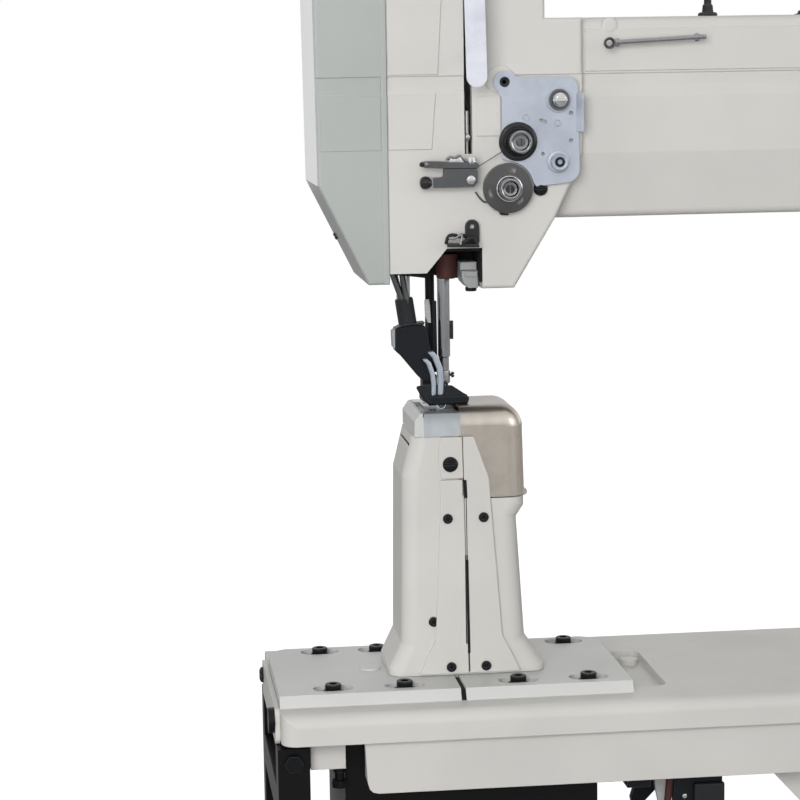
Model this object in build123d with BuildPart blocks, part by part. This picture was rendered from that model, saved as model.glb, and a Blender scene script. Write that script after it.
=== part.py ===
"""Post-bed leather sewing machine, built piece by piece.

The model is drawn about the needle: X runs right along the arm, Y runs away from the
sewer, Z runs up, and Z = 0 is the flat top of the bed. publish() moves each finished
piece so that the part's origin is the centre of its footprint on the floor.
"""
from build123d import *
from math import cos, radians, sin
import os

os.makedirs("parts", exist_ok=True)

# ---------------------------------------------------------------- driving sizes (mm)
NEEDLE_X = -1.2               # needle axis
POST_HEIGHT = 178.0           # needle plate above the bed
HEAD_CLEARANCE = 90.5         # needle plate to the head's lower edge
HEAD_HEIGHT = 205.5
ARM_DEPTH = 124.0             # underside to top of the arm
ARM_STEP = 50.0               # head's top above the arm's top
BED_LENGTH = 521.0
BED_LEFT = -117.0
BED_HALF_DEPTH = 89.0
BED_RIM = 18.9                # height of the rim
BED_TOP_WALL = 8.0
BED_RIM_WALL = 10.0
BED_EDGE_ROUND = 8.0
STAND_HEIGHT = 200.0          # floor to the underside of the bed's rim
SHAFT_DROP = 52.0             # main shaft below the arm's top
ARM_HALF_DEPTH = 45.0
HEAD_FRONT = -50.0
HEAD_BACK = 48.0
HEAD_LEFT = -41.0
HEAD_RIGHT = 80.8
PILLAR_WIDTH = 120.0
PILLAR_INSET = 12.0           # bed's right end to the pillar
PILLAR_HALF_DEPTH = 50.0
HANDWHEEL_RADIUS = 75.0
HANDWHEEL_WIDTH = 34.0
HANDWHEEL_GAP = 8.0
NEEDLE_STROKE = 33.0
FIT = 0.05                    # radial running clearance of a shaft in its bush
SEAT = 0.3                    # clearance between pieces that only lie near each other
HIDDEN_GAP = 0.1              # clearance of a bolt in its hole
GRIP = 0.02                   # clearance of a shaft in what is fixed on it

BED_RIGHT = BED_LEFT + BED_LENGTH
PILLAR_RIGHT = BED_RIGHT - PILLAR_INSET
PILLAR_LEFT = PILLAR_RIGHT - PILLAR_WIDTH
PILLAR_X = (PILLAR_LEFT + PILLAR_RIGHT) / 2
HEAD_BOTTOM = POST_HEIGHT + HEAD_CLEARANCE
HEAD_TOP = HEAD_BOTTOM + HEAD_HEIGHT
ARM_TOP = HEAD_TOP - ARM_STEP
ARM_BOTTOM = ARM_TOP - ARM_DEPTH
SHAFT_Z = ARM_TOP - SHAFT_DROP
FLOOR_Z = -BED_RIM - STAND_HEIGHT
HANDWHEEL_LEFT = PILLAR_RIGHT + HANDWHEEL_GAP
HANDWHEEL_RIGHT = HANDWHEEL_LEFT + HANDWHEEL_WIDTH

# ------------------------------------------------------------------------- stand
TUBE = 20.0                   # box section of the stand
PAD_THICKNESS = 3.6
PAD_HALF = 7.0
PAD_INSET = 3.0
LEG_LEFT = -119.5
LEG_Y = 70.0                  # leg centre lines
FOOT_OVERHANG = 12.0
FOOT_DEPTH_OUT = 105.0
FOOT_DEPTH_IN = 50.0
FOOT_THICKNESS = 5.0
FOOT_HOLE_RADIUS = 4.5
FOOT_HOLE_Y = 94.0
STAND_BOLT_RADIUS = 6.0
STAND_BOLT_HEAD = 4.0

LEG_TOP = -BED_RIM - PAD_THICKNESS
LEG_LEFT_X = LEG_LEFT + TUBE / 2
LEG_RIGHT_X = BED_RIGHT - TUBE / 2
FOOT_LEFT = LEG_LEFT - FOOT_OVERHANG
PART_CENTRE_X = (FOOT_LEFT + HANDWHEEL_RIGHT) / 2


def publish(piece, name):
    """Label a finished piece, move it into the part's own frame and write it."""
    piece.part.label = name
    placed = piece.part.moved(Location((-PART_CENTRE_X, 0, -FLOOR_Z)))
    placed.label = name
    export_step(placed, f"parts/{name}.step")


def box_between(x0, x1, y0, y1, z0, z1, mode=Mode.ADD):
    """A box from its low and high limits."""
    with Locations(((x0 + x1) / 2, (y0 + y1) / 2, (z0 + z1) / 2)):
        Box(x1 - x0, y1 - y0, z1 - z0, mode=mode)


def rod_x(x0, x1, y, z, radius, mode=Mode.ADD):
    """A round bar along X."""
    with Locations(Location(((x0 + x1) / 2, y, z), (0, 90, 0))):
        Cylinder(radius, x1 - x0, mode=mode)


def rod_y(x, y0, y1, z, radius, mode=Mode.ADD):
    """A round bar along Y."""
    with Locations(Location((x, (y0 + y1) / 2, z), (90, 0, 0))):
        Cylinder(radius, y1 - y0, mode=mode)


def rod_z(x, y, z0, z1, radius, mode=Mode.ADD):
    """A round bar along Z."""
    with Locations((x, y, (z0 + z1) / 2)):
        Cylinder(radius, z1 - z0, mode=mode)


def hex_x(x0, x1, y, z, radius):
    """A hexagonal bolt head along X."""
    with BuildSketch(Plane.YZ.offset(x0)) as head:
        with Locations((y, z)):
            RegularPolygon(radius, 6)
    extrude(head.sketch, amount=x1 - x0)


def hex_y(x, y0, y1, z, radius):
    """A hexagonal bolt head along Y."""
    with BuildSketch(Plane.XZ.offset(-y1)) as head:
        with Locations((x, z)):
            RegularPolygon(radius, 6)
    extrude(head.sketch, amount=y1 - y0)


def front_prism(points, y0, y1, mode=Mode.ADD, corner=0.0):
    """An outline in X and Z, carried from depth y0 to y1, its corners rounded by corner."""
    with BuildSketch(Plane.XZ.offset(-y1)) as outline:
        with BuildLine():
            Polyline(*points, close=True)
        make_face()
        if corner:
            fillet(outline.vertices(), corner)
    extrude(outline.sketch, amount=y1 - y0, mode=mode)


def side_prism(points, x0, x1, mode=Mode.ADD, corner=0.0):
    """An outline in Y and Z, carried from x0 to x1, its corners rounded by corner."""
    with BuildSketch(Plane.YZ.offset(x0)) as outline:
        with BuildLine():
            Polyline(*points, close=True)
        make_face()
        if corner:
            fillet(outline.vertices(), corner)
    extrude(outline.sketch, amount=x1 - x0, mode=mode)


def plan_prism(points, z0, z1, mode=Mode.ADD, corner=0.0):
    """An outline in X and Y, carried from z0 to z1, its corners rounded by corner."""
    with BuildSketch(Plane.XY.offset(z0)) as outline:
        with BuildLine():
            Polyline(*points, close=True)
        make_face()
        if corner:
            fillet(outline.vertices(), corner)
    extrude(outline.sketch, amount=z1 - z0, mode=mode)


def rounded_plan(x0, x1, y0, y1, z0, z1, corner, mode=Mode.ADD):
    """A block whose four upright edges are rounded."""
    plan_prism([(x0, y0), (x1, y0), (x1, y1), (x0, y1)], z0, z1, mode, corner)


def above(height, points):
    """Outline points whose second coordinate is counted from the given height."""
    return [(x, height + z, *rest) for x, z, *rest in points]


# ==================================================================== stand
def stand_positions():
    """Centre and outward signs of each leg."""
    for leg_x, out_x in ((LEG_LEFT_X, -1), (LEG_RIGHT_X, 1)):
        for out_y in (-1, 1):
            yield leg_x, out_x, out_y * LEG_Y, out_y


RAIL_LOW_Z = FLOOR_Z + 32.0
RAIL_HIGH_Z = -62.0

with BuildPart() as stand_legs:
    for leg_x, out_x, leg_y, out_y in stand_positions():
        box_between(leg_x - TUBE / 2, leg_x + TUBE / 2, leg_y - TUBE / 2, leg_y + TUBE / 2,
                    FLOOR_Z, LEG_TOP)
        foot_x = sorted((leg_x + out_x * (TUBE / 2 + FOOT_OVERHANG), leg_x - out_x * (TUBE / 2 + 14)))
        foot_y = sorted((out_y * FOOT_DEPTH_OUT, out_y * FOOT_DEPTH_IN))
        rounded_plan(foot_x[0], foot_x[1], foot_y[0], foot_y[1], FLOOR_Z, FLOOR_Z + FOOT_THICKNESS, 6)
        rod_z(leg_x, out_y * FOOT_HOLE_Y, FLOOR_Z, FLOOR_Z + FOOT_THICKNESS, FOOT_HOLE_RADIUS,
              mode=Mode.SUBTRACT)
publish(stand_legs, "stand_legs")

with BuildPart() as stand_rails:
    for rail_y in (-LEG_Y, LEG_Y):
        box_between(LEG_LEFT_X + TUBE / 2, LEG_RIGHT_X - TUBE / 2, rail_y - TUBE / 2, rail_y + TUBE / 2,
                    RAIL_LOW_Z - TUBE / 2, RAIL_LOW_Z + TUBE / 2)
    for rail_x in (LEG_LEFT_X, LEG_RIGHT_X):
        for rail_z in (RAIL_LOW_Z, RAIL_HIGH_Z):
            box_between(rail_x - TUBE / 2, rail_x + TUBE / 2, -LEG_Y + TUBE / 2, LEG_Y - TUBE / 2,
                        rail_z - TUBE / 2, rail_z + TUBE / 2)
publish(stand_rails, "stand_rails")

# ==================================================================== bed
APRON_LEFT = -66.0
APRON_RIGHT = BED_RIGHT - 26.0
APRON_HALF_DEPTH = 84.0
APRON_WALL = 6.0
APRON_BOTTOM = -52.6
APRON_ROUND = 7.0            # height of the apron's rounded left corner
APRON_LEAN = 2.0
APRON_RETURN = 16.0
BED_PLATE_THICKNESS = 7.3
BED_PLATE_FRONT = -68.0
BED_PLATE_BACK = 57.0
BED_PLATE_BEVEL = 4.0
LEFT_PLATE_X = (BED_LEFT + 0.4, -2.0)
RIGHT_PLATE_X = (1.2, 108.5)
POCKET_X = (112.5, 133.5)
POCKET_Y = (-53.0, 39.0)
POCKET_DEPTH = 5.0
LUG_X = (-98.5, -76.5)
LUG_Y = (-72.0, -50.0)
LUG_BOLT_X = LUG_X[1] - 3.4
LUG_BOLT_Y = LUG_Y[0] + 8.0
LUG_BOLT_RADIUS = 3.0
LUG_DROP = 20.0
BED_BOLT_RADIUS = 4.0
BED_BOLT_HEAD_RADIUS = 5.2
BED_BOLT_HEAD = 6.0
BED_BOLT_SHANK = 14.0
COUNTERBORE_DEPTH = 3.0
COUNTERBORE_HALF_WIDTH = 7.2
SLOT_TRAVEL = 11.0            # how far a slotted bolt can sit to one side of its centre
BED_BOLTS_LEFT = ((-81.6, -50.0), (-36.0, -50.0), (-82.0, 45.0), (-43.5, 45.0))
BED_BOLTS_RIGHT = ((37.0, -50.0), (82.5, -50.0), (84.0, 45.0), (44.0, 45.0))
POST_OPENING = (-38.0, 48.0, -29.5, 29.5)
PULLEY_X = (PILLAR_X - 10.0, PILLAR_X + 6.0)
BELT_OPENING = (PULLEY_X[0] - 12.0, PULLEY_X[1] + 6.0)
BELT_OPENING_HALF = 34.0
SHAFT_OPENING = (-26.0, 40.0, -22.0, 22.0)

with BuildPart() as bed_casting:
    side_prism([(-BED_HALF_DEPTH, -BED_RIM), (BED_HALF_DEPTH, -BED_RIM),
                (BED_HALF_DEPTH, 0), (-BED_HALF_DEPTH, 0)], BED_LEFT, BED_RIGHT)
    long_top_edges = bed_casting.edges().filter_by(Axis.X).group_by(Axis.Z)[-1]
    fillet(long_top_edges, BED_EDGE_ROUND)
    rounded_plan(BED_LEFT, BED_RIGHT, -BED_HALF_DEPTH, BED_HALF_DEPTH, -BED_RIM, 0, 10,
                 mode=Mode.INTERSECT)
    box_between(BED_LEFT + BED_RIM_WALL, BED_RIGHT - BED_RIM_WALL,
                -BED_HALF_DEPTH + BED_RIM_WALL, BED_HALF_DEPTH - BED_RIM_WALL,
                -BED_RIM, -BED_TOP_WALL, mode=Mode.SUBTRACT)
    for side in (-1, 1):
        wall_y = sorted((side * APRON_HALF_DEPTH, side * (APRON_HALF_DEPTH - APRON_WALL)))
        front_prism([(APRON_LEFT, -BED_TOP_WALL), (APRON_LEFT + APRON_LEAN, APRON_BOTTOM + APRON_ROUND),
                     (APRON_LEFT + APRON_LEAN + 1.2, APRON_BOTTOM + 3.0),
                     (APRON_LEFT + APRON_LEAN + 3.4, APRON_BOTTOM + 0.8),
                     (APRON_LEFT + APRON_LEAN + 7.0, APRON_BOTTOM), (APRON_RIGHT, APRON_BOTTOM),
                     (APRON_RIGHT, -BED_TOP_WALL)], wall_y[0], wall_y[1])
        return_y = sorted((side * (APRON_HALF_DEPTH - APRON_WALL),
                           side * (APRON_HALF_DEPTH - APRON_RETURN)))
        box_between(APRON_LEFT + APRON_LEAN, APRON_LEFT + APRON_LEAN + APRON_WALL, return_y[0], return_y[1],
                    APRON_BOTTOM + APRON_ROUND, -BED_TOP_WALL)
    box_between(APRON_RIGHT - APRON_WALL, APRON_RIGHT, -APRON_HALF_DEPTH + APRON_WALL,
                APRON_HALF_DEPTH - APRON_WALL, APRON_BOTTOM, -BED_TOP_WALL)
    box_between(LUG_X[0], LUG_X[1], LUG_Y[0], LUG_Y[1], -BED_RIM - LUG_DROP, -BED_TOP_WALL)
    rounded_plan(POCKET_X[0], POCKET_X[1], POCKET_Y[0], POCKET_Y[1], -POCKET_DEPTH, 0, 6,
                 mode=Mode.SUBTRACT)
    rod_z(POCKET_X[0] + 12, POCKET_Y[1] - 16, -POCKET_DEPTH, -1.5, 6)
    box_between(SHAFT_OPENING[0], SHAFT_OPENING[1], SHAFT_OPENING[2], SHAFT_OPENING[3],
                -BED_TOP_WALL, 0, mode=Mode.SUBTRACT)
    box_between(BELT_OPENING[0], BELT_OPENING[1], -BELT_OPENING_HALF, BELT_OPENING_HALF,
                -BED_TOP_WALL, 0, mode=Mode.SUBTRACT)
    for bolt_x, bolt_y in BED_BOLTS_LEFT + BED_BOLTS_RIGHT:
        rod_z(bolt_x, bolt_y, -BED_TOP_WALL, 0, BED_BOLT_RADIUS + HIDDEN_GAP, mode=Mode.SUBTRACT)
    rod_z(LUG_BOLT_X, LUG_BOLT_Y, -BED_RIM - LUG_DROP, -BED_RIM - 4, LUG_BOLT_RADIUS + HIDDEN_GAP,
          mode=Mode.SUBTRACT)
publish(bed_casting, "bed_casting")

PLUG_X, PLUG_Y, PLUG_RADIUS = -53.6, -6.0, 6.7


def bed_plate(x0, x1, bolts):
    """One raised plate: bevelled front, rounded back corner, slotted counterbores."""
    top = BED_PLATE_THICKNESS
    side_prism([(BED_PLATE_FRONT, 0), (BED_PLATE_FRONT + BED_PLATE_BEVEL, top),
                (BED_PLATE_BACK - 1, top), (BED_PLATE_BACK, top - 1), (BED_PLATE_BACK, 0)], x0, x1)
    for bolt_x, bolt_y in bolts:
        with BuildSketch(Plane.XY.offset(top)) as counterbore:
            with Locations((bolt_x, bolt_y)):
                SlotOverall(2 * (COUNTERBORE_HALF_WIDTH + SLOT_TRAVEL / 2), 2 * COUNTERBORE_HALF_WIDTH)
        extrude(counterbore.sketch, amount=-COUNTERBORE_DEPTH, mode=Mode.SUBTRACT)
        with BuildSketch(Plane.XY.offset(top)) as slot:
            with Locations((bolt_x, bolt_y)):
                SlotOverall(2 * (BED_BOLT_RADIUS + SLOT_TRAVEL / 2), 2 * (BED_BOLT_RADIUS + HIDDEN_GAP))
        extrude(slot.sketch, amount=-top, mode=Mode.SUBTRACT)
    box_between(POST_OPENING[0], POST_OPENING[1], POST_OPENING[2], POST_OPENING[3], 0, top,
                mode=Mode.SUBTRACT)


def back_corner(piece, left, right):
    """The upright edges of a bed plate's outer corners."""
    uprights = piece.edges().filter_by(Axis.Z)
    return uprights.filter_by(lambda edge: edge.center().Y > BED_PLATE_BACK - 0.5
                              and left < edge.center().X < right)


with BuildPart() as left_bed_plate:
    bed_plate(LEFT_PLATE_X[0], LEFT_PLATE_X[1], BED_BOLTS_LEFT)
    fillet(back_corner(left_bed_plate, LEFT_PLATE_X[0] - 1, LEFT_PLATE_X[0] + 1), 18)
    rod_z(PLUG_X, PLUG_Y, 0, BED_PLATE_THICKNESS, PLUG_RADIUS, mode=Mode.SUBTRACT)
    rod_z(PLUG_X, PLUG_Y, 0, BED_PLATE_THICKNESS + 1.2, PLUG_RADIUS - HIDDEN_GAP)
publish(left_bed_plate, "left_bed_plate")

with BuildPart() as right_bed_plate:
    bed_plate(RIGHT_PLATE_X[0], RIGHT_PLATE_X[1], BED_BOLTS_RIGHT)
    fillet(back_corner(right_bed_plate, RIGHT_PLATE_X[1] - 1, RIGHT_PLATE_X[1] + 1), 18)
publish(right_bed_plate, "right_bed_plate")

HEX_KEY = 2.9                 # corner radius of the hexagon socket

with BuildPart() as bed_plate_bolts:
    seat_z = BED_PLATE_THICKNESS - COUNTERBORE_DEPTH
    for bolt_x, bolt_y in BED_BOLTS_LEFT + BED_BOLTS_RIGHT:
        rod_z(bolt_x, bolt_y, seat_z - BED_BOLT_SHANK + COUNTERBORE_DEPTH, seat_z, BED_BOLT_RADIUS)
        rod_z(bolt_x, bolt_y, seat_z, seat_z + BED_BOLT_HEAD, BED_BOLT_HEAD_RADIUS)
        with BuildSketch(Plane.XY.offset(seat_z + BED_BOLT_HEAD)) as socket:
            with Locations((bolt_x, bolt_y)):
                RegularPolygon(HEX_KEY, 6)
        extrude(socket.sketch, amount=-3, mode=Mode.SUBTRACT)
publish(bed_plate_bolts, "bed_plate_bolts")

END_PLATE_THICKNESS = 3.0
END_PLATE_Z = (LEG_TOP + 0.2, 0.5)
END_PLATE_Y = (-70.0, 60.0)
END_BOLT_Y = (-63.0, 50.0)
END_BOLT_Z = -8.0
END_BOLT_RADIUS = 4.0
BRACKET_X = 200.0

with BuildPart() as bed_brackets:
    end_plate = [(END_PLATE_Y[0], END_PLATE_Z[0]), (END_PLATE_Y[1], END_PLATE_Z[0]),
                 (END_PLATE_Y[1], END_PLATE_Z[1]), (END_PLATE_Y[0], END_PLATE_Z[1])]
    side_prism(end_plate, BED_LEFT - END_PLATE_THICKNESS, BED_LEFT, corner=4)
    for bolt_y in END_BOLT_Y:
        rod_x(BED_LEFT - END_PLATE_THICKNESS, BED_LEFT, bolt_y, END_BOLT_Z, END_BOLT_RADIUS + HIDDEN_GAP,
              mode=Mode.SUBTRACT)
    # slanted strap that hangs from the bed to carry the knee lifter's return
    front_prism([(BRACKET_X, -BED_TOP_WALL), (BRACKET_X + 26, -BED_TOP_WALL),
                 (BRACKET_X + 26, -58), (BRACKET_X + 58, -104), (BRACKET_X + 42, -104),
                 (BRACKET_X, -58)], -62, -56)
publish(bed_brackets, "bed_brackets")

with BuildPart() as black_hardware:
    for leg_x, out_x, leg_y, out_y in stand_positions():
        pad_x = leg_x - out_x * PAD_INSET
        box_between(pad_x - PAD_HALF, pad_x + PAD_HALF, leg_y - PAD_HALF, leg_y + PAD_HALF,
                    LEG_TOP, -BED_RIM)
        head_y = sorted((out_y * (LEG_Y + TUBE / 2), out_y * (LEG_Y + TUBE / 2 + STAND_BOLT_HEAD)))
        hex_y(leg_x, head_y[0], head_y[1], LEG_TOP - 9, STAND_BOLT_RADIUS)
    for bolt_y in END_BOLT_Y:
        rod_x(BED_LEFT - END_PLATE_THICKNESS, BED_LEFT, bolt_y, END_BOLT_Z, END_BOLT_RADIUS)
    rod_x(BED_LEFT - END_PLATE_THICKNESS - 4, BED_LEFT - END_PLATE_THICKNESS, END_BOLT_Y[0], END_BOLT_Z, 8)
    rod_z(LUG_BOLT_X, LUG_BOLT_Y, -BED_RIM - LUG_DROP - 14.5, -BED_RIM - 4, LUG_BOLT_RADIUS)
    rod_z(LUG_BOLT_X, LUG_BOLT_Y, -BED_RIM - LUG_DROP - 4, -BED_RIM - LUG_DROP - 0.3, LUG_BOLT_RADIUS + 0.9)
publish(black_hardware, "black_hardware")

GUARD_X = (-76.0, 86.0)
GUARD_HALF_DEPTH = 60.0
GUARD_BOTTOM = -112.0
GUARD_WALL = 2.5
LOWER_SHAFT_Z = -42.0
LOWER_SHAFT_RADIUS = 7.0
ROCK_SHAFT_Z = -80.0
ROCK_SHAFT_RADIUS = 6.0

with BuildPart() as underbed_guard:
    box_between(GUARD_X[0], GUARD_X[1], -GUARD_HALF_DEPTH, GUARD_HALF_DEPTH, GUARD_BOTTOM, -BED_TOP_WALL)
    fillet(underbed_guard.edges().filter_by(Axis.Y).group_by(Axis.Z)[0], 8)
    box_between(GUARD_X[0] + GUARD_WALL, GUARD_X[1] - GUARD_WALL, -GUARD_HALF_DEPTH + GUARD_WALL,
                GUARD_HALF_DEPTH - GUARD_WALL, GUARD_BOTTOM + GUARD_WALL, -BED_TOP_WALL,
                mode=Mode.SUBTRACT)
    rod_x(GUARD_X[1] - GUARD_WALL, GUARD_X[1], 0, LOWER_SHAFT_Z, LOWER_SHAFT_RADIUS + 4, mode=Mode.SUBTRACT)
publish(underbed_guard, "underbed_guard")

# ==================================================================== post
POST_FRONT = -32.0
POST_BACK = 32.0
POST_BASE_Z = 7.6
POST_CORNER = 10.0
POST_DECK_Z = (POST_HEIGHT - 62.0, POST_HEIGHT - 56.0)  # floor of the hook chamber
POST_TOWER_TOP = POST_HEIGHT - 15.0
TOWER_RIGHT = 3.2
POST_COVER = 2.0              # thickness of the cover plates
HOOK_X = 22.0
HOOK_RADIUS = 20.5
DECK_RIGHT = 45.8             # the collar that the hook cover stands on
COLUMN_RIGHT = 40.8           # the column close under that collar
HOOK_Z = (POST_HEIGHT - 30.0, POST_HEIGHT - 6.0)
HOOK_SHAFT_RADIUS = 6.0
BUSH_WALL = 4.0
NECK = (-34.0, 44.0, -29.0, 29.0)
HOLLOW = (-28.0, 36.8, -24.0, 24.0)
SCREW_RADIUS = 3.2
COVER_SCREWS = ((-4.9, POST_DECK_Z[0] - 5.8), (18.2, POST_DECK_Z[0] - 5.6), (-3.7, 13.3), (18.9, 13.3))
COLUMN_SCREW = (-14.6, 43.0)
PLUG_BUTTON = (-2.8, POST_TOWER_TOP - 17.8, 4.9)
NEEDLE_SLOT = (-14.0, TOWER_RIGHT, -14.0, 14.0)

COLUMN_SLOTS = ((28.0, POST_DECK_Z[0] - 30.0), (POST_DECK_Z[1] + 3.0, POST_DECK_Z[1] + 12.9))

POST_OUTLINE = [(-43, POST_BASE_Z), (-43, 12), (-34.8, 29), (-33, POST_TOWER_TOP - 26),
                (-26.5, POST_TOWER_TOP),
                (TOWER_RIGHT, POST_TOWER_TOP), (TOWER_RIGHT, POST_DECK_Z[1]), (DECK_RIGHT, POST_DECK_Z[1]),
                (DECK_RIGHT, POST_DECK_Z[0]), (COLUMN_RIGHT, POST_DECK_Z[0] - 7.5), (45.5, 31), (58.5, 12),
                (58.5, POST_BASE_Z)]

with BuildPart() as post_casting:
    front_prism(POST_OUTLINE, POST_FRONT, POST_BACK)
    # the upright corners of the column, front and back, left and right
    corner_edges = post_casting.edges().filter_by(
        lambda edge: abs(abs(edge.center().Y) - POST_BACK) < 0.01
        and POST_BASE_Z + 1 < edge.center().Z < POST_TOWER_TOP - 1
        and not (TOWER_RIGHT - 0.5 < edge.center().X < 40))
    fillet(corner_edges, POST_CORNER)
    box_between(NECK[0], NECK[1], NECK[2], NECK[3], 0, POST_BASE_Z)
    box_between(HOLLOW[0], HOLLOW[1], HOLLOW[2], HOLLOW[3], 8, POST_DECK_Z[0], mode=Mode.SUBTRACT)
    box_between(HOLLOW[0], TOWER_RIGHT, HOLLOW[2], HOLLOW[3], POST_DECK_Z[0] - 1,
                POST_TOWER_TOP - 5, mode=Mode.SUBTRACT)
    box_between(*NEEDLE_SLOT, POST_TOWER_TOP - 6, POST_TOWER_TOP,
                mode=Mode.SUBTRACT)
    box_between(NEEDLE_SLOT[0], 0, -11, 11, 0, 8, mode=Mode.SUBTRACT)
    rod_z(HOOK_X, 0, 0, POST_DECK_Z[1], HOOK_SHAFT_RADIUS + BUSH_WALL, mode=Mode.SUBTRACT)
    rod_z(HOOK_X, 0, POST_DECK_Z[1], POST_TOWER_TOP, HOOK_RADIUS + 0.7, mode=Mode.SUBTRACT)
    # slots seen between the cover plates
    for slot_z in COLUMN_SLOTS:
        box_between(4.6, 7.0, POST_FRONT, HOLLOW[2], slot_z[0], slot_z[1], mode=Mode.SUBTRACT)
    rod_y(COLUMN_SCREW[0], POST_FRONT, POST_FRONT + 1.4, COLUMN_SCREW[1], SCREW_RADIUS, mode=Mode.SUBTRACT)
publish(post_casting, "post_casting")

SLOT_LINE_TOP = 5.2           # where the gap between the covers starts, at the nose
SLOT_LINE_FOOT = 7.8
COVER_SPLIT = POST_DECK_Z[1] + 12.9
NOSE_BOTTOM = COVER_SPLIT + 1.1
COVER_TOP = POST_TOWER_TOP - 0.4
COVER_BOTTOM = 9.0


def slot_line(z):
    """X of the gap between the left and right covers at height z."""
    share = (POST_TOWER_TOP - z) / (POST_TOWER_TOP - COVER_BOTTOM)
    return SLOT_LINE_TOP + share * (SLOT_LINE_FOOT - SLOT_LINE_TOP)


def cover_slots():
    """Widen the gap between the covers where the column is open behind it."""
    for low, high in COLUMN_SLOTS:
        middle = slot_line((low + high) / 2)
        box_between(middle - 1, middle + 1, POST_FRONT - POST_COVER, POST_FRONT, low, high,
                    mode=Mode.SUBTRACT)


COVER_FACE = POST_FRONT - POST_COVER
with BuildPart() as post_covers:
    front_prism([(-9.6, COVER_SPLIT), (slot_line(COVER_SPLIT) - SEAT, COVER_SPLIT),
                 (slot_line(COVER_BOTTOM) - SEAT, COVER_BOTTOM), (-24.2, COVER_BOTTOM), (-13.6, 31),
                 (-12.5, 51), (-9.2, POST_DECK_Z[1] - 1)], COVER_FACE, POST_FRONT)
    front_prism([(slot_line(COVER_TOP) + SEAT, COVER_TOP), (12.3, COVER_TOP), (21.9, POST_DECK_Z[1] + 13.6),
                 (22.9, POST_DECK_Z[1] - 2.5), (29.5, 33), (37.4, 17.4), (41, COVER_BOTTOM),
                 (slot_line(COVER_BOTTOM) + SEAT, COVER_BOTTOM)], COVER_FACE, POST_FRONT)
    front_prism([(-8.4, COVER_TOP), (-10, COVER_TOP - 7.6), (-10, COVER_TOP - 19.6), (-8.2, NOSE_BOTTOM),
                 (slot_line(NOSE_BOTTOM) - SEAT, NOSE_BOTTOM), (slot_line(COVER_TOP) - SEAT, COVER_TOP)],
                COVER_FACE, POST_FRONT)
    cover_slots()
    for screw_x, screw_z in COVER_SCREWS:
        rod_y(screw_x, COVER_FACE, POST_FRONT, screw_z, SCREW_RADIUS - 1, mode=Mode.SUBTRACT)
publish(post_covers, "post_covers")

with BuildPart() as post_screws:
    for screw_x, screw_z in COVER_SCREWS:
        rod_y(screw_x, COVER_FACE - 1.4, COVER_FACE, screw_z, SCREW_RADIUS)
        rod_y(screw_x, COVER_FACE, POST_FRONT, screw_z, SCREW_RADIUS - 1 - HIDDEN_GAP)
        rod_y(screw_x, COVER_FACE - 1.4, COVER_FACE - 0.3, screw_z, SCREW_RADIUS / 2, mode=Mode.SUBTRACT)
    rod_y(PLUG_BUTTON[0], COVER_FACE - 1.6, COVER_FACE, PLUG_BUTTON[1], PLUG_BUTTON[2])
    rod_y(COLUMN_SCREW[0], POST_FRONT, POST_FRONT + 1.4, COLUMN_SCREW[1], SCREW_RADIUS - HIDDEN_GAP)
publish(post_screws, "post_screws")

# -------------------------------------------------- steel top of the post
NEEDLE_PLATE_THICKNESS = 2.5
BLOCK_TOP = POST_HEIGHT - NEEDLE_PLATE_THICKNESS
BLOCK_LEFT = -25.0
SLIDE_X = (-19.2, 4.0)
SLIDE_ROUND = 8.0
PLATE_X = (-15.0, 3.2)
PLATE_Y = (-22.0, 20.0)
DOG_SLOT = (-5.4, 3.0, -13.5, 13.5)

SLIDE_SKIN = 2.0
BLOCK_ROUND = SLIDE_ROUND - 2.4
BLOCK_CHAMFER = 5.5


def rounded_bar(x0, x1, top, corner):
    """A bar across the post whose two top ends are rounded."""
    with BuildSketch(Plane.YZ.offset(x0)) as outline:
        with BuildLine():
            Polyline((POST_FRONT, POST_TOWER_TOP), (POST_BACK, POST_TOWER_TOP), (POST_BACK, top),
                     (POST_FRONT, top), close=True)
        make_face()
        fillet(outline.vertices().filter_by(lambda v: v.Z > POST_TOWER_TOP + 1), corner)
    extrude(outline.sketch, amount=x1 - x0)


with BuildPart() as post_top_block:
    rounded_bar(BLOCK_LEFT, TOWER_RIGHT, BLOCK_TOP, BLOCK_ROUND)
    rounded_bar(BLOCK_LEFT, SLIDE_X[0] - SEAT, POST_HEIGHT, SLIDE_ROUND)
    front_prism([(BLOCK_LEFT, POST_HEIGHT - BLOCK_CHAMFER), (BLOCK_LEFT, POST_HEIGHT),
                 (BLOCK_LEFT + BLOCK_CHAMFER * 0.7, POST_HEIGHT)], POST_FRONT, POST_BACK, mode=Mode.SUBTRACT)
    box_between(NEEDLE_SLOT[0], NEEDLE_SLOT[1], NEEDLE_SLOT[2], NEEDLE_SLOT[3], POST_TOWER_TOP, BLOCK_TOP,
                mode=Mode.SUBTRACT)
    rod_z(HOOK_X, 0, POST_TOWER_TOP, HOOK_Z[1] + 1.5, HOOK_RADIUS + 0.7, mode=Mode.SUBTRACT)
publish(post_top_block, "post_top_block")


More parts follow.
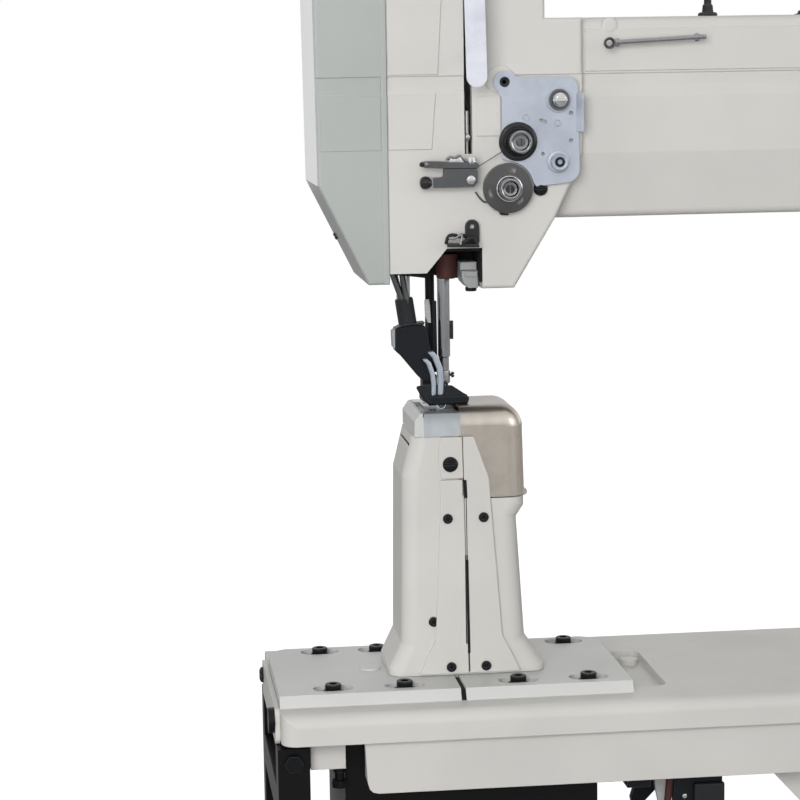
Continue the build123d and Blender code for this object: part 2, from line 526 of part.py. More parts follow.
def slide_plate(side, near):
    """A bent steel slide: flat on the block's top and rounded down over its end."""
    inside = side * (POST_BACK + HIDDEN_GAP)
    outside = side * (POST_BACK + SLIDE_SKIN)
    underside = BLOCK_TOP + FIT
    with BuildSketch(Plane.YZ.offset(SLIDE_X[0])) as outline:
        with BuildLine():
            Polyline((inside, POST_TOWER_TOP + SEAT), (outside, POST_TOWER_TOP + SEAT),
                     (outside, POST_HEIGHT), (side * near, POST_HEIGHT), (side * near, underside),
                     (inside, underside), close=True)
        make_face()
        bend = outline.vertices().filter_by(lambda v: abs(v.Y - outside) < 0.01 and v.Z > BLOCK_TOP)
        fillet(bend, SLIDE_ROUND)
        crease = outline.vertices().filter_by(lambda v: abs(v.Y - inside) < 0.01 and v.Z > BLOCK_TOP - 1)
        fillet(crease, BLOCK_ROUND)
    extrude(outline.sketch, amount=SLIDE_X[1] - SLIDE_X[0])


with BuildPart() as slide_plates:
    slide_plate(-1, -PLATE_Y[0] + HIDDEN_GAP)
    slide_plate(1, PLATE_Y[1] + HIDDEN_GAP)
publish(slide_plates, "slide_plates")

with BuildPart() as needle_plate:
    box_between(PLATE_X[0], PLATE_X[1], PLATE_Y[0], PLATE_Y[1], BLOCK_TOP, POST_HEIGHT)
    box_between(DOG_SLOT[0], DOG_SLOT[1], DOG_SLOT[2], DOG_SLOT[3], BLOCK_TOP, POST_HEIGHT,
                mode=Mode.SUBTRACT)
    for screw_y in (PLATE_Y[0] + 3.4, PLATE_Y[1] - 3):
        rod_z(PLATE_X[0] + 4, screw_y, POST_HEIGHT - 0.6, POST_HEIGHT, 2.4, mode=Mode.SUBTRACT)
publish(needle_plate, "needle_plate")

# ==================================================================== hook and its cover
COVER_X = (4.4, DECK_RIGHT + 1.1)
COVER_LEAN = 1.4              # the cover's right side leans in by this much at the top
COVER_Z = (POST_DECK_Z[1] + 0.6, POST_HEIGHT + 3.0)
COVER_HALF_DEPTH = 31.0
COVER_SKIN = 1.6
COVER_ROUND_TOP = 14.0
COVER_ROUND_SIDE = 12.0
CATCH_RADIUS = 2.5            # rounded spring catch under the cover's right edge
CATCH_HALF = 4.0
CATCH_X = COVER_X[1] + 2.3
CATCH_Z = COVER_Z[0] - 2.0


def hook_cover_form(inset, open_by):
    """The domed block of the hook cover, drawn inset from its outside on every closed side."""
    left = COVER_X[0] - open_by
    right = COVER_X[1] - inset
    top = COVER_Z[1] - inset
    bottom = COVER_Z[0] - open_by
    depth = COVER_HALF_DEPTH - inset
    with BuildSketch(Plane.XZ.offset(-depth)) as outline:
        with BuildLine():
            Polyline((left, bottom), (right, bottom), (right - COVER_LEAN, top), (left, top), close=True)
        make_face()
        corner = outline.vertices().sort_by(lambda v: v.X + v.Y)[-1]
        fillet(corner, COVER_ROUND_TOP - inset)
    extrude(outline.sketch, amount=2 * depth)


with BuildPart(mode=Mode.PRIVATE) as hook_cover_inside:
    hook_cover_form(COVER_SKIN, 5)
    inside_rims = hook_cover_inside.edges().filter_by(
        lambda edge: abs(abs(edge.center().Y) - (COVER_HALF_DEPTH - COVER_SKIN)) < 0.01
        and (edge.center().X > COVER_X[1] - 8 or edge.center().Z > COVER_Z[1] - 8)
        and edge.center().Z > COVER_Z[0])
    fillet(inside_rims, COVER_ROUND_SIDE - COVER_SKIN)

with BuildPart() as hook_cover:
    hook_cover_form(0, 0)
    outside_rims = hook_cover.edges().filter_by(
        lambda edge: abs(abs(edge.center().Y) - COVER_HALF_DEPTH) < 0.01
        and (edge.center().X > COVER_X[1] - 8 or edge.center().Z > COVER_Z[1] - 8)
        and edge.center().Z > COVER_Z[0] + 1)
    fillet(outside_rims, COVER_ROUND_SIDE)
    add(hook_cover_inside.part, mode=Mode.SUBTRACT)
    rod_y(CATCH_X, -CATCH_HALF, CATCH_HALF, CATCH_Z, CATCH_RADIUS)
    front_prism([(COVER_X[1] - 1.5, COVER_Z[0]), (COVER_X[1] - 1.5, COVER_Z[0] + 5),
                 (CATCH_X + CATCH_RADIUS, CATCH_Z), (CATCH_X, CATCH_Z)], -CATCH_HALF, CATCH_HALF)
publish(hook_cover, "hook_cover")

# ------------------------------------------------------------- hook and bobbin
BEVEL_GEAR_RADIUS = 22.0      # on the lower shaft
BEVEL_PINION_RADIUS = 11.0    # on the hook shaft: it turns twice as fast
BEVEL_FACE = 7.0
GEAR_GAP = 0.3
HOOK_WALL = 3.2
HOOK_FLOOR = 3.5
CASE_RADIUS = 17.0
BOBBIN_RADIUS = 13.0
CASE_WALL = 3.0
BOBBIN_POST = 3.0
PINION_PITCH_Z = LOWER_SHAFT_Z + BEVEL_GEAR_RADIUS
GEAR_PITCH_X = HOOK_X + BEVEL_PINION_RADIUS


def cone_run(radius, other):
    """Radius of a bevel gear at the inner end of its teeth, and the depth of those teeth."""
    slant = (radius ** 2 + other ** 2) ** 0.5
    share = 1 - BEVEL_FACE / slant
    return radius * share, other * (1 - share)


def tooth_gaps(count, radius, length, axis_plane):
    """Cut round gaps along a gear's rim."""
    with BuildSketch(axis_plane) as gaps:
        with PolarLocations(radius, count):
            Circle(radius * 0.9 / count)
    extrude(gaps.sketch, amount=length, mode=Mode.SUBTRACT)


HUB_TOP = HOOK_Z[0]
with BuildPart() as hook_shaft:
    inner_radius, depth = cone_run(BEVEL_PINION_RADIUS, BEVEL_GEAR_RADIUS)
    rod_z(HOOK_X, 0, PINION_PITCH_Z - depth, HUB_TOP + HOOK_FLOOR, HOOK_SHAFT_RADIUS)
    with Locations((HOOK_X, 0, PINION_PITCH_Z - depth / 2)):
        Cone(inner_radius - GEAR_GAP, BEVEL_PINION_RADIUS - GEAR_GAP, depth)
    rod_z(HOOK_X, 0, PINION_PITCH_Z, -SEAT, 9.0)
    tooth_gaps(16, BEVEL_PINION_RADIUS, depth + 1,
               Plane(origin=(HOOK_X, 0, PINION_PITCH_Z - depth - 1), z_dir=(0, 0, 1)))
publish(hook_shaft, "hook_shaft")

with BuildPart() as rotary_hook:
    rod_z(HOOK_X, 0, HOOK_Z[0], HOOK_Z[1], HOOK_RADIUS)
    rod_z(HOOK_X, 0, HOOK_Z[0] + HOOK_FLOOR, HOOK_Z[1], HOOK_RADIUS - HOOK_WALL, mode=Mode.SUBTRACT)
    rod_z(HOOK_X, 0, HOOK_Z[0] - 8, HOOK_Z[0], 9.0)
    rod_z(HOOK_X, 0, HOOK_Z[0] - 8, HOOK_Z[0] + HOOK_FLOOR, HOOK_SHAFT_RADIUS + GRIP, mode=Mode.SUBTRACT)
    # the hook's open sector and the step under its point
    box_between(HOOK_X - 9, HOOK_X + 9, HOOK_RADIUS - 6, HOOK_RADIUS + 1, HOOK_Z[0] + 9, HOOK_Z[1],
                mode=Mode.SUBTRACT)
    box_between(HOOK_X + 9, HOOK_X + 14, HOOK_RADIUS - 12, HOOK_RADIUS + 1, HOOK_Z[0] + 15, HOOK_Z[1],
                mode=Mode.SUBTRACT)
publish(rotary_hook, "rotary_hook")

CASE_Z = (HOOK_Z[0] + HOOK_FLOOR + SEAT, HOOK_Z[1] - 1)
with BuildPart() as bobbin_case:
    rod_z(HOOK_X, 0, CASE_Z[0], CASE_Z[1], CASE_RADIUS)
    rod_z(HOOK_X, 0, CASE_Z[0] + 2, CASE_Z[1], CASE_RADIUS - CASE_WALL, mode=Mode.SUBTRACT)
    rod_z(HOOK_X, 0, CASE_Z[0] + 2, CASE_Z[1] - 1, BOBBIN_POST)
    # finger that keeps the case from turning
    box_between(HOOK_X - CASE_RADIUS + 0.5, HOOK_X - CASE_RADIUS + 3, -3, 3, CASE_Z[1] - 4, CASE_Z[1] + 1.6)
publish(bobbin_case, "bobbin_case")

with BuildPart() as bobbin:
    low = CASE_Z[0] + 2 + SEAT
    high = CASE_Z[1] - 3
    rod_z(HOOK_X, 0, low, low + 1, BOBBIN_RADIUS)
    rod_z(HOOK_X, 0, high - 1, high, BOBBIN_RADIUS)
    rod_z(HOOK_X, 0, low, high, 5)
    rod_z(HOOK_X, 0, low, high, BOBBIN_POST + FIT, mode=Mode.SUBTRACT)
    with BuildSketch(Plane.XY.offset(low)) as flange_holes:
        with Locations((HOOK_X, 0)):
            with PolarLocations(9, 6):
                Circle(1.6)
    extrude(flange_holes.sketch, amount=high - low, mode=Mode.SUBTRACT)
publish(bobbin, "bobbin")

# ------------------------------------------------------------- lower shaft and belt
PULLEY_RADIUS = 26.0
PULLEY_FLANGE = 29.0
FLANGE_THICKNESS = 1.5
BELT_THICKNESS = 3.0
BELT_TEETH = 30
LOWER_SHAFT_RIGHT = PILLAR_RIGHT - 21.0
BEARING_X = ((60.0, 76.0), (PILLAR_RIGHT - 42.0, PILLAR_RIGHT - 26.0))
ROCK_HANGER_X = (-52.0, -42.0)
BEARING_HALF = 14.0
FEED_BAR_X = (-12.0, -6.0)
FEED_BAR_HALF = 5.0
FEED_BAR_BOTTOM = -43.5
FEED_DOG_BASE = (POST_HEIGHT - 5.8, POST_HEIGHT - 3.7)
DOG_TOP = POST_HEIGHT + 0.2
DOG_HALF = 9.0
ROCK_ARM_TOP = FEED_BAR_BOTTOM - 0.6


def pulley(z):
    """A toothed belt pulley with two flanges, on a shaft along X at height z."""
    rod_x(PULLEY_X[0], PULLEY_X[1], 0, z, PULLEY_RADIUS)
    tooth_gaps(BELT_TEETH, PULLEY_RADIUS, PULLEY_X[1] - PULLEY_X[0],
               Plane(origin=(PULLEY_X[0], 0, z), z_dir=(1, 0, 0)))
    for edge_x in PULLEY_X:
        rod_x(edge_x - FLANGE_THICKNESS / 2, edge_x + FLANGE_THICKNESS / 2, 0, z, PULLEY_FLANGE)
    rod_x(PULLEY_X[0] - 9, PULLEY_X[0], 0, z, 15)


with BuildPart() as lower_shaft:
    inner_radius, depth = cone_run(BEVEL_GEAR_RADIUS, BEVEL_PINION_RADIUS)
    with Locations(Location((GEAR_PITCH_X - depth / 2, 0, LOWER_SHAFT_Z), (0, 90, 0))):
        Cone(inner_radius - GEAR_GAP, BEVEL_GEAR_RADIUS - GEAR_GAP, depth)
    rod_x(GEAR_PITCH_X, GEAR_PITCH_X + 4, 0, LOWER_SHAFT_Z, BEVEL_GEAR_RADIUS - GEAR_GAP)
    tooth_gaps(32, BEVEL_GEAR_RADIUS, depth + 6,
               Plane(origin=(GEAR_PITCH_X - depth - 1, 0, LOWER_SHAFT_Z), z_dir=(1, 0, 0)))
    rod_x(GEAR_PITCH_X + 4, GEAR_PITCH_X + 14, 0, LOWER_SHAFT_Z, 13)
    pulley(LOWER_SHAFT_Z)
    rod_x(GEAR_PITCH_X, LOWER_SHAFT_RIGHT, 0, LOWER_SHAFT_Z, LOWER_SHAFT_RADIUS)
    for collar_x in (BEARING_X[0][1] + SEAT, BEARING_X[1][1] + SEAT):
        rod_x(collar_x, collar_x + 4.5, 0, LOWER_SHAFT_Z, 11)
publish(lower_shaft, "lower_shaft")

with BuildPart() as timing_belt:
    span = SHAFT_Z - LOWER_SHAFT_Z
    inside = PULLEY_RADIUS + SEAT
    with BuildSketch(Plane.YZ.offset(PULLEY_X[0] + 1)) as loop:
        with Locations((0, (SHAFT_Z + LOWER_SHAFT_Z) / 2)):
            SlotCenterToCenter(span, 2 * (inside + BELT_THICKNESS), rotation=90)
            SlotCenterToCenter(span, 2 * inside, rotation=90, mode=Mode.SUBTRACT)
    extrude(loop.sketch, amount=PULLEY_X[1] - PULLEY_X[0] - 2)
publish(timing_belt, "timing_belt")

KNEE_X = 152.0
KNEE_Z = -56.0
KNEE_BLOCK_X = (141.0, 163.0)
KNEE_BLOCK_Y = (-44.0, -26.0)
KNEE_RADIUS = 6.0
KNEE_SOCKET = 4.0

with BuildPart() as bearing_blocks:
    for low_x, high_x in BEARING_X:
        box_between(low_x, high_x, -BEARING_HALF, BEARING_HALF, LOWER_SHAFT_Z - 13, -BED_TOP_WALL)
    box_between(BEARING_X[0][0], BEARING_X[0][1], -BEARING_HALF + 3, BEARING_HALF - 3,
                ROCK_SHAFT_Z - 11, LOWER_SHAFT_Z - 13)
    box_between(ROCK_HANGER_X[0], ROCK_HANGER_X[1], -BEARING_HALF + 3, BEARING_HALF - 3,
                ROCK_SHAFT_Z - 11, -BED_TOP_WALL)
    rod_x(BEARING_X[0][0], BEARING_X[1][1], 0, LOWER_SHAFT_Z, LOWER_SHAFT_RADIUS + FIT, mode=Mode.SUBTRACT)
    rod_x(ROCK_HANGER_X[0], BEARING_X[0][1], 0, ROCK_SHAFT_Z, ROCK_SHAFT_RADIUS + FIT, mode=Mode.SUBTRACT)
    # knee lifter block
    box_between(KNEE_BLOCK_X[0], KNEE_BLOCK_X[1], KNEE_BLOCK_Y[0], KNEE_BLOCK_Y[1], KNEE_Z - 16,
                -BED_TOP_WALL)
    rod_y(KNEE_X, KNEE_BLOCK_Y[0], KNEE_BLOCK_Y[1], KNEE_Z, KNEE_RADIUS + FIT, mode=Mode.SUBTRACT)
    box_between(103.0, 118.0, -72, -48, -61, -BED_TOP_WALL)
publish(bearing_blocks, "bearing_blocks")

KNEE_ARM_TIP = (122.0, -92.0)
with BuildPart() as knee_lift_lever:
    rod_y(KNEE_X, KNEE_BLOCK_Y[0] - 8, KNEE_BLOCK_Y[1] + 16, KNEE_Z, KNEE_RADIUS)
    rod_y(KNEE_X, KNEE_BLOCK_Y[0] - 8, KNEE_BLOCK_Y[0] - SEAT, KNEE_Z, 10)
    rod_y(KNEE_X, KNEE_BLOCK_Y[1] + SEAT, KNEE_BLOCK_Y[1] + 12, KNEE_Z, 11)
    front_prism([(KNEE_X - 2, KNEE_Z + 10), (KNEE_X - 6, KNEE_Z - 9),
                 (KNEE_ARM_TIP[0] - 4, KNEE_ARM_TIP[1] - 2), (KNEE_ARM_TIP[0] - 6, KNEE_ARM_TIP[1] + 8),
                 (KNEE_X - 26, KNEE_Z + 4)], KNEE_BLOCK_Y[1] + 4, KNEE_BLOCK_Y[1] + 9)
    # socket that takes the knee pad's rod
    rod_z(KNEE_X, KNEE_BLOCK_Y[0] - 8, KNEE_Z - 24, KNEE_Z, 7)
    rod_z(KNEE_X, KNEE_BLOCK_Y[0] - 8, KNEE_Z - 24, KNEE_Z - 7, KNEE_SOCKET, mode=Mode.SUBTRACT)
publish(knee_lift_lever, "knee_lift_lever")

with BuildPart() as feed_rock_shaft:
    rod_x(ROCK_HANGER_X[0] - 4, BEARING_X[0][1] + 4, 0, ROCK_SHAFT_Z, ROCK_SHAFT_RADIUS)
    rod_x(ROCK_HANGER_X[1] + SEAT, ROCK_HANGER_X[1] + 6, 0, ROCK_SHAFT_Z, 10)
    rod_x(BEARING_X[0][0] - 6, BEARING_X[0][0] - SEAT, 0, ROCK_SHAFT_Z, 10)
    rod_x(FEED_BAR_X[0] - 1, FEED_BAR_X[1] + 1, 0, ROCK_SHAFT_Z, 10)
    box_between(FEED_BAR_X[0], FEED_BAR_X[1], -4, 4, ROCK_SHAFT_Z, ROCK_ARM_TOP)
publish(feed_rock_shaft, "feed_rock_shaft")

with BuildPart() as feed_bar:
    box_between(FEED_BAR_X[0], FEED_BAR_X[1], -FEED_BAR_HALF, FEED_BAR_HALF, FEED_BAR_BOTTOM,
                FEED_DOG_BASE[0])
publish(feed_bar, "feed_bar")

NEEDLE_HOLE = 1.7
with BuildPart() as feed_dog:
    box_between(FEED_BAR_X[0], 1.0, -DOG_HALF, DOG_HALF, FEED_DOG_BASE[0], FEED_DOG_BASE[1])
    box_between(DOG_SLOT[0] + 0.8, DOG_SLOT[1] - 0.8, -DOG_HALF, DOG_HALF, FEED_DOG_BASE[1], DOG_TOP)
    rod_z(NEEDLE_X, 0, FEED_DOG_BASE[0], DOG_TOP, NEEDLE_HOLE, mode=Mode.SUBTRACT)
    for step in range(-6, 7):
        tooth_y = step * 1.35
        side_prism([(tooth_y - 0.5, DOG_TOP + 0.1), (tooth_y + 0.5, DOG_TOP + 0.1),
                    (tooth_y + 0.1, DOG_TOP - 0.8)], DOG_SLOT[0], DOG_SLOT[1], mode=Mode.SUBTRACT)
publish(feed_dog, "feed_dog")

# ==================================================================== arm, head and pillar
HEAD_WALL = 7.0
HEAD_FLOOR = HEAD_BOTTOM + 21.5   # top of the head's solid lower part
NOTCH_X = (-18.0, 16.8)
NOTCH_TOP = HEAD_BOTTOM + 15.0
CHIN_BOTTOM = HEAD_BOTTOM - 10.5
HEAD_CAVITY_RIGHT = 50.0
BUSH_WALL_X = (50.0, 62.0)
SHAFT_RADIUS = 8.0
BUSH_RADIUS = 12.0
ARM_CAVITY = (BUSH_WALL_X[1], PILLAR_RIGHT - 12.0, -35.0, 35.0, ARM_BOTTOM + 16.0, ARM_TOP - 12.0)
PILLAR_CAVITY = (PILLAR_LEFT + 8.0, PILLAR_RIGHT - 8.0, -PILLAR_HALF_DEPTH + 9.0, PILLAR_HALF_DEPTH - 9.0,
                 0.0, ARM_BOTTOM + 18.0)
SLOT_X = (6.6, 11.4)
SLOT_Z = (HEAD_BOTTOM + 73.1, HEAD_TOP - 12.0)
BAND_Z = (HEAD_BOTTOM + 110.5, HEAD_BOTTOM + 121.1)
BAND_DEPTH = 1.0
PANEL_RAISE = 0.8
PANEL_Z = HEAD_BOTTOM + 76.5
PRESSER_X = -26.0
PRESSER_RADIUS = 3.2
PRESSER_BUSH = 6.0
KNOB_STEM = 6.0
PIVOT_Z = HEAD_TOP - 20.0               # rocking axis of the needle-bar frame
PIVOT_RADIUS = 4.0
PIVOT_LUG_X = (-22.2, -17.4)
TAKE_UP_Y = 12.0
TAKE_UP_Z = HEAD_TOP - 56.0
TAKE_UP_PIN = 4.0
DIAL_X = PILLAR_X + 3.0
DIAL_Z = 196.0
DIAL_SHAFT = 5.0
LEVER_X = DIAL_X
LEVER_Z = 96.0
LIFTER_X = -20.0
LIFTER_Z = HEAD_BOTTOM + 51.5
LIFTER_SHAFT = 5.0
BACK_COVER_X = (102.0, PILLAR_LEFT - 24.0)
BACK_COVER_Z = (ARM_BOTTOM + 44.0, ARM_TOP - 16.0)
BACK_COVER_THICKNESS = 3.0

HEAD_STEP_X = 57.4            # right side of the head's raised top
HEAD_OUTLINE = [(HEAD_LEFT, HEAD_BOTTOM), (NOTCH_X[0], HEAD_BOTTOM), (-5.3, NOTCH_TOP),
                (NOTCH_X[1], NOTCH_TOP), (NOTCH_X[1], CHIN_BOTTOM), (37, CHIN_BOTTOM),
                (63.4, HEAD_BOTTOM + 33),
                (73.2, HEAD_BOTTOM + 53.5), (HEAD_RIGHT, HEAD_BOTTOM + 72.5), (HEAD_RIGHT, ARM_TOP),
                (HEAD_STEP_X, ARM_TOP), (HEAD_STEP_X, HEAD_TOP),
                (HEAD_LEFT, HEAD_TOP)]
ARM_BEVEL_Z = ARM_BOTTOM + 40.4
ARM_UNDER_HALF = 36.0
ARM_ROUND = 6.0

with BuildPart() as arm_casting:
    front_prism(HEAD_OUTLINE, HEAD_FRONT, HEAD_BACK)
    front_rim = arm_casting.edges().filter_by(
        lambda edge: abs(edge.center().Y - HEAD_FRONT) < 0.01 and edge.center().X > 25)
    fillet(front_rim, 2.5)
    top_rim = arm_casting.edges().filter_by(
        lambda edge: abs(edge.center().Z - HEAD_TOP) < 0.01 and abs(edge.center().Y - HEAD_BACK) < 0.01)
    fillet(top_rim, 2.5)
    with BuildSketch(Plane.YZ.offset(HEAD_CAVITY_RIGHT)) as arm_section:
        with BuildLine():
            Polyline((-ARM_HALF_DEPTH, ARM_BEVEL_Z), (-ARM_UNDER_HALF, ARM_BOTTOM),
                     (ARM_UNDER_HALF, ARM_BOTTOM), (ARM_HALF_DEPTH, ARM_BEVEL_Z),
                     (ARM_HALF_DEPTH, ARM_TOP), (-ARM_HALF_DEPTH, ARM_TOP), close=True)
        make_face()
        fillet(arm_section.vertices(), ARM_ROUND)
    extrude(arm_section.sketch, amount=PILLAR_RIGHT - 30 - HEAD_CAVITY_RIGHT)
    rounded_plan(PILLAR_LEFT, PILLAR_RIGHT, -PILLAR_HALF_DEPTH, PILLAR_HALF_DEPTH, 0, ARM_TOP, 10)
    # gusset under the arm where it meets the pillar, and the pillar's spread foot
    front_prism([(PILLAR_LEFT - 34, ARM_BOTTOM + 4), (PILLAR_LEFT + 2, ARM_BOTTOM - 34),
                 (PILLAR_LEFT + 2, ARM_BOTTOM + 4)], -ARM_UNDER_HALF + 1, ARM_UNDER_HALF - 1)
    foot_half = PILLAR_HALF_DEPTH + 8
    rounded_plan(PILLAR_LEFT - 10, PILLAR_RIGHT + 8, -foot_half, foot_half, 0, 12, 12)
    # inside of head, arm and pillar
    box_between(HEAD_LEFT - 1, HEAD_CAVITY_RIGHT, HEAD_FRONT + HEAD_WALL, HEAD_BACK - HEAD_WALL,
                HEAD_FLOOR, HEAD_TOP - HEAD_WALL, mode=Mode.SUBTRACT)
    box_between(*ARM_CAVITY, mode=Mode.SUBTRACT)
    box_between(*PILLAR_CAVITY, mode=Mode.SUBTRACT)
    box_between(NOTCH_X[0], NOTCH_X[1], HEAD_FRONT + HEAD_WALL, HEAD_BACK - HEAD_WALL,
                NOTCH_TOP - 1, HEAD_FLOOR + 1, mode=Mode.SUBTRACT)
    box_between(NOTCH_X[0], NOTCH_X[1], HEAD_BACK - HEAD_WALL, HEAD_BACK, CHIN_BOTTOM + 6, NOTCH_TOP + 2)
    # take-up slot in the front wall
    box_between(SLOT_X[0], SLOT_X[1], HEAD_FRONT - 1, HEAD_FRONT + HEAD_WALL + 1, SLOT_Z[0], SLOT_Z[1],
                mode=Mode.SUBTRACT)
    # shallow band along head and arm
    side_prism([(HEAD_FRONT - 1, BAND_Z[1]), (HEAD_FRONT + BAND_DEPTH, BAND_Z[1]),
                (HEAD_FRONT + BAND_DEPTH, BAND_Z[0] + 2.5), (HEAD_FRONT, BAND_Z[0]),
                (HEAD_FRONT - 1, BAND_Z[0])], HEAD_LEFT, HEAD_RIGHT + 1, mode=Mode.SUBTRACT)
    side_prism([(-ARM_HALF_DEPTH - 1, BAND_Z[1]), (-ARM_HALF_DEPTH + BAND_DEPTH, BAND_Z[1]),
                (-ARM_HALF_DEPTH + BAND_DEPTH, BAND_Z[0] + 4), (-ARM_HALF_DEPTH, BAND_Z[0] - 4),
                (-ARM_HALF_DEPTH - 1, BAND_Z[0] - 4)], HEAD_RIGHT, PILLAR_LEFT, mode=Mode.SUBTRACT)
    # raised panels on the head's face
    raised_face = HEAD_FRONT - PANEL_RAISE
    front_prism([(HEAD_LEFT + 0.5, BAND_Z[1] + 1), (-9.8, BAND_Z[1] + 1), (-5, HEAD_TOP - 4),
                 (HEAD_LEFT + 0.5, HEAD_TOP - 4)], raised_face, HEAD_FRONT)
    front_prism([(HEAD_LEFT + 0.5, PANEL_Z), (-14, PANEL_Z), (-11.3, BAND_Z[0] - 0.6),
                 (HEAD_LEFT + 0.5, BAND_Z[0] - 0.6)], raised_face, HEAD_FRONT)
    box_between(14.2, 29, raised_face, HEAD_FRONT, PANEL_Z + 7.5, BAND_Z[0] - 2)
    box_between(HEAD_RIGHT + 2.5, PILLAR_LEFT - 8, -ARM_HALF_DEPTH - PANEL_RAISE, -ARM_HALF_DEPTH,
                BAND_Z[1] + 1.5, ARM_TOP - 7)
    # lug that carries the pivot of the needle-bar frame
    box_between(PIVOT_LUG_X[0], PIVOT_LUG_X[1], -8, 8, PIVOT_Z - 8, HEAD_TOP - HEAD_WALL)
    # room for the rocking frame behind the slanted edge of the notch
    box_between(NOTCH_X[0], NOTCH_X[1], HEAD_FRONT + HEAD_WALL, HEAD_BACK - HEAD_WALL,
                HEAD_BOTTOM - 1, NOTCH_TOP, mode=Mode.SUBTRACT)
    # bores
    rod_x(PIVOT_LUG_X[0], PIVOT_LUG_X[1], 0, PIVOT_Z, PIVOT_RADIUS + FIT, mode=Mode.SUBTRACT)
    rod_x(BUSH_WALL_X[0], BUSH_WALL_X[1], 0, SHAFT_Z, BUSH_RADIUS, mode=Mode.SUBTRACT)
    rod_x(ARM_CAVITY[1], PILLAR_RIGHT, 0, SHAFT_Z, BUSH_RADIUS, mode=Mode.SUBTRACT)
    rod_x(HEAD_CAVITY_RIGHT, BUSH_WALL_X[1], TAKE_UP_Y, TAKE_UP_Z, TAKE_UP_PIN + FIT, mode=Mode.SUBTRACT)
    rod_z(PRESSER_X, 0, HEAD_BOTTOM, HEAD_FLOOR, PRESSER_BUSH, mode=Mode.SUBTRACT)
    box_between(-38, -28.5, 4, 12, HEAD_BOTTOM, HEAD_FLOOR, mode=Mode.SUBTRACT)
    rod_z(PRESSER_X, 0, HEAD_TOP - HEAD_WALL, HEAD_TOP, KNOB_STEM + FIT, mode=Mode.SUBTRACT)
    rod_y(DIAL_X, -PILLAR_HALF_DEPTH, PILLAR_CAVITY[2], DIAL_Z, DIAL_SHAFT + FIT, mode=Mode.SUBTRACT)
    rod_y(LEVER_X, -PILLAR_HALF_DEPTH, PILLAR_CAVITY[2], LEVER_Z, DIAL_SHAFT + FIT, mode=Mode.SUBTRACT)
    rod_y(LIFTER_X, HEAD_BACK - HEAD_WALL, HEAD_BACK, LIFTER_Z, LIFTER_SHAFT + FIT, mode=Mode.SUBTRACT)
    box_between(BACK_COVER_X[0] + 10, BACK_COVER_X[1] - 10, ARM_CAVITY[3] - 1, ARM_HALF_DEPTH,
                BACK_COVER_Z[0] + 8, BACK_COVER_Z[1] - 8, mode=Mode.SUBTRACT)
publish(arm_casting, "arm_casting")

COVER_LEFT_TOP = -86.3
COVER_LEFT_LOW = -84.8
COVER_BEND_Z = HEAD_BOTTOM + 55.2
COVER_FOOT = (-54.3, HEAD_BOTTOM - 6.5)
COVER_RIGHT = HEAD_LEFT - 0.2
COVER_WALL = 3.0
FACE_Y = (HEAD_FRONT - 0.8, HEAD_BACK - 2)

with BuildPart() as face_cover:
    front_prism([(COVER_RIGHT, COVER_FOOT[1]), COVER_FOOT, (COVER_LEFT_LOW, COVER_BEND_Z),
                 (COVER_LEFT_TOP, HEAD_TOP), (COVER_RIGHT, HEAD_TOP)], FACE_Y[0], FACE_Y[1])
    outer_edges = face_cover.edges().filter_by(
        lambda edge: edge.center().X < COVER_RIGHT - 1
        and (abs(edge.center().Y - FACE_Y[0]) < 0.01 or abs(edge.center().Y - FACE_Y[1]) < 0.01))
    fillet(outer_edges, 2.2)
    inside_foot = COVER_FOOT[1] + COVER_WALL
    inside_top = HEAD_TOP - COVER_WALL
    front_prism([(COVER_RIGHT, inside_foot), (COVER_FOOT[0] + 1.2, inside_foot),
                 (COVER_LEFT_LOW + COVER_WALL, COVER_BEND_Z + 1), (COVER_LEFT_TOP + COVER_WALL, inside_top),
                 (COVER_RIGHT, inside_top)], FACE_Y[0] + COVER_WALL, FACE_Y[1] - COVER_WALL,
                mode=Mode.SUBTRACT)
    side_prism([(FACE_Y[0] - 1, BAND_Z[1]), (FACE_Y[0] + BAND_DEPTH, BAND_Z[1]),
                (FACE_Y[0] + BAND_DEPTH, BAND_Z[0] + 2.5), (FACE_Y[0], BAND_Z[0]),
                (FACE_Y[0] - 1, BAND_Z[0])], COVER_LEFT_TOP - 1, COVER_RIGHT, mode=Mode.SUBTRACT)
    rod_x(COVER_LEFT_TOP - 1, COVER_LEFT_TOP + 2.5, -25, HEAD_TOP - 19, 1.4, mode=Mode.SUBTRACT)
publish(face_cover, "face_cover")

with BuildPart() as arm_covers:
    front_prism([(BACK_COVER_X[0], BACK_COVER_Z[0]), (BACK_COVER_X[1], BACK_COVER_Z[0]),
                 (BACK_COVER_X[1], BACK_COVER_Z[1]), (BACK_COVER_X[0], BACK_COVER_Z[1])],
                ARM_HALF_DEPTH, ARM_HALF_DEPTH + BACK_COVER_THICKNESS, corner=8)
    for screw_x in (BACK_COVER_X[0] + 5, BACK_COVER_X[1] - 5):
        rod_y(screw_x, ARM_HALF_DEPTH + BACK_COVER_THICKNESS, ARM_HALF_DEPTH + BACK_COVER_THICKNESS + 1.5,
              (BACK_COVER_Z[0] + BACK_COVER_Z[1]) / 2, 3.5)
publish(arm_covers, "arm_covers")

# ==================================================================== main shaft and handwheel
DISC_X = (26.0, 40.0)
DISC_RADIUS = 26.0
CRANK_RADIUS = NEEDLE_STROKE / 2
LINK_X = (19.0, 24.0)
BUSH_FLANGE = 1.5

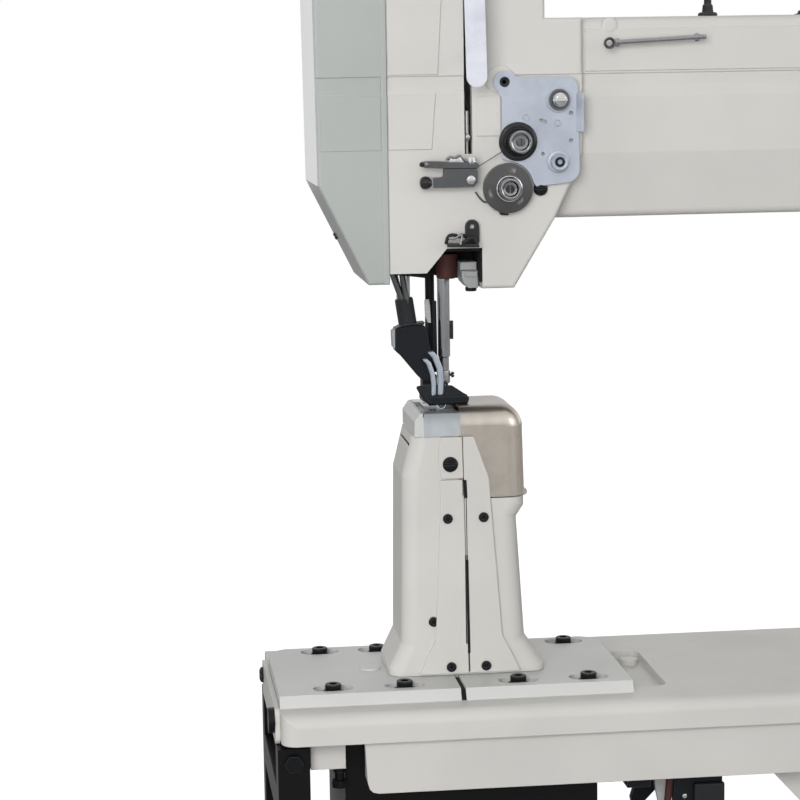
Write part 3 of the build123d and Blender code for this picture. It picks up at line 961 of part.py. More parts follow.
with BuildPart() as crank_disc:
    rod_x(DISC_X[0], DISC_X[1], 0, SHAFT_Z, DISC_RADIUS)
    rod_x(DISC_X[0] + 5, DISC_X[1], 0, SHAFT_Z, SHAFT_RADIUS + GRIP, mode=Mode.SUBTRACT)
    # the disc is cut away on the crank's side, so the far side balances the link
    box_between(DISC_X[0] + 4, DISC_X[1] + 1, -DISC_RADIUS, DISC_RADIUS, SHAFT_Z - DISC_RADIUS - 1,
                SHAFT_Z - 14, mode=Mode.SUBTRACT)
    rod_x(LINK_X[1] + 0.4, DISC_X[0], 0, SHAFT_Z - CRANK_RADIUS, 5)
publish(crank_disc, "crank_disc")

with BuildPart() as main_shaft:
    rod_x(DISC_X[0] + 5.2, HANDWHEEL_RIGHT - 4, 0, SHAFT_Z, SHAFT_RADIUS)
    for collar_x in (BUSH_WALL_X[1] + BUSH_FLANGE + SEAT, ARM_CAVITY[1] - 4 - BUSH_FLANGE - SEAT):
        rod_x(collar_x, collar_x + 4, 0, SHAFT_Z, 13)
    pulley(SHAFT_Z)
publish(main_shaft, "main_shaft")

WHEEL_RIM_DEPTH = 14.0
WHEEL_HUB = 20.0
WHEEL_NUT = 12.0
WHEEL_NUT_LENGTH = 6.0
WHEEL_HOLES = 5
BED_BUSH = 8.0                # length of the hook shaft's lower bush
with BuildPart() as handwheel:
    rod_x(HANDWHEEL_LEFT, HANDWHEEL_RIGHT - WHEEL_NUT_LENGTH, 0, SHAFT_Z, WHEEL_HUB)
    with BuildSketch(Plane.YZ.offset(HANDWHEEL_LEFT + 4)) as rim:
        with Locations((0, SHAFT_Z)):
            Circle(HANDWHEEL_RADIUS)
            Circle(HANDWHEEL_RADIUS - WHEEL_RIM_DEPTH, mode=Mode.SUBTRACT)
    extrude(rim.sketch, amount=HANDWHEEL_WIDTH - 8)
    rim_edges = handwheel.edges().filter_by(GeomType.CIRCLE).sort_by(lambda e: e.radius)[-2:]
    fillet(rim_edges, 6)
    with BuildSketch(Plane.YZ.offset(HANDWHEEL_LEFT + 10)) as web:
        with Locations((0, SHAFT_Z)):
            Circle(HANDWHEEL_RADIUS - WHEEL_RIM_DEPTH + 1)
            with PolarLocations((HANDWHEEL_RADIUS - WHEEL_RIM_DEPTH + WHEEL_HUB) / 2, WHEEL_HOLES):
                Circle((HANDWHEEL_RADIUS - WHEEL_RIM_DEPTH - WHEEL_HUB) * 0.3, mode=Mode.SUBTRACT)
    extrude(web.sketch, amount=8)
    rod_x(HANDWHEEL_LEFT, HANDWHEEL_RIGHT, 0, SHAFT_Z, SHAFT_RADIUS + GRIP, mode=Mode.SUBTRACT)
    rod_x(HANDWHEEL_RIGHT - WHEEL_NUT_LENGTH, HANDWHEEL_RIGHT, 0, SHAFT_Z, WHEEL_NUT)
    rod_x(HANDWHEEL_RIGHT - WHEEL_NUT_LENGTH, HANDWHEEL_RIGHT - 3.9, 0, SHAFT_Z, SHAFT_RADIUS + GRIP,
          mode=Mode.SUBTRACT)
publish(handwheel, "handwheel")

with BuildPart() as shaft_bushes:
    for low_x, high_x, flange_x in ((BUSH_WALL_X[0], BUSH_WALL_X[1], BUSH_WALL_X[1]),
                                    (ARM_CAVITY[1], PILLAR_RIGHT, ARM_CAVITY[1] - BUSH_FLANGE)):
        rod_x(low_x, high_x, 0, SHAFT_Z, BUSH_RADIUS)
        rod_x(flange_x, flange_x + BUSH_FLANGE, 0, SHAFT_Z, BUSH_RADIUS + 3)
        rod_x(low_x - 2, high_x + 2, 0, SHAFT_Z, SHAFT_RADIUS + FIT, mode=Mode.SUBTRACT)
    for low_z, high_z in ((0, BED_BUSH), (POST_DECK_Z[0] - 8, POST_DECK_Z[1])):
        rod_z(HOOK_X, 0, low_z, high_z, HOOK_SHAFT_RADIUS + BUSH_WALL)
        rod_z(HOOK_X, 0, low_z, high_z, HOOK_SHAFT_RADIUS + FIT, mode=Mode.SUBTRACT)
    rod_z(PRESSER_X, 0, HEAD_BOTTOM, HEAD_FLOOR + 3, PRESSER_BUSH)
    rod_z(PRESSER_X, 0, HEAD_BOTTOM, HEAD_FLOOR + 3, PRESSER_RADIUS + FIT, mode=Mode.SUBTRACT)
publish(shaft_bushes, "shaft_bushes")

# ==================================================================== needle bar
NEEDLE_BAR_RADIUS = 4.0
NEEDLE_BAR_TIP_RADIUS = 2.8
NEEDLE_BAR_STEP = POST_HEIGHT + 33.0
CLAMP_Z = (POST_HEIGHT + 15.4, POST_HEIGHT + 24.6)
CLAMP_SCREW_Z = CLAMP_Z[0] + 5.2
NEEDLE_BAR_TOP = HEAD_TOP - 50.0
HOOK_Z = (POST_HEIGHT + 43.0, POST_HEIGHT + 55.6)   # thread hook on the bar
FRAME_BOSS = 7.6
FRAME_BOSS_Z = ((HEAD_BOTTOM - 1.1, HEAD_BOTTOM + 14.5), (HEAD_TOP - 72.0, HEAD_TOP - 56.0))
FRAME_WEB_X = (-17.0, -11.0)
INNER_BAR = (-8.6, 11.0)      # bar of the inner foot
INNER_BAR_RADIUS = 3.0
FRAME_HALF = 6.0
LINK_PIN_Z = HEAD_BOTTOM + 37.5
LINK_CLAMP = 8.0              # half the height of the clamp on the bar
LINK_LENGTH = SHAFT_Z - CRANK_RADIUS - LINK_PIN_Z

with BuildPart() as needle_bar_frame:
    for low_z, high_z in FRAME_BOSS_Z:
        rod_z(NEEDLE_X, 0, low_z, high_z, FRAME_BOSS)
        box_between(FRAME_WEB_X[0], NEEDLE_X, -FRAME_HALF, FRAME_HALF, low_z, high_z)
        box_between(INNER_BAR[0] - 5, INNER_BAR[0] + 5, 0, INNER_BAR[1] + 5, low_z, high_z)
    box_between(FRAME_WEB_X[0], FRAME_WEB_X[1], -FRAME_HALF, FRAME_HALF, FRAME_BOSS_Z[0][0], PIVOT_Z + 6)
    rod_x(FRAME_WEB_X[0], FRAME_WEB_X[1], 0, PIVOT_Z, 8)
    rod_x(FRAME_WEB_X[0], FRAME_WEB_X[1], 0, PIVOT_Z, PIVOT_RADIUS + FIT, mode=Mode.SUBTRACT)
    for low_z, high_z in FRAME_BOSS_Z:
        rod_z(NEEDLE_X, 0, low_z, high_z, NEEDLE_BAR_RADIUS + FIT, mode=Mode.SUBTRACT)
        rod_z(*INNER_BAR, low_z, high_z, INNER_BAR_RADIUS + FIT, mode=Mode.SUBTRACT)
publish(needle_bar_frame, "needle_bar_frame")

with BuildPart() as pivot_pins:
    rod_x(PIVOT_LUG_X[0], FRAME_WEB_X[1], 0, PIVOT_Z, PIVOT_RADIUS)
    rod_x(FRAME_WEB_X[1] + SEAT, FRAME_WEB_X[1] + 3, 0, PIVOT_Z, PIVOT_RADIUS + 2)
    rod_x(FRAME_WEB_X[1], FRAME_WEB_X[1] + 3, 0, PIVOT_Z, PIVOT_RADIUS)
    rod_x(SLOT_X[0] - 1.5, BUSH_WALL_X[1], TAKE_UP_Y, TAKE_UP_Z, TAKE_UP_PIN)
publish(pivot_pins, "pivot_pins")

with BuildPart() as needle_bar:
    rod_z(NEEDLE_X, 0, NEEDLE_BAR_STEP, NEEDLE_BAR_TOP, NEEDLE_BAR_RADIUS)
    chamfer(needle_bar.edges().group_by(Axis.Z)[0], 0.6)
    rod_z(NEEDLE_X, 0, CLAMP_Z[1], NEEDLE_BAR_STEP, NEEDLE_BAR_TIP_RADIUS)
    rod_z(NEEDLE_X, 0, CLAMP_Z[0], CLAMP_Z[1], NEEDLE_BAR_TIP_RADIUS + 0.3)
    rod_z(NEEDLE_X, 0, CLAMP_Z[0], CLAMP_Z[0] + 8, 1.05, mode=Mode.SUBTRACT)
    # clamp screw with its small head
    clamp_side = NEEDLE_X + NEEDLE_BAR_TIP_RADIUS
    rod_x(clamp_side, clamp_side + 2, 0, CLAMP_SCREW_Z, 0.9)
    rod_x(clamp_side + 1.9, clamp_side + 3.5, 0, CLAMP_SCREW_Z, 2.2)
    # thread hook on the bar's right side
    bar_side = NEEDLE_X + NEEDLE_BAR_RADIUS
    rod_x(NEEDLE_X, bar_side + 1, 0, HOOK_Z[1] - 2.6, 1.2)
    box_between(bar_side + 0.4, bar_side + 1.6, -1.5, 1.5, *HOOK_Z)
publish(needle_bar, "needle_bar")

NEEDLE_TIP_Z = POST_HEIGHT - 9.0
NEEDLE_POINT = 4.0            # length of the needle's point
NEEDLE_RADIUS = 0.75
NEEDLE_SHANK_RADIUS = 1.0
with BuildPart() as needle:
    rod_z(NEEDLE_X, 0, NEEDLE_TIP_Z + NEEDLE_POINT, CLAMP_Z[0], NEEDLE_RADIUS)
    rod_z(NEEDLE_X, 0, CLAMP_Z[0] - 2, CLAMP_Z[0] + 7.9, NEEDLE_SHANK_RADIUS)
    with Locations((NEEDLE_X, 0, NEEDLE_TIP_Z + NEEDLE_POINT / 2)):
        Cone(0.1, NEEDLE_RADIUS, NEEDLE_POINT)
publish(needle, "needle")

with BuildPart() as needle_bar_link:
    # clamp on the needle bar, its stud, and the link that rises to the crank
    rod_z(NEEDLE_X, 0, LINK_PIN_Z - LINK_CLAMP, LINK_PIN_Z + LINK_CLAMP, NEEDLE_BAR_RADIUS + 4.5)
    box_between(NEEDLE_X, NEEDLE_X + 10, -5, 5, LINK_PIN_Z - LINK_CLAMP, LINK_PIN_Z + LINK_CLAMP)
    rod_z(NEEDLE_X, 0, LINK_PIN_Z - LINK_CLAMP, LINK_PIN_Z + LINK_CLAMP, NEEDLE_BAR_RADIUS + GRIP,
          mode=Mode.SUBTRACT)
    rod_x(NEEDLE_X + 8, LINK_X[1], 0, LINK_PIN_Z, 4)
    rod_x(LINK_X[0], LINK_X[1], 0, LINK_PIN_Z, 8)
    rod_x(LINK_X[0], LINK_X[1], 0, LINK_PIN_Z + LINK_LENGTH, 9)
    box_between(LINK_X[0] + 1, LINK_X[1] - 1, -4, 4, LINK_PIN_Z, LINK_PIN_Z + LINK_LENGTH)
publish(needle_bar_link, "needle_bar_link")

# ------------------------------------------------------------- take-up
TAKE_UP_THICKNESS = 2.4
TAKE_UP_X = (SLOT_X[0] + 1.2, SLOT_X[0] + 1.2 + TAKE_UP_THICKNESS)
TAKE_UP_TIP = (HEAD_FRONT - 10.0, TAKE_UP_Z - 18.0)
TAKE_UP_EYE = 1.3
GUARD_STRIP_Y = (HEAD_FRONT - 20.0, HEAD_FRONT - 18.0)
GUARD_LOW_Z = HEAD_TOP - 85.0    # where the strip's round end begins
GUARD_HIGH_Z = HEAD_TOP - 8.0
STRIP_X = (4.0, 16.4)

with BuildPart() as take_up_lever:
    rod_x(TAKE_UP_X[0] - 0.6, TAKE_UP_X[1] + 8, TAKE_UP_Y, TAKE_UP_Z, 8)
    side_prism([(TAKE_UP_Y - 2, TAKE_UP_Z + 7.8), (TAKE_UP_Y - 2, TAKE_UP_Z - 7.8),
                (TAKE_UP_TIP[0], TAKE_UP_TIP[1] - 3), (TAKE_UP_TIP[0] - 3, TAKE_UP_TIP[1]),
                (TAKE_UP_TIP[0], TAKE_UP_TIP[1] + 3)], TAKE_UP_X[0], TAKE_UP_X[1])
    rod_x(TAKE_UP_X[0] - 1, TAKE_UP_X[1] + 9, TAKE_UP_Y, TAKE_UP_Z, TAKE_UP_PIN + FIT, mode=Mode.SUBTRACT)
    rod_x(TAKE_UP_X[0], TAKE_UP_X[1], TAKE_UP_TIP[0] + 0.5, TAKE_UP_TIP[1], TAKE_UP_EYE, mode=Mode.SUBTRACT)
publish(take_up_lever, "take_up_lever")

with BuildPart() as take_up_guard:
    # leaning strip with a round lower end, bent back to the head above the slot
    with BuildSketch(Plane.XZ.offset(-GUARD_STRIP_Y[1])) as strip:
        with BuildLine():
            Polyline((5.4, GUARD_LOW_Z), (STRIP_X[0], GUARD_HIGH_Z), (STRIP_X[1], GUARD_HIGH_Z),
                     (18.0, GUARD_LOW_Z))
            ThreePointArc((5.4, GUARD_LOW_Z), (11.7, GUARD_LOW_Z - 6.4), (18.0, GUARD_LOW_Z))
        make_face()
    extrude(strip.sketch, amount=GUARD_STRIP_Y[1] - GUARD_STRIP_Y[0])
    box_between(*STRIP_X, GUARD_STRIP_Y[0], HEAD_FRONT, SLOT_Z[1] + 2, SLOT_Z[1] + 4)
    box_between(*STRIP_X, HEAD_FRONT - 2, HEAD_FRONT, SLOT_Z[1] + 2, HEAD_TOP - 2)
publish(take_up_guard, "take_up_guard")

# ==================================================================== presser and feet
SLEEVE_TOP = (-25.6, POST_HEIGHT + 69.0)
SLEEVE_FOOT = (-23.4, POST_HEIGHT + 51.0)
SLEEVE_RADIUS = 5.4
PRESSER_TOP = HEAD_TOP - 24.0
BLOCK_Y = (-8.0, 4.5)         # short at the back, where the inner bar rocks
SOLE_Z = COVER_Z[1] + 0.4     # the foot rests lifted, just clear of the hook cover
FOOT_SLOT = (-6.6, 4.2, -11.8, 10.6)
FOOT_ARM = 2.6                # thickness of the two steel arms

with BuildPart() as presser_bar:
    rod_z(PRESSER_X, 0, SLEEVE_TOP[1], PRESSER_TOP, PRESSER_RADIUS)
    # the second, slanted rod beside it
    with BuildSketch(Plane(origin=(-27.6, 8, SLEEVE_TOP[1] - 0.5), z_dir=(-6.0, 0, 26.0))) as slanted:
        Circle(1.9)
    extrude(slanted.sketch, amount=HEAD_FLOOR - SLEEVE_TOP[1] - 5)
    box_between(-30.4, PRESSER_X, 0, 9.8, SLEEVE_TOP[1], SLEEVE_TOP[1] + 3)
publish(presser_bar, "presser_bar")

with BuildPart() as presser_foot_block:
    lean = Plane(origin=(SLEEVE_FOOT[0], 0, SLEEVE_FOOT[1] - 3),
                 z_dir=(SLEEVE_TOP[0] - SLEEVE_FOOT[0], 0, SLEEVE_TOP[1] - SLEEVE_FOOT[1]))
    with BuildSketch(lean) as sleeve:
        Circle(SLEEVE_RADIUS)
    extrude(sleeve.sketch, amount=19.9)
    front_prism(above(POST_HEIGHT, [(-34, 52), (-34, 36.6), (-30, 33), (-17, 18), (-12.2, 16), (-9.5, 24),
                                    (-7.6, 33), (-10.4, 46), (-13, 53.5)]), *BLOCK_Y)
    block_edges = presser_foot_block.edges().filter_by(
        lambda e: abs(e.center().Y - BLOCK_Y[0]) < 0.01 and e.center().X > -14)
    fillet(block_edges, 2)
publish(presser_foot_block, "presser_foot_block")

with BuildPart() as presser_foot_arms:
    # two bent steel arms carry the foot plate
    arm_y = BLOCK_Y[0] - FOOT_ARM
    for start_x, start_z, foot_x in ((-14.6, POST_HEIGHT + 31.5, -8.6), (-10.6, POST_HEIGHT + 35.0, -4.0)):
        front_prism([(start_x, start_z), (start_x + 3.2, start_z), (start_x + 6.4, start_z - 9),
                     (foot_x + 2.6, SOLE_Z + 6.6), (foot_x - 0.6, SOLE_Z + 6.6),
                     (start_x + 3.2, start_z - 9)],
                    arm_y, arm_y + FOOT_ARM)
publish(presser_foot_arms, "presser_foot_arms")

FOOT_PLAN = [(-13.5, -15), (11.5, -15), (13.2, -6), (9.5, 12), (-19.5, 12)]
with BuildPart() as presser_foot:
    side_prism([(-15, SOLE_Z + 3.4), (-6, SOLE_Z), (12, SOLE_Z), (12, SOLE_Z + 8.5), (-5, SOLE_Z + 6.2),
                (-15, SOLE_Z + 6.8)], -20, 14)
    plan_prism(FOOT_PLAN, SOLE_Z - 1, SOLE_Z + 12, mode=Mode.INTERSECT)
    box_between(FOOT_SLOT[0], FOOT_SLOT[1], FOOT_SLOT[2], FOOT_SLOT[3], SOLE_Z - 1, SOLE_Z + 12,
                mode=Mode.SUBTRACT)
    box_between(-16, -10.5, -4, 6, SOLE_Z + 5, POST_HEIGHT + 15.8)
publish(presser_foot, "presser_foot")

INNER_SOLE = (-4.2, 1.8, -8.0, 7.0)
INNER_SHANK = 2.2
INNER_HEEL_Z = (POST_HEIGHT + 21.0, POST_HEIGHT + 30.0)
with BuildPart() as vibrating_foot:
    box_between(*INNER_SOLE, SOLE_Z, SOLE_Z + 2.4)
    shank_y = INNER_SOLE[3] - INNER_SHANK
    box_between(INNER_SOLE[0], INNER_SOLE[1], shank_y, INNER_SOLE[3], SOLE_Z, INNER_HEEL_Z[1] - 2)
    box_between(INNER_SOLE[0], INNER_SOLE[1], shank_y, INNER_BAR[1] + 3, *INNER_HEEL_Z)
    box_between(INNER_BAR[0] - INNER_BAR_RADIUS, INNER_SOLE[0], INNER_BAR[1] - 3, INNER_BAR[1] + 3,
                *INNER_HEEL_Z)
    rod_z(*INNER_BAR, INNER_HEEL_Z[0] + 1, HEAD_TOP - 44, INNER_BAR_RADIUS)
    rod_z(NEEDLE_X, 0, SOLE_Z, SOLE_Z + 2.4, NEEDLE_HOLE, mode=Mode.SUBTRACT)
publish(vibrating_foot, "vibrating_foot")

# ==================================================================== tensions and thread guides
TENSION_Y = (HEAD_FRONT - 3.0, HEAD_FRONT)
MAIN_DISC_RADIUS = 15.5
MAIN_HUB_RADIUS = 7.0
PRETENSION_RADIUS = 9.0
UPPER_DISC_RADIUS = 12.0
DISC_GAP = 0.6
PRETENSION = (64.6, HEAD_BOTTOM + 105.6)
EYELET_POST = (64.3, HEAD_BOTTOM + 67.5)
MAIN_TENSION = (32.5, HEAD_BOTTOM + 51.8)
UPPER_DISC = (40.5, MAIN_TENSION[1] + MAIN_DISC_RADIUS + UPPER_DISC_RADIUS + 1.0)
PLATE_LOBE = (31.3, HEAD_BOTTOM + 116.7)
REST_STUD = (MAIN_TENSION[0] + MAIN_DISC_RADIUS + 5.4, HEAD_BOTTOM + 47.5)
NUT_RADIUS = 7.3
TENSION_STUD = 3.0

with BuildPart() as tension_plate:
    front_prism(above(HEAD_BOTTOM, [(31, 123.5), (34, 120.7), (70.4, 119.5), (77.6, 112.5), (77.6, 69.5),
                                    (76.9, 63.1), (67.2, 53.9), (50.4, 52.5), (47.5, 65.5), (30.2, 68.7),
                                    (29.3, 99.5), (29.3, 111.5)]), *TENSION_Y)
    rod_y(PLATE_LOBE[0], TENSION_Y[0], TENSION_Y[1], PLATE_LOBE[1], 7)
    # thread guide tab bent forward from the plate's right edge
    box_between(75.6, 77.6, TENSION_Y[0] - 5, TENSION_Y[0], HEAD_BOTTOM + 84.2, HEAD_BOTTOM + 107.5)
    rod_y(PLATE_LOBE[0] - 0.7, TENSION_Y[0], TENSION_Y[1], PLATE_LOBE[1] + 0.4, 3, mode=Mode.SUBTRACT)
    for hole_x, hole_z, hole_r in above(HEAD_BOTTOM, [(44.2, 94.9, 1.6), (63.8, 91.6, 1.6), (72.3, 97.3, 1.8),
                                                      (72.2, 77.5, 1.8), (54.5, 72.5, 1.8)]):
        rod_y(hole_x, TENSION_Y[0], TENSION_Y[1], hole_z, hole_r, mode=Mode.SUBTRACT)
    box_between(51.5, 58, *TENSION_Y, HEAD_BOTTOM + 91.1, HEAD_BOTTOM + 93.7, mode=Mode.SUBTRACT)
    # the plate's lower corner gives way to the main discs
    rod_y(MAIN_TENSION[0], *TENSION_Y, MAIN_TENSION[1], MAIN_DISC_RADIUS + DISC_GAP, mode=Mode.SUBTRACT)
publish(tension_plate, "tension_plate")

with BuildPart() as tension_studs:
    # studs of the three tensions, the fixed black disc and the thread eyelet
    rod_y(PRETENSION[0], TENSION_Y[0] - 8, TENSION_Y[0], PRETENSION[1], TENSION_STUD)
    rod_y(UPPER_DISC[0], TENSION_Y[0] - 10, TENSION_Y[0], UPPER_DISC[1], TENSION_STUD)
    rod_y(MAIN_TENSION[0], HEAD_FRONT - 14, HEAD_FRONT, MAIN_TENSION[1], TENSION_STUD)
    rod_y(EYELET_POST[0], TENSION_Y[0] - 9, TENSION_Y[0], EYELET_POST[1], 7)
    for disc_y in (TENSION_Y[0] - 4, TENSION_Y[0] - 6):
        rod_y(UPPER_DISC[0], disc_y, disc_y + 1.6, UPPER_DISC[1], UPPER_DISC_RADIUS)
    rod_y(UPPER_DISC[0], TENSION_Y[0] - 5, TENSION_Y[0], UPPER_DISC[1], 5)
    rod_y(REST_STUD[0], HEAD_FRONT - 5, HEAD_FRONT, REST_STUD[1], 4.5)
publish(tension_studs, "tension_studs")

with BuildPart() as pretension_knob:
    rod_y(PRETENSION[0], TENSION_Y[0] - 12, TENSION_Y[0] - 3, PRETENSION[1], PRETENSION_RADIUS)
    chamfer(pretension_knob.edges().filter_by(GeomType.CIRCLE), 0.8)
    rod_y(PRETENSION[0], TENSION_Y[0] - 3, TENSION_Y[0] - 0.4, PRETENSION[1], 5.5)
    rod_y(PRETENSION[0], TENSION_Y[0] - 8.4, TENSION_Y[0], PRETENSION[1], TENSION_STUD + FIT,
          mode=Mode.SUBTRACT)
    box_between(PRETENSION[0] - PRETENSION_RADIUS, PRETENSION[0] + PRETENSION_RADIUS, TENSION_Y[0] - 12,
                TENSION_Y[0] - 10, PRETENSION[1] - 1.2, PRETENSION[1] + 1.2, mode=Mode.SUBTRACT)
publish(pretension_knob, "pretension_knob")

with BuildPart() as tension_nut:
    rod_y(UPPER_DISC[0], TENSION_Y[0] - 14, TENSION_Y[0] - 6.4, UPPER_DISC[1], NUT_RADIUS)
    chamfer(tension_nut.edges().filter_by(GeomType.CIRCLE), 0.8)
    rod_y(UPPER_DISC[0], TENSION_Y[0] - 10.4, TENSION_Y[0], UPPER_DISC[1], TENSION_STUD + FIT,
          mode=Mode.SUBTRACT)
    box_between(UPPER_DISC[0] - NUT_RADIUS, UPPER_DISC[0] + NUT_RADIUS, TENSION_Y[0] - 14, TENSION_Y[0] - 12,
                UPPER_DISC[1] - 1, UPPER_DISC[1] + 1, mode=Mode.SUBTRACT)
publish(tension_nut, "tension_nut")

SPRING_RING_Y = (HEAD_FRONT - 2.0, HEAD_FRONT - 0.4)
with BuildPart() as main_tension:
    # two dished discs and the knurled hub that presses them
    for disc_y in (HEAD_FRONT - 4.2, HEAD_FRONT - 6.4):
        rod_y(MAIN_TENSION[0], disc_y, disc_y + 1.6, MAIN_TENSION[1], MAIN_DISC_RADIUS)
    rod_y(MAIN_TENSION[0], HEAD_FRONT - 8.4, HEAD_FRONT - 2.6, MAIN_TENSION[1], 9)
    rod_y(MAIN_TENSION[0], HEAD_FRONT - 17, HEAD_FRONT - 6, MAIN_TENSION[1], MAIN_HUB_RADIUS)
    rod_y(MAIN_TENSION[0], HEAD_FRONT - 14.4, HEAD_FRONT, MAIN_TENSION[1], TENSION_STUD + FIT,
          mode=Mode.SUBTRACT)
publish(main_tension, "main_tension")

SPRING_HOOK = (MAIN_TENSION[0] - 19.1, MAIN_TENSION[1] - 2.0)
SPRING_BEND = (MAIN_TENSION[0] - 13.2, MAIN_TENSION[1] - 8.6)   # where the wire turns up
with BuildPart() as check_spring:
    rod_y(MAIN_TENSION[0], SPRING_RING_Y[0], SPRING_RING_Y[1], MAIN_TENSION[1], 9.6)
    rod_y(MAIN_TENSION[0], SPRING_RING_Y[0], SPRING_RING_Y[1], MAIN_TENSION[1], TENSION_STUD + FIT,
          mode=Mode.SUBTRACT)
    front_prism([(MAIN_TENSION[0] - 6, MAIN_TENSION[1] - 7.6), (SPRING_BEND[0] - 0.3, SPRING_BEND[1] - 0.9),
                 (SPRING_HOOK[0] - 1, SPRING_HOOK[1]), (SPRING_HOOK[0] + 0.6, SPRING_HOOK[1] + 1.2),
                 (SPRING_BEND[0] + 0.3, SPRING_BEND[1] + 0.9),
                 (MAIN_TENSION[0] - 7.2, MAIN_TENSION[1] - 5.6)], *SPRING_RING_Y)
publish(check_spring, "check_spring")

ROD_Y = -ARM_HALF_DEPTH - 8.0
ROD_POST_X = (104.0, 150.0)
GUIDE_BLOCK_X = (-7.0, 13.4)
GUIDE_BLOCK_Z = (HEAD_BOTTOM + 53.5, HEAD_BOTTOM + 66.5)
LOWER_FINGER_Z = GUIDE_BLOCK_Z[0] + 3.0
LOWER_GUIDE_Z = (HEAD_BOTTOM + 16.5, HEAD_BOTTOM + 33.5)
ROD_START = (99.0, ARM_TOP - 17.7)
ROD_RUN = (58.8, 2.8)         # the rod's run along X and its rise
TOP_POST_X = 167.0
GUIDE_FACE = HEAD_FRONT - 7.0
FINGER_END = -22.0
with BuildPart() as thread_guides:
    box_between(*GUIDE_BLOCK_X, GUIDE_FACE, HEAD_FRONT, *GUIDE_BLOCK_Z)
    for finger_z, finger_right, finger_radius in ((GUIDE_BLOCK_Z[1] + 1.4, 11.8, 2.0),
                                                  (LOWER_FINGER_Z, 0, 1.6)):
        rod_x(FINGER_END, finger_right, GUIDE_FACE + 3, finger_z, finger_radius)
        with Locations(Location((FINGER_END, GUIDE_FACE + 3, finger_z), (0, 90, 0))):
            Sphere(finger_radius + 0.9)
    # lower guide: a bent strip with an eye
    box_between(4.7, 14.1, HEAD_FRONT - 2, HEAD_FRONT, LOWER_GUIDE_Z[0] + 1, LOWER_GUIDE_Z[1])
    box_between(-7.0, 14.1, HEAD_FRONT - 10, HEAD_FRONT, LOWER_GUIDE_Z[0], LOWER_GUIDE_Z[0] + 2)
    rod_y(9.5, HEAD_FRONT - 2, HEAD_FRONT, LOWER_GUIDE_Z[1] - 5.1, 2.2, mode=Mode.SUBTRACT)
    rod_z(-3, HEAD_FRONT - 6.5, LOWER_GUIDE_Z[0], LOWER_GUIDE_Z[0] + 2, 1.6, mode=Mode.SUBTRACT)

    # rod on the arm and post on its top
    rod_plane = Plane(origin=(ROD_START[0], ROD_Y, ROD_START[1]), z_dir=(ROD_RUN[0], 0, ROD_RUN[1]))
    with BuildSketch(rod_plane) as rod_end:
        Circle(1.5)
    extrude(rod_end.sketch, amount=58.9)
    for post_x in ROD_POST_X:
        post_z = ROD_START[1] + (post_x - ROD_START[0]) * ROD_RUN[1] / ROD_RUN[0]
        rod_y(post_x, ROD_Y, -ARM_HALF_DEPTH - PANEL_RAISE, post_z, 1.4)
    rod_y(ROD_START[0] - 2.6, ROD_Y - 1.2, ROD_Y + 1.2, ROD_START[1] - 0.2, 3.4)
    rod_y(ROD_START[0] - 2.6, ROD_Y - 1.2, ROD_Y + 1.2, ROD_START[1] - 0.2, 1.5, mode=Mode.SUBTRACT)
    rod_z(TOP_POST_X, -20, ARM_TOP, ARM_TOP + 22, 3.3)
    rod_z(TOP_POST_X, -20, ARM_TOP, ARM_TOP + 3, 6)
publish(thread_guides, "thread_guides")

# ==================================================================== hand controls and winder
CONTROL_FIT = SEAT
LIFTER_REACH = 52.0
with BuildPart() as hand_lifter:
    rod_y(LIFTER_X, HEAD_BACK - HEAD_WALL - 6, HEAD_BACK + 8, LIFTER_Z, LIFTER_SHAFT)
    rod_y(LIFTER_X, HEAD_BACK + CONTROL_FIT, HEAD_BACK + 8, LIFTER_Z, 10)
    front_prism([(LIFTER_X, LIFTER_Z + 6), (LIFTER_X, LIFTER_Z - 6), (LIFTER_X + LIFTER_REACH, LIFTER_Z - 30),
                 (LIFTER_X + LIFTER_REACH + 3, LIFTER_Z - 22)], HEAD_BACK + 3, HEAD_BACK + 8)
    rod_y(LIFTER_X + LIFTER_REACH, HEAD_BACK + 3, HEAD_BACK + 8, LIFTER_Z - 25.5, 7)
    # cam inside the head
    rod_y(LIFTER_X, HEAD_BACK - HEAD_WALL - 6, HEAD_BACK - HEAD_WALL - CONTROL_FIT, LIFTER_Z, 8)
publish(hand_lifter, "hand_lifter")

KNOB_RADIUS = 11.0
KNOB_TOP = HEAD_TOP + 14
with BuildPart() as pressure_knob:
    rod_z(PRESSER_X, 0, HEAD_TOP + CONTROL_FIT, KNOB_TOP, KNOB_RADIUS)
    chamfer(pressure_knob.edges().filter_by(GeomType.CIRCLE), 1.2)
    rod_z(PRESSER_X, 0, HEAD_TOP - HEAD_WALL + 0.2, HEAD_TOP + 1, KNOB_STEM)
    rod_z(PRESSER_X, 0, PRESSER_TOP + 10, HEAD_TOP, PRESSER_RADIUS)
publish(pressure_knob, "pressure_knob")

DIAL_RADIUS = 28.0
PILLAR_FACE = -PILLAR_HALF_DEPTH
with BuildPart() as stitch_dial:
    rod_y(DIAL_X, PILLAR_FACE - 15, PILLAR_FACE - CONTROL_FIT, DIAL_Z, DIAL_RADIUS)
    chamfer(stitch_dial.edges().filter_by(GeomType.CIRCLE), 1.5)
    rod_y(DIAL_X, PILLAR_FACE - 20, PILLAR_FACE - 15, DIAL_Z, 15)
    rod_y(DIAL_X, PILLAR_FACE - 1, PILLAR_CAVITY[2] + 10, DIAL_Z, DIAL_SHAFT)
    rod_y(DIAL_X, PILLAR_CAVITY[2] + CONTROL_FIT, PILLAR_CAVITY[2] + 8, DIAL_Z, 10)
publish(stitch_dial, "stitch_dial")

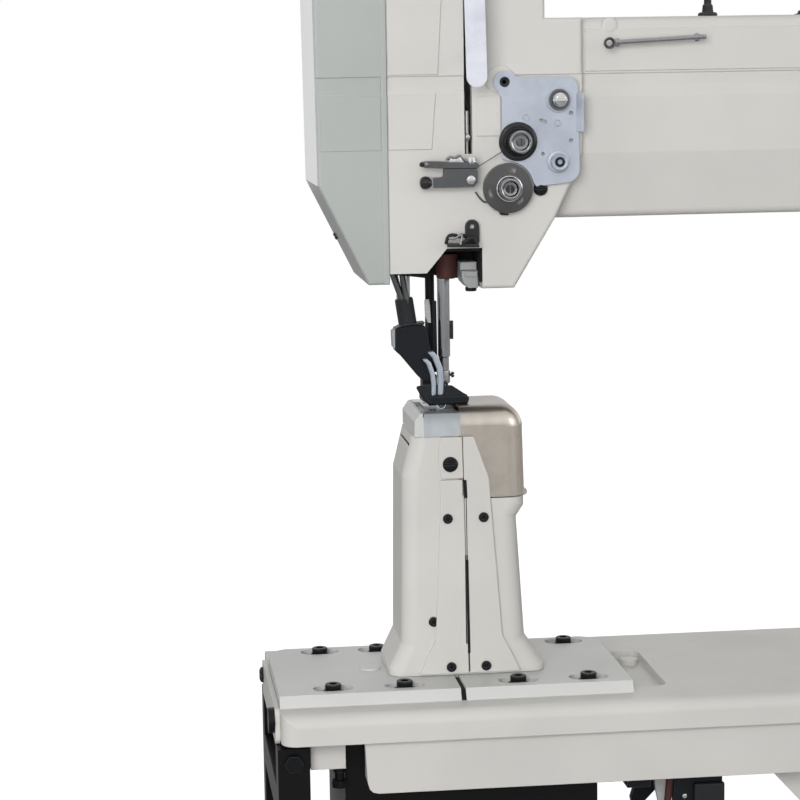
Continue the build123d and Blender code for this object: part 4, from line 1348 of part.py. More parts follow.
LEVER_REACH = 62.0
with BuildPart() as reverse_lever:
    rod_y(LEVER_X, PILLAR_FACE - 14, PILLAR_FACE - CONTROL_FIT, LEVER_Z, 13)
    rod_y(LEVER_X, PILLAR_FACE - 1, PILLAR_CAVITY[2] + 10, LEVER_Z, DIAL_SHAFT)
    rod_y(LEVER_X, PILLAR_CAVITY[2] + CONTROL_FIT, PILLAR_CAVITY[2] + 8, LEVER_Z, 10)
    front_prism([(LEVER_X, LEVER_Z + 8), (LEVER_X, LEVER_Z - 8), (LEVER_X - LEVER_REACH, LEVER_Z - 5),
                 (LEVER_X - LEVER_REACH, LEVER_Z + 5)], PILLAR_FACE - 14, PILLAR_FACE - 8)
    rod_y(LEVER_X - LEVER_REACH, PILLAR_FACE - 38, PILLAR_FACE - 8, LEVER_Z, 9)
publish(reverse_lever, "reverse_lever")

WINDER_WHEEL = 20.0
WINDER_SHAFT = 4.0
WINDER_Y = -8.0
WINDER_Z = SHAFT_Z + HANDWHEEL_RADIUS + WINDER_WHEEL + 1.0
WINDER_BASE_X = (PILLAR_RIGHT - 72.0, PILLAR_RIGHT - 12.0)
WINDER_BEARING_X = (PILLAR_RIGHT - 52.0, PILLAR_RIGHT - 20.0)
LATCH_Y = 20.0
LATCH_Z = ARM_TOP + 17.0
LATCH_X = (PILLAR_RIGHT - 66.0, PILLAR_RIGHT - 61.0)
LATCH_PIN = 2.5
with BuildPart() as winder_base:
    rounded_plan(*WINDER_BASE_X, -30, 28, ARM_TOP, ARM_TOP + 5, 5)
    side_prism([(-22, ARM_TOP + 5), (6, ARM_TOP + 5), (WINDER_Y + 9, WINDER_Z), (WINDER_Y - 9, WINDER_Z)],
               WINDER_BEARING_X[0] + 4, WINDER_BEARING_X[1] - 4)
    rod_x(*WINDER_BEARING_X, WINDER_Y, WINDER_Z, 10)
    box_between(LATCH_X[1] + CONTROL_FIT, LATCH_X[1] + 5, LATCH_Y - 6, LATCH_Y + 6, ARM_TOP + 5, LATCH_Z + 6)
    rod_x(*WINDER_BEARING_X, WINDER_Y, WINDER_Z, WINDER_SHAFT + FIT, mode=Mode.SUBTRACT)
    rod_x(LATCH_X[0] - 1, LATCH_X[1] + 5, LATCH_Y, LATCH_Z, LATCH_PIN)
publish(winder_base, "winder_base")

with BuildPart() as winder_spindle:
    rod_x(PILLAR_RIGHT - 84, HANDWHEEL_LEFT + 14, WINDER_Y, WINDER_Z, WINDER_SHAFT)
    rod_x(HANDWHEEL_LEFT + 4, HANDWHEEL_LEFT + 12, WINDER_Y, WINDER_Z, WINDER_WHEEL)
    rod_x(WINDER_BEARING_X[1] + CONTROL_FIT, WINDER_BEARING_X[1] + 5, WINDER_Y, WINDER_Z, 8)
    rod_x(WINDER_BEARING_X[0] - 5, WINDER_BEARING_X[0] - CONTROL_FIT, WINDER_Y, WINDER_Z, 8)
publish(winder_spindle, "winder_spindle")

with BuildPart() as winder_latch:
    rod_x(*LATCH_X, LATCH_Y, LATCH_Z, 5.5)
    side_prism([(LATCH_Y - 3, LATCH_Z), (LATCH_Y + 4, LATCH_Z), (LATCH_Y + 8, LATCH_Z + 34),
                (LATCH_Y + 3, LATCH_Z + 34)], *LATCH_X)
    rod_x(*LATCH_X, LATCH_Y, LATCH_Z, LATCH_PIN + FIT, mode=Mode.SUBTRACT)
publish(winder_latch, "winder_latch")
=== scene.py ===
"""Visual model of a post-bed leather sewing machine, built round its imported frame.

Lengths are written in millimetres about the needle, as on the machine's own drawing:
X runs right along the arm, Y away from the sewer, Z up, and Z = 0 is the bed's flat top.
place() turns them into the frame's metres. Finishes come first, then a small workshop of
modelling moves, then one class for each sub-assembly, and the studio.
"""

import logging
import math
from dataclasses import dataclass
from enum import Enum
from functools import cache
from typing import Callable, Iterable, Optional, Sequence, Union

import bmesh
import bpy
from mathutils import Matrix, Vector


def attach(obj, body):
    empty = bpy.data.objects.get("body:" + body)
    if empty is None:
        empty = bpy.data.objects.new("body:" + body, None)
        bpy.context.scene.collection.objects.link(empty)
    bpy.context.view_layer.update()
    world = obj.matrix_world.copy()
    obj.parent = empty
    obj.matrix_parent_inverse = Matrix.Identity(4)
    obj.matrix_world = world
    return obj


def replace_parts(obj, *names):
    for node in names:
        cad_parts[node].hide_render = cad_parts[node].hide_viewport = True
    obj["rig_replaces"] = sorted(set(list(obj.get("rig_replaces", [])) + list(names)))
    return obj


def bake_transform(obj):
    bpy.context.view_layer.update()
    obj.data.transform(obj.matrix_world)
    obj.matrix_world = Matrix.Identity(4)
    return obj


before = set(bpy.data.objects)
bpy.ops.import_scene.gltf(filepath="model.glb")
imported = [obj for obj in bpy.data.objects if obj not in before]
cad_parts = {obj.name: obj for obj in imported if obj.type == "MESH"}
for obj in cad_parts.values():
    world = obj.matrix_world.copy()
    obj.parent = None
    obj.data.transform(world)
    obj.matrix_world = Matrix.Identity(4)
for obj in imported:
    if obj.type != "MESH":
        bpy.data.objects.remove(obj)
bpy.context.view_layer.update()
logging.basicConfig(level=logging.INFO, format="%(message)s")
LOG = logging.getLogger("sewing_machine")

Colour = tuple[float, float, float]
Point = Sequence[float]
Outline = Iterable[tuple[float, float]]

MM = 0.001
ORIGIN_X = 151.25       # needle to the middle of the machine's length
ORIGIN_Z = 218.9        # floor to the bed's top
MERGE = 0.000004        # corners closer than this are one, metres
SMOOTH = math.radians(38.0)     # edges flatter than this are shaded smooth
WHITE = (1.0, 1.0, 1.0)
EDGE_RAYS = {"samples": 4}


def place(x: float, y: float, z: float) -> Vector:
    """Turns a drawing point in millimetres into the frame's metres."""
    return Vector(((x - ORIGIN_X) * MM, y * MM, (z + ORIGIN_Z) * MM))


# ------------------------------------------------------------------------ shader maths
def _maths(operation: str, swapped: bool = False) -> Callable[["Wire", "Value"], "Wire"]:
    """Makes one operator of Wire.

    Args:
        operation: The Math node's operation.
        swapped: True for the reflected form, whose wire is on the right.

    Returns:
        The operator, which adds one Math node.
    """
    def act(wire: "Wire", other: "Value") -> "Wire":
        """Adds the node and returns its output."""
        first, second = (other, wire) if swapped else (wire, other)
        return wire.bench.node("ShaderNodeMath", {"operation": operation}, {0: first, 1: second})
    return act


class Wire:
    """One shader socket that takes part in Python arithmetic."""

    __add__, __radd__ = _maths("ADD"), _maths("ADD", True)
    __sub__, __rsub__ = _maths("SUBTRACT"), _maths("SUBTRACT", True)
    __mul__, __rmul__ = _maths("MULTIPLY"), _maths("MULTIPLY", True)

    def __init__(self, bench: "Bench", socket: bpy.types.NodeSocket) -> None:
        """Keeps the socket and the bench whose node tree it belongs to."""
        self.bench, self.socket = bench, socket

    def step(self, low: float, high: float) -> "Wire":
        """Runs smoothly from 0 at low to 1 at high."""
        return self.bench.node("ShaderNodeMapRange", {"interpolation_type": "SMOOTHSTEP"},
                               {"Value": self, "From Min": low, "From Max": high})


Value = Union[Wire, float, Sequence[float]]


class Bench:
    """One node tree on the bench, and the few nodes every finish is made from."""

    def __init__(self, tree: bpy.types.NodeTree) -> None:
        """Opens a node tree: an emptied material's, or the world's."""
        self.tree = tree

    def node(self, kind: str, settings: Optional[dict] = None, values: Optional[dict] = None,
             output: Union[int, str] = 0) -> Wire:
        """Adds a node of any kind.

        Args:
            kind: The node's type.
            settings: Its own settings, which are set first.
            values: What its sockets hold or are linked to, by name or number.
            output: The output that is handed back.

        Returns:
            That output as a wire.
        """
        made = self.tree.nodes.new(kind)
        for key, value in (settings or {}).items():
            setattr(made, key, value)
        for key, value in (values or {}).items():
            if isinstance(value, Wire):
                self.tree.links.new(value.socket, made.inputs[key])
            else:
                made.inputs[key].default_value = value
        return Wire(self, made.outputs[output])

    def where(self, stretch: Point = (1.0, 1.0, 1.0)) -> Wire:
        """The point on the piece, with each axis scaled by stretch."""
        point = self.node("ShaderNodeTexCoord", output="Object")
        return self.node("ShaderNodeMapping", None, {"Vector": point, "Scale": stretch})

    def noise(self, scale: float, detail: float = 2.0, rough: float = 0.5,
              stretch: Point = (1.0, 1.0, 1.0)) -> Wire:
        """Cloudy noise from 0 to 1, with scale cells to the metre."""
        return self.node("ShaderNodeTexNoise", None, {
            "Vector": self.where(stretch), "Scale": scale, "Detail": detail, "Roughness": rough})

    def blend(self, factor: Value, first: Value, second: Value) -> Wire:
        """Mixes two colours.

        Args:
            factor: 0 for the first, 1 for the second.
            first, second: The two colours.

        Returns:
            The mixed colour.
        """
        pair = {key: (*colour, 1.0) if isinstance(colour, tuple) else colour
                for key, colour in ((6, first), (7, second))}
        return self.node("ShaderNodeMix", {"data_type": "RGBA"}, {0: factor, **pair}, output=2)

    def rays(self, kind: str) -> Wire:
        """1 for rays of one kind, such as Is Camera Ray, and 0 for the rest."""
        return self.node("ShaderNodeLightPath", output=kind)

    def worn_edge(self, radius: float) -> Wire:
        """Finds the edges of the shape.

        Args:
            radius: How far the edge's wear and painted highlight reach, in metres.

        Returns:
            0 on a flat face, towards 1 on an edge.
        """
        rounded = self.node("ShaderNodeBevel", EDGE_RAYS, {"Radius": radius})
        true = self.node("ShaderNodeNewGeometry", output="Normal")
        alike = self.node("ShaderNodeVectorMath", {"operation": "DOT_PRODUCT"}, {0: rounded, 1: true},
                          output="Value")
        return (1.0 - alike).step(0.004, 0.09)

    def relief(self, height: Wire, distance: float, edge: float) -> Wire:
        """Turns a height into a normal, over softly rounded edges.

        Args:
            height: The height over the surface, from 0 to 1.
            distance: What a height of 1 stands for, in metres.
            edge: The radius of the rounded edges, in metres.

        Returns:
            The normal.
        """
        rounded = self.node("ShaderNodeBevel", EDGE_RAYS, {"Radius": edge})
        return self.node("ShaderNodeBump", None, {
            "Height": height, "Distance": distance, "Strength": 1.0, "Normal": rounded})


def toned(colour: Colour, factor: float, lift: float = 0.0) -> Colour:
    """The colour made darker or lighter by factor, and lifted a little."""
    return tuple(min(1.0, channel * factor + lift) for channel in colour)


# ------------------------------------------------------------------------------ finishes
@dataclass(frozen=True)
class Finish:
    """What a surface is finished in: its name, the record's slot it belongs to, its colour."""

    name: str
    slot: str
    colour: Colour

    def sockets(self, bench: Bench) -> dict[str, Value]:
        """What the finish feeds to its shader; each kind of finish has its own.

        Args:
            bench: The material's node tree.

        Returns:
            The values and wires, by the name of the shader's socket.
        """
        raise NotImplementedError

    def material(self) -> bpy.types.Material:
        """Builds the material.

        Returns:
            A material that one Principled shader closes.
        """
        made = bpy.data.materials.new(self.name)
        made.use_nodes = True
        made.node_tree.nodes.clear()
        bench = Bench(made.node_tree)
        values = {key: (*value, 1.0) if isinstance(value, tuple) else value
                  for key, value in self.sockets(bench).items()}
        shader = bench.node("ShaderNodeBsdfPrincipled", None, values)
        end = made.node_tree.nodes.new("ShaderNodeOutputMaterial")
        made.node_tree.links.new(shader.socket, end.inputs["Surface"])
        return made


@dataclass(frozen=True)
class Enamel(Finish):
    """Sprayed and baked enamel on a casting or a sheet, with a faint orange peel."""

    peel: float = 0.00006       # height of the orange peel, metres
    grain: float = 420.0        # peel cells to the metre
    gloss: float = 0.36
    edge: float = 0.0008        # softening of the casting's edges, metres
    shine: float = 0.25         # strength of the paint's own reflection
    lacquer: float = 0.06       # share of clear lacquer over it

    def sockets(self, bench: Bench) -> dict[str, Value]:
        """Drifting tone, lighter edges from thin paint and a painted highlight, orange peel.

        Args:
            bench: The material's node tree.

        Returns:
            What feeds the shader's sockets.
        """
        drift = bench.noise(14.0, 3.0)
        fine = bench.noise(self.grain)
        flow = bench.noise(self.grain * 0.27)
        colour = bench.blend(drift.step(0.3, 0.75), self.colour, toned(self.colour, 0.93))
        # lighter edges: thin paint, with a painted highlight along them
        colour = bench.blend(bench.worn_edge(0.0016) * 0.7, colour, toned(self.colour, 1.06))
        return {"Base Color": colour, "Roughness": self.gloss + 0.10 * drift + 0.05 * fine,
                "Specular IOR Level": self.shine, "Coat Weight": self.lacquer, "Coat Roughness": 0.1,
                "Normal": bench.relief(fine * 0.55 + flow * 0.9, self.peel, self.edge)}


class Grain(Enum):
    """The way in which a metal was worked: the stretch of its fine lines along X, Y and Z."""

    NONE = (1.0, 1.0, 1.0)
    ALONG_X = (0.02, 1.0, 1.0)
    ALONG_Z = (1.0, 1.0, 0.02)
    ROUND_X = (1.0, 0.12, 0.12)


@dataclass(frozen=True)
class Metal(Finish):
    """Bare, plated or blackened metal, with its tool marks."""

    roughness: float
    grain: Grain = Grain.NONE
    lines: float = 900.0        # tool marks to the metre
    depth: float = 0.00002      # height of the marks, metres
    wear: Colour = (0.75, 0.75, 0.76)
    worn: float = 0.15          # share of the wear colour that edges take
    metallic: float = 1.0
    film: tuple[float, float] = (0.0, 0.0)      # heights over which painted shade darkens it towards the top, metres

    def sockets(self, bench: Bench) -> dict[str, Value]:
        """Tool marks, handling marks, bright edges and any painted shade towards the top.

        Args:
            bench: The material's node tree.

        Returns:
            What feeds the shader's sockets.
        """
        marks = bench.noise(self.lines, 3.0, 0.6, self.grain.value)
        handling = bench.noise(55.0, 4.0, 0.6)
        colour = bench.blend(handling.step(0.35, 0.8) * 0.6 + marks * 0.25, self.colour,
                             toned(self.colour, 0.72))
        colour = bench.blend(bench.worn_edge(0.0006) * self.worn, colour, self.wear)
        # painted shade: darker towards the top, between the two heights
        if any(self.film):
            height = bench.node("ShaderNodeSeparateXYZ", None, {0: bench.where()}, output="Z")
            colour = bench.blend(height.step(*self.film) * 0.75, colour, toned(self.colour, 0.3))
        return {"Base Color": colour, "Metallic": self.metallic,
                "Roughness": self.roughness * (0.75 + 0.3 * marks + 0.35 * handling),
                "Normal": bench.relief(marks, self.depth, 0.00025)}


@dataclass(frozen=True)
class Moulded(Finish):
    """Moulded plastic or rubber, with a fine spark-eroded skin."""

    roughness: float

    def sockets(self, bench: Bench) -> dict[str, Value]:
        """Even colour, fine skin, greasy patches.

        Args:
            bench: The material's node tree.

        Returns:
            What feeds the shader's sockets.
        """
        skin = bench.noise(2600.0)
        patches = bench.noise(60.0, 3.0)
        colour = bench.blend(patches.step(0.4, 0.8) * 0.5, self.colour, toned(self.colour, 1.5, 0.004))
        return {"Base Color": colour, "Roughness": self.roughness + 0.15 * patches,
                "Normal": bench.relief(skin, 0.00002, 0.0003)}


@dataclass(frozen=True)
class PaleFloor(Finish):
    """Matt studio floor that the camera sees as near white."""

    seen: float = 0.92          # its own glow to the camera
    glossy: float = 0.15        # and in gloss and metal

    def sockets(self, bench: Bench) -> dict[str, Value]:
        """One even tone, and the glow.

        Args:
            bench: The material's node tree.

        Returns:
            What feeds the shader's sockets.
        """
        glow = bench.rays("Is Camera Ray") * self.seen + bench.rays("Is Glossy Ray") * self.glossy
        return {"Base Color": self.colour, "Roughness": 0.9, "Specular IOR Level": 0.0,
                "Emission Color": WHITE, "Emission Strength": glow}


CREAM = Enamel("cream_enamel", "cream_paint", (0.630, 0.615, 0.585))
FACE_GREEN = Enamel("grey_green_enamel", "cover_paint", (0.40, 0.427, 0.41), peel=0.00002, gloss=0.16,
                    shine=0.5, lacquer=0.8)
PLATE_GREY = Enamel("plate_enamel", "plate_paint", (0.610, 0.615, 0.600), peel=0.00005)
BLACK_ENAMEL = Enamel("black_enamel", "black_paint", (0.005, 0.005, 0.0055), peel=0.00003, gloss=0.30,
                      shine=0.18)
ZINC = Metal("bright_zinc", "zinc", (0.57, 0.62, 0.71), 0.36, lines=500.0, depth=0.000006,
             wear=(0.7, 0.75, 0.8), metallic=0.55)
GUARD = Metal("satin_guard", "bright", (0.81, 0.83, 0.91), 0.42, Grain.ALONG_Z, depth=0.000008, metallic=0.5)
BRIGHT = Metal("bright_nickel", "bright", (0.80, 0.80, 0.80), 0.13, depth=0.000004)
GROUND = Metal("ground_steel", "steel", (0.55, 0.55, 0.55), 0.32, Grain.ALONG_X)
BLACKED = Metal("black_oxide", "black_oxide", (0.014, 0.015, 0.017), 0.36, lines=1800.0, depth=0.00003,
                wear=(0.16, 0.16, 0.17), worn=0.45, metallic=0.7)
CAST = Metal("grey_iron", "cast", (0.20, 0.20, 0.205), 0.55, lines=700.0, depth=0.0002, worn=0.2)
BRONZE = Metal("bush_bronze", "brass", (0.62, 0.43, 0.19), 0.34, Grain.ROUND_X)
SLIDE = Metal("slide_steel", "slide_steel", (0.90, 0.96, 1.0), 0.34, Grain.ALONG_X, depth=0.000012,
              wear=(0.8, 0.82, 0.85), film=(0.389, 0.401))
DOME = Metal("satin_nickel", "dome", (0.82, 0.75, 0.665), 0.28, Grain.ALONG_Z, lines=1400.0,
             depth=0.000003, wear=(0.8, 0.77, 0.7), worn=0.25, film=(0.391, 0.399))
BLACK_SATIN = Metal("black_satin", "black_oxide", (0.030, 0.031, 0.034), 0.42, lines=1500.0,
                    depth=0.00001, wear=(0.2, 0.2, 0.21), worn=0.5, metallic=0.5)
BLACK_CAST = Metal("black_cast", "black_oxide", (0.014, 0.017, 0.021), 0.38, depth=0.00006,
                   wear=(0.14, 0.16, 0.17), worn=0.7, metallic=0.6)
DARK_STEEL = Metal("dark_steel", "steel", (0.17, 0.175, 0.18), 0.3, Grain.ALONG_X, depth=0.000008, worn=0.3)
DARK_CHROME = Metal("dark_chrome", "bright", (0.36, 0.365, 0.38), 0.16, depth=0.000004,
                    wear=(0.8, 0.8, 0.8), worn=0.4)
DISC_STEEL = Metal("disc_steel", "bright", (0.15, 0.15, 0.153), 0.34, lines=1300.0, depth=0.00001, worn=0.35)
DARK_CAST = Metal("dark_cast", "steel", (0.135, 0.142, 0.15), 0.42, lines=800.0, worn=0.3, metallic=0.8)
PALE_STEEL = Metal("pale_steel", "steel", (0.50, 0.51, 0.52), 0.3, Grain.ALONG_Z, depth=0.000008)
PALE_CAST = Metal("pale_cast", "steel", (0.44, 0.45, 0.45), 0.5, lines=700.0, depth=0.00003,
                  wear=(0.7, 0.7, 0.7), metallic=0.3)
BROWN_IRON = Metal("brown_iron", "cast", (0.075, 0.026, 0.022), 0.5, lines=600.0, depth=0.00004,
                   wear=(0.2, 0.1, 0.08), metallic=0.2)
BAR_STEEL = Metal("bar_steel", "bright", (0.70, 0.71, 0.73), 0.12, Grain.ALONG_Z, lines=1600.0,
                  depth=0.000006)
ARM_STEEL = Metal("arm_steel", "steel", (0.56, 0.62, 0.70), 0.3, Grain.ALONG_Z, depth=0.00001, metallic=0.7)
RUBBER = Moulded("belt_rubber", "belt", (0.016, 0.016, 0.016), 0.72)
KNOB = Moulded("black_moulding", "knob_black", (0.014, 0.014, 0.016), 0.30)
GLOSS_BLACK = Moulded("gloss_black", "black_oxide", (0.010, 0.010, 0.011), 0.16)
# matt black that stands for painted shade in the notch, slots and gaps, and is the felt strip's own colour
SHADE_AND_FELT_BLACK = Moulded("shade_and_felt_black", "black_paint", (0.006, 0.006, 0.006), 0.8)
PALE_FLOOR = PaleFloor("pale_floor", "", (0.28, 0.28, 0.28))

NODE_FINISH = {
    CREAM: "bed_casting post_casting arm_casting post_covers bed_brackets arm_covers",
    FACE_GREEN: "face_cover",
    PLATE_GREY: "left_bed_plate right_bed_plate post_top_block winder_base",
    ZINC: "tension_plate",
    GUARD: "take_up_guard",
    BLACK_ENAMEL: "handwheel stand_legs stand_rails underbed_guard",
    BRIGHT: "bobbin needle_bar needle take_up_lever presser_bar pretension_knob tension_nut main_tension "
            "thread_guides",
    GROUND: "hook_shaft rotary_hook bobbin_case lower_shaft feed_rock_shaft feed_bar feed_dog main_shaft "
            "pivot_pins needle_bar_link presser_foot_arms check_spring winder_spindle winder_latch",
    BLACKED: "bed_plate_bolts post_screws black_hardware knee_lift_lever presser_foot_block presser_foot "
             "vibrating_foot tension_studs hand_lifter",
    CAST: "crank_disc needle_bar_frame",
    BLACK_CAST: "bearing_blocks",
    BRONZE: "shaft_bushes",
    SLIDE: "slide_plates needle_plate",
    DOME: "hook_cover",
    RUBBER: "timing_belt",
    KNOB: "pressure_knob stitch_dial reverse_lever",
}


@cache
def mixed(finish: Finish) -> bpy.types.Material:
    """The finish's material, made on its first use."""
    return finish.material()


def dress(piece: bpy.types.Object, finish: Finish) -> None:
    """Puts one finish on the whole piece.

    Args:
        piece: A piece, or a node of the frame.
        finish: The finish.
    """
    if not piece.material_slots:
        piece.data.materials.append(mixed(finish))
    for slot in piece.material_slots:
        slot.material = mixed(finish)


def dress_frame() -> None:
    """Puts its finish on every node of the frame."""
    for finish, names in NODE_FINISH.items():
        for name in names.split():
            dress(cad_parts[name], finish)
    LOG.info("frame dressed")


# ------------------------------------------------------------------------- modelling moves
RIGHT, AWAY, UP = Vector((1.0, 0.0, 0.0)), Vector((0.0, 1.0, 0.0)), Vector((0.0, 0.0, 1.0))
TOWARDS, LEFT, DOWN = -AWAY, -RIGHT, -UP


def arc(centre: tuple[float, float], radius: float, start: float, end: float,
        steps: int = 6) -> list[tuple[float, float]]:
    """Points along an arc, in millimetres.

    Args:
        centre: Its middle.
        radius: Its radius.
        start, end: Its first and last angle, in degrees.
        steps: How many straight runs it takes.

    Returns:
        The points from start to end.
    """
    turns = [math.radians(start + (end - start) * step / steps) for step in range(steps + 1)]
    return [(centre[0] + radius * math.cos(turn), centre[1] + radius * math.sin(turn)) for turn in turns]


class Piece:
    """One piece on the modelling bench.

    It starts as a primitive at its size and place, is shaped in edit mode by moves that act on
    what is selected, and leaves the bench through done(). Its lengths are in millimetres.
    """

    def __init__(self, name: str) -> None:
        """Takes up the primitive that was just added and opens it, all of it selected.

        Args:
            name: Its name.
        """
        self.form = bpy.context.active_object
        self.form.name = self.form.data.name = name
        bpy.ops.object.mode_set(mode="EDIT")
        bpy.ops.mesh.select_mode(type="VERT")

    @staticmethod
    def take_up(form: Optional[bpy.types.Object] = None) -> None:
        """Puts down everything that is held, and takes up a form.

        Args:
            form: The form, if there is one to take up.
        """
        if bpy.context.mode != "OBJECT":
            bpy.ops.object.mode_set(mode="OBJECT")
        bpy.ops.object.select_all(action="DESELECT")
        if form:
            form.select_set(True)
            bpy.context.view_layer.objects.active = form

    @classmethod
    def block(cls, name: str, low: Point, high: Point) -> "Piece":
        """Starts from a block between two corners.

        Args:
            name: Its name.
            low, high: The two corners.

        Returns:
            The piece.
        """
        cls.take_up()
        first, last = place(*low), place(*high)
        size = [abs(there - here) for here, there in zip(first, last)]
        bpy.ops.mesh.primitive_cube_add(size=1.0, location=(first + last) / 2, scale=size)
        return cls(name)

    @classmethod
    def turned(cls, name: str, start: Point, axis: Vector, profile: Sequence[tuple[float, float]],
               sides: int = 40, ring: bool = False) -> "Piece":
        """Turns a piece on the lathe.

        Args:
            name: Its name.
            start: The point from which the profile is measured.
            axis: The way in which the profile runs.
            profile: Distance along the axis and radius at each corner, from the first face on.
            sides: How many sides the round has.
            ring: True where the profile comes back to its start, as round a bored ring.

        Returns:
            The piece, its last face selected.
        """
        cls.take_up()
        axis = Vector(axis).normalized()
        along, radius = profile[0]
        bpy.ops.mesh.primitive_circle_add(
            vertices=sides, radius=radius * MM, fill_type="NOTHING" if ring else "NGON",
            location=place(*start) + axis * along * MM, rotation=UP.rotation_difference(axis).to_euler())
        piece = cls(name)
        for next_along, next_radius in profile[1:]:
            piece.pull(axis * (next_along - along))
            piece.swell(next_radius / radius, place(*start) + axis * next_along * MM)
            along, radius = next_along, next_radius
        return piece

    @classmethod
    def line(cls, name: str, points: Sequence[Point]) -> "Piece":
        """Draws a line, each point pulled from the one before.

        Args:
            name: Its name.
            points: The points.

        Returns:
            The piece, all of it selected.
        """
        cls.take_up()
        corners = [place(*point) for point in points]
        bpy.ops.mesh.primitive_plane_add(size=MM, location=corners[0])
        piece = cls(name)
        bpy.ops.mesh.merge(type="CENTER")
        for here, there in zip(corners, corners[1:]):
            bpy.ops.mesh.extrude_region_move(TRANSFORM_OT_translate={"value": there - here})
        bpy.ops.mesh.select_all(action="SELECT")
        return piece

    @classmethod
    def plate(cls, name: str, outline: Sequence[Point], depth: Vector, corner: float = 0.0) -> "Piece":
        """Cuts a plate: draws its outline, fills it, rounds its corners and pulls it to its depth.

        Args:
            name: Its name.
            outline: The corners of its first face.
            depth: The way from that face to the other.
            corner: The radius of its corners.

        Returns:
            The piece, its last face selected.
        """
        piece = cls.line(name, outline)
        bpy.ops.mesh.edge_face_add()
        if corner:
            bpy.ops.mesh.bevel(offset=corner * MM, segments=4, affect="VERTICES")
        return piece.pull(depth)

    @classmethod
    def front(cls, name: str, outline: Outline, y: float, depth: float, corner: float = 0.0) -> "Piece":
        """Cuts a plate from an (X, Z) outline that stands at y, going away from the sewer by depth."""
        return cls.plate(name, [(x, y, z) for x, z in outline], AWAY * depth, corner)

    @classmethod
    def wire(cls, name: str, points: Sequence[Point], radius: float, smooth: bool = True) -> "Piece":
        """Bends round wire along points.

        Args:
            name: Its name.
            points: The points that it follows.
            radius: Its radius.
            smooth: True for one smooth curve, False for straight runs.

        Returns:
            The piece.
        """
        piece = cls.line(name, points)
        cls.take_up(piece.form)
        bpy.ops.object.convert(target="CURVE")
        curve = piece.form.data
        if smooth:
            bpy.ops.object.mode_set(mode="EDIT")
            bpy.ops.curve.select_all(action="SELECT")
            bpy.ops.curve.spline_type_set(type="NURBS")
            bpy.ops.object.mode_set(mode="OBJECT")
            curve.splines[0].order_u = 3
            curve.splines[0].use_endpoint_u = True
            curve.splines[0].resolution_u = 6
        curve.bevel_depth, curve.bevel_resolution, curve.use_fill_caps = radius * MM, 3, True
        bpy.ops.object.convert(target="MESH")
        return cls(name)

    @classmethod
    def coil(cls, name: str, start: Point, axis: Vector, radius: float, wire: float, turns: float,
             length: float) -> "Piece":
        """Winds a coil spring of round wire.

        Args:
            name: Its name.
            start: The middle of its first turn.
            axis: The way in which it runs.
            radius: The radius of its turns.
            wire: The radius of its wire.
            turns: How many turns it has.
            length: Its length along the axis.

        Returns:
            The piece.
        """
        cls.take_up()
        bpy.ops.mesh.primitive_circle_add(vertices=8, radius=wire * MM, fill_type="NGON")
        piece = cls(name)
        bpy.ops.transform.rotate(value=math.pi / 2, orient_axis="X", center_override=(0.0, 0.0, 0.0))
        bpy.ops.transform.translate(value=(radius * MM, 0.0, 0.0))
        cls.take_up()
        winding = piece.form.modifiers.new("winding", "SCREW")
        winding.angle, winding.screw_offset = 2 * math.pi * turns, length * MM
        winding.steps = winding.render_steps = round(20 * turns)
        piece.apply(winding)
        piece.form.location = place(*start)
        piece.form.rotation_euler = UP.rotation_difference(Vector(axis)).to_euler()
        return piece

    def pull(self, shift: Vector) -> "Piece":
        """Pulls what is selected out by shift."""
        bpy.ops.mesh.extrude_region_move(TRANSFORM_OT_translate={"value": Vector(shift) * MM})
        return self

    def swell(self, factor: float, centre: Vector) -> "Piece":
        """Resizes what is selected.

        Args:
            factor: How many times its size it becomes.
            centre: The point that stays, in the frame's metres.

        Returns:
            The piece.
        """
        if abs(factor - 1.0) > 1e-6:
            bpy.ops.transform.resize(value=(factor, factor, factor), center_override=centre)
        return self

    def inset(self, width: float, depth: float = 0.0, each: bool = False) -> "Piece":
        """Insets the selected faces by width and sinks them by depth."""
        bpy.ops.mesh.inset(thickness=width * MM, depth=-depth * MM, use_individual=each)
        return self

    def pick(self, test: Callable[[Vector, Vector], bool]) -> "Piece":
        """Selects the faces that pass the test.

        Args:
            test: Takes a face's middle, in drawing millimetres, and its normal.

        Returns:
            The piece.
        """
        bpy.ops.mesh.select_mode(type="FACE")
        bpy.ops.mesh.select_all(action="DESELECT")
        bpy.ops.mesh.normals_make_consistent(inside=False)
        mesh = bmesh.from_edit_mesh(self.form.data)
        world = self.form.matrix_world
        turn = world.to_3x3()
        for face in mesh.faces:
            middle = world @ face.calc_center_median() / MM
            drawing = Vector((middle.x + ORIGIN_X, middle.y, middle.z - ORIGIN_Z))
            face.select_set(test(drawing, (turn @ face.normal).normalized()))
        bmesh.update_edit_mesh(self.form.data)
        return self

    def apply(self, modifier: bpy.types.Modifier) -> "Piece":
        """Applies one modifier.

        Args:
            modifier: A modifier of this piece.

        Returns:
            The piece.
        """
        self.take_up(self.form)
        bpy.ops.object.modifier_apply(modifier=modifier.name)
        return self

    def true_up(self) -> None:
        """Merges the piece's doubles and turns its faces outwards."""
        self.take_up(self.form)
        bpy.ops.object.mode_set(mode="EDIT")
        bpy.ops.mesh.select_all(action="SELECT")
        bpy.ops.mesh.remove_doubles(threshold=MERGE)
        bpy.ops.mesh.normals_make_consistent(inside=False)
        bpy.ops.object.mode_set(mode="OBJECT")

    def cut(self, *tools: "Piece") -> "Piece":
        """Cuts the tools' shapes out of the piece and scraps the tools.

        Args:
            tools: The pieces that do the cutting.

        Returns:
            The piece.
        """
        for form in (self, *tools):
            form.true_up()
        for tool in tools:
            saw = self.form.modifiers.new("saw", "BOOLEAN")
            saw.object, saw.operation, saw.solver = tool.form, "DIFFERENCE", "EXACT"
            self.apply(saw)
            bpy.data.objects.remove(tool.form)
        return self

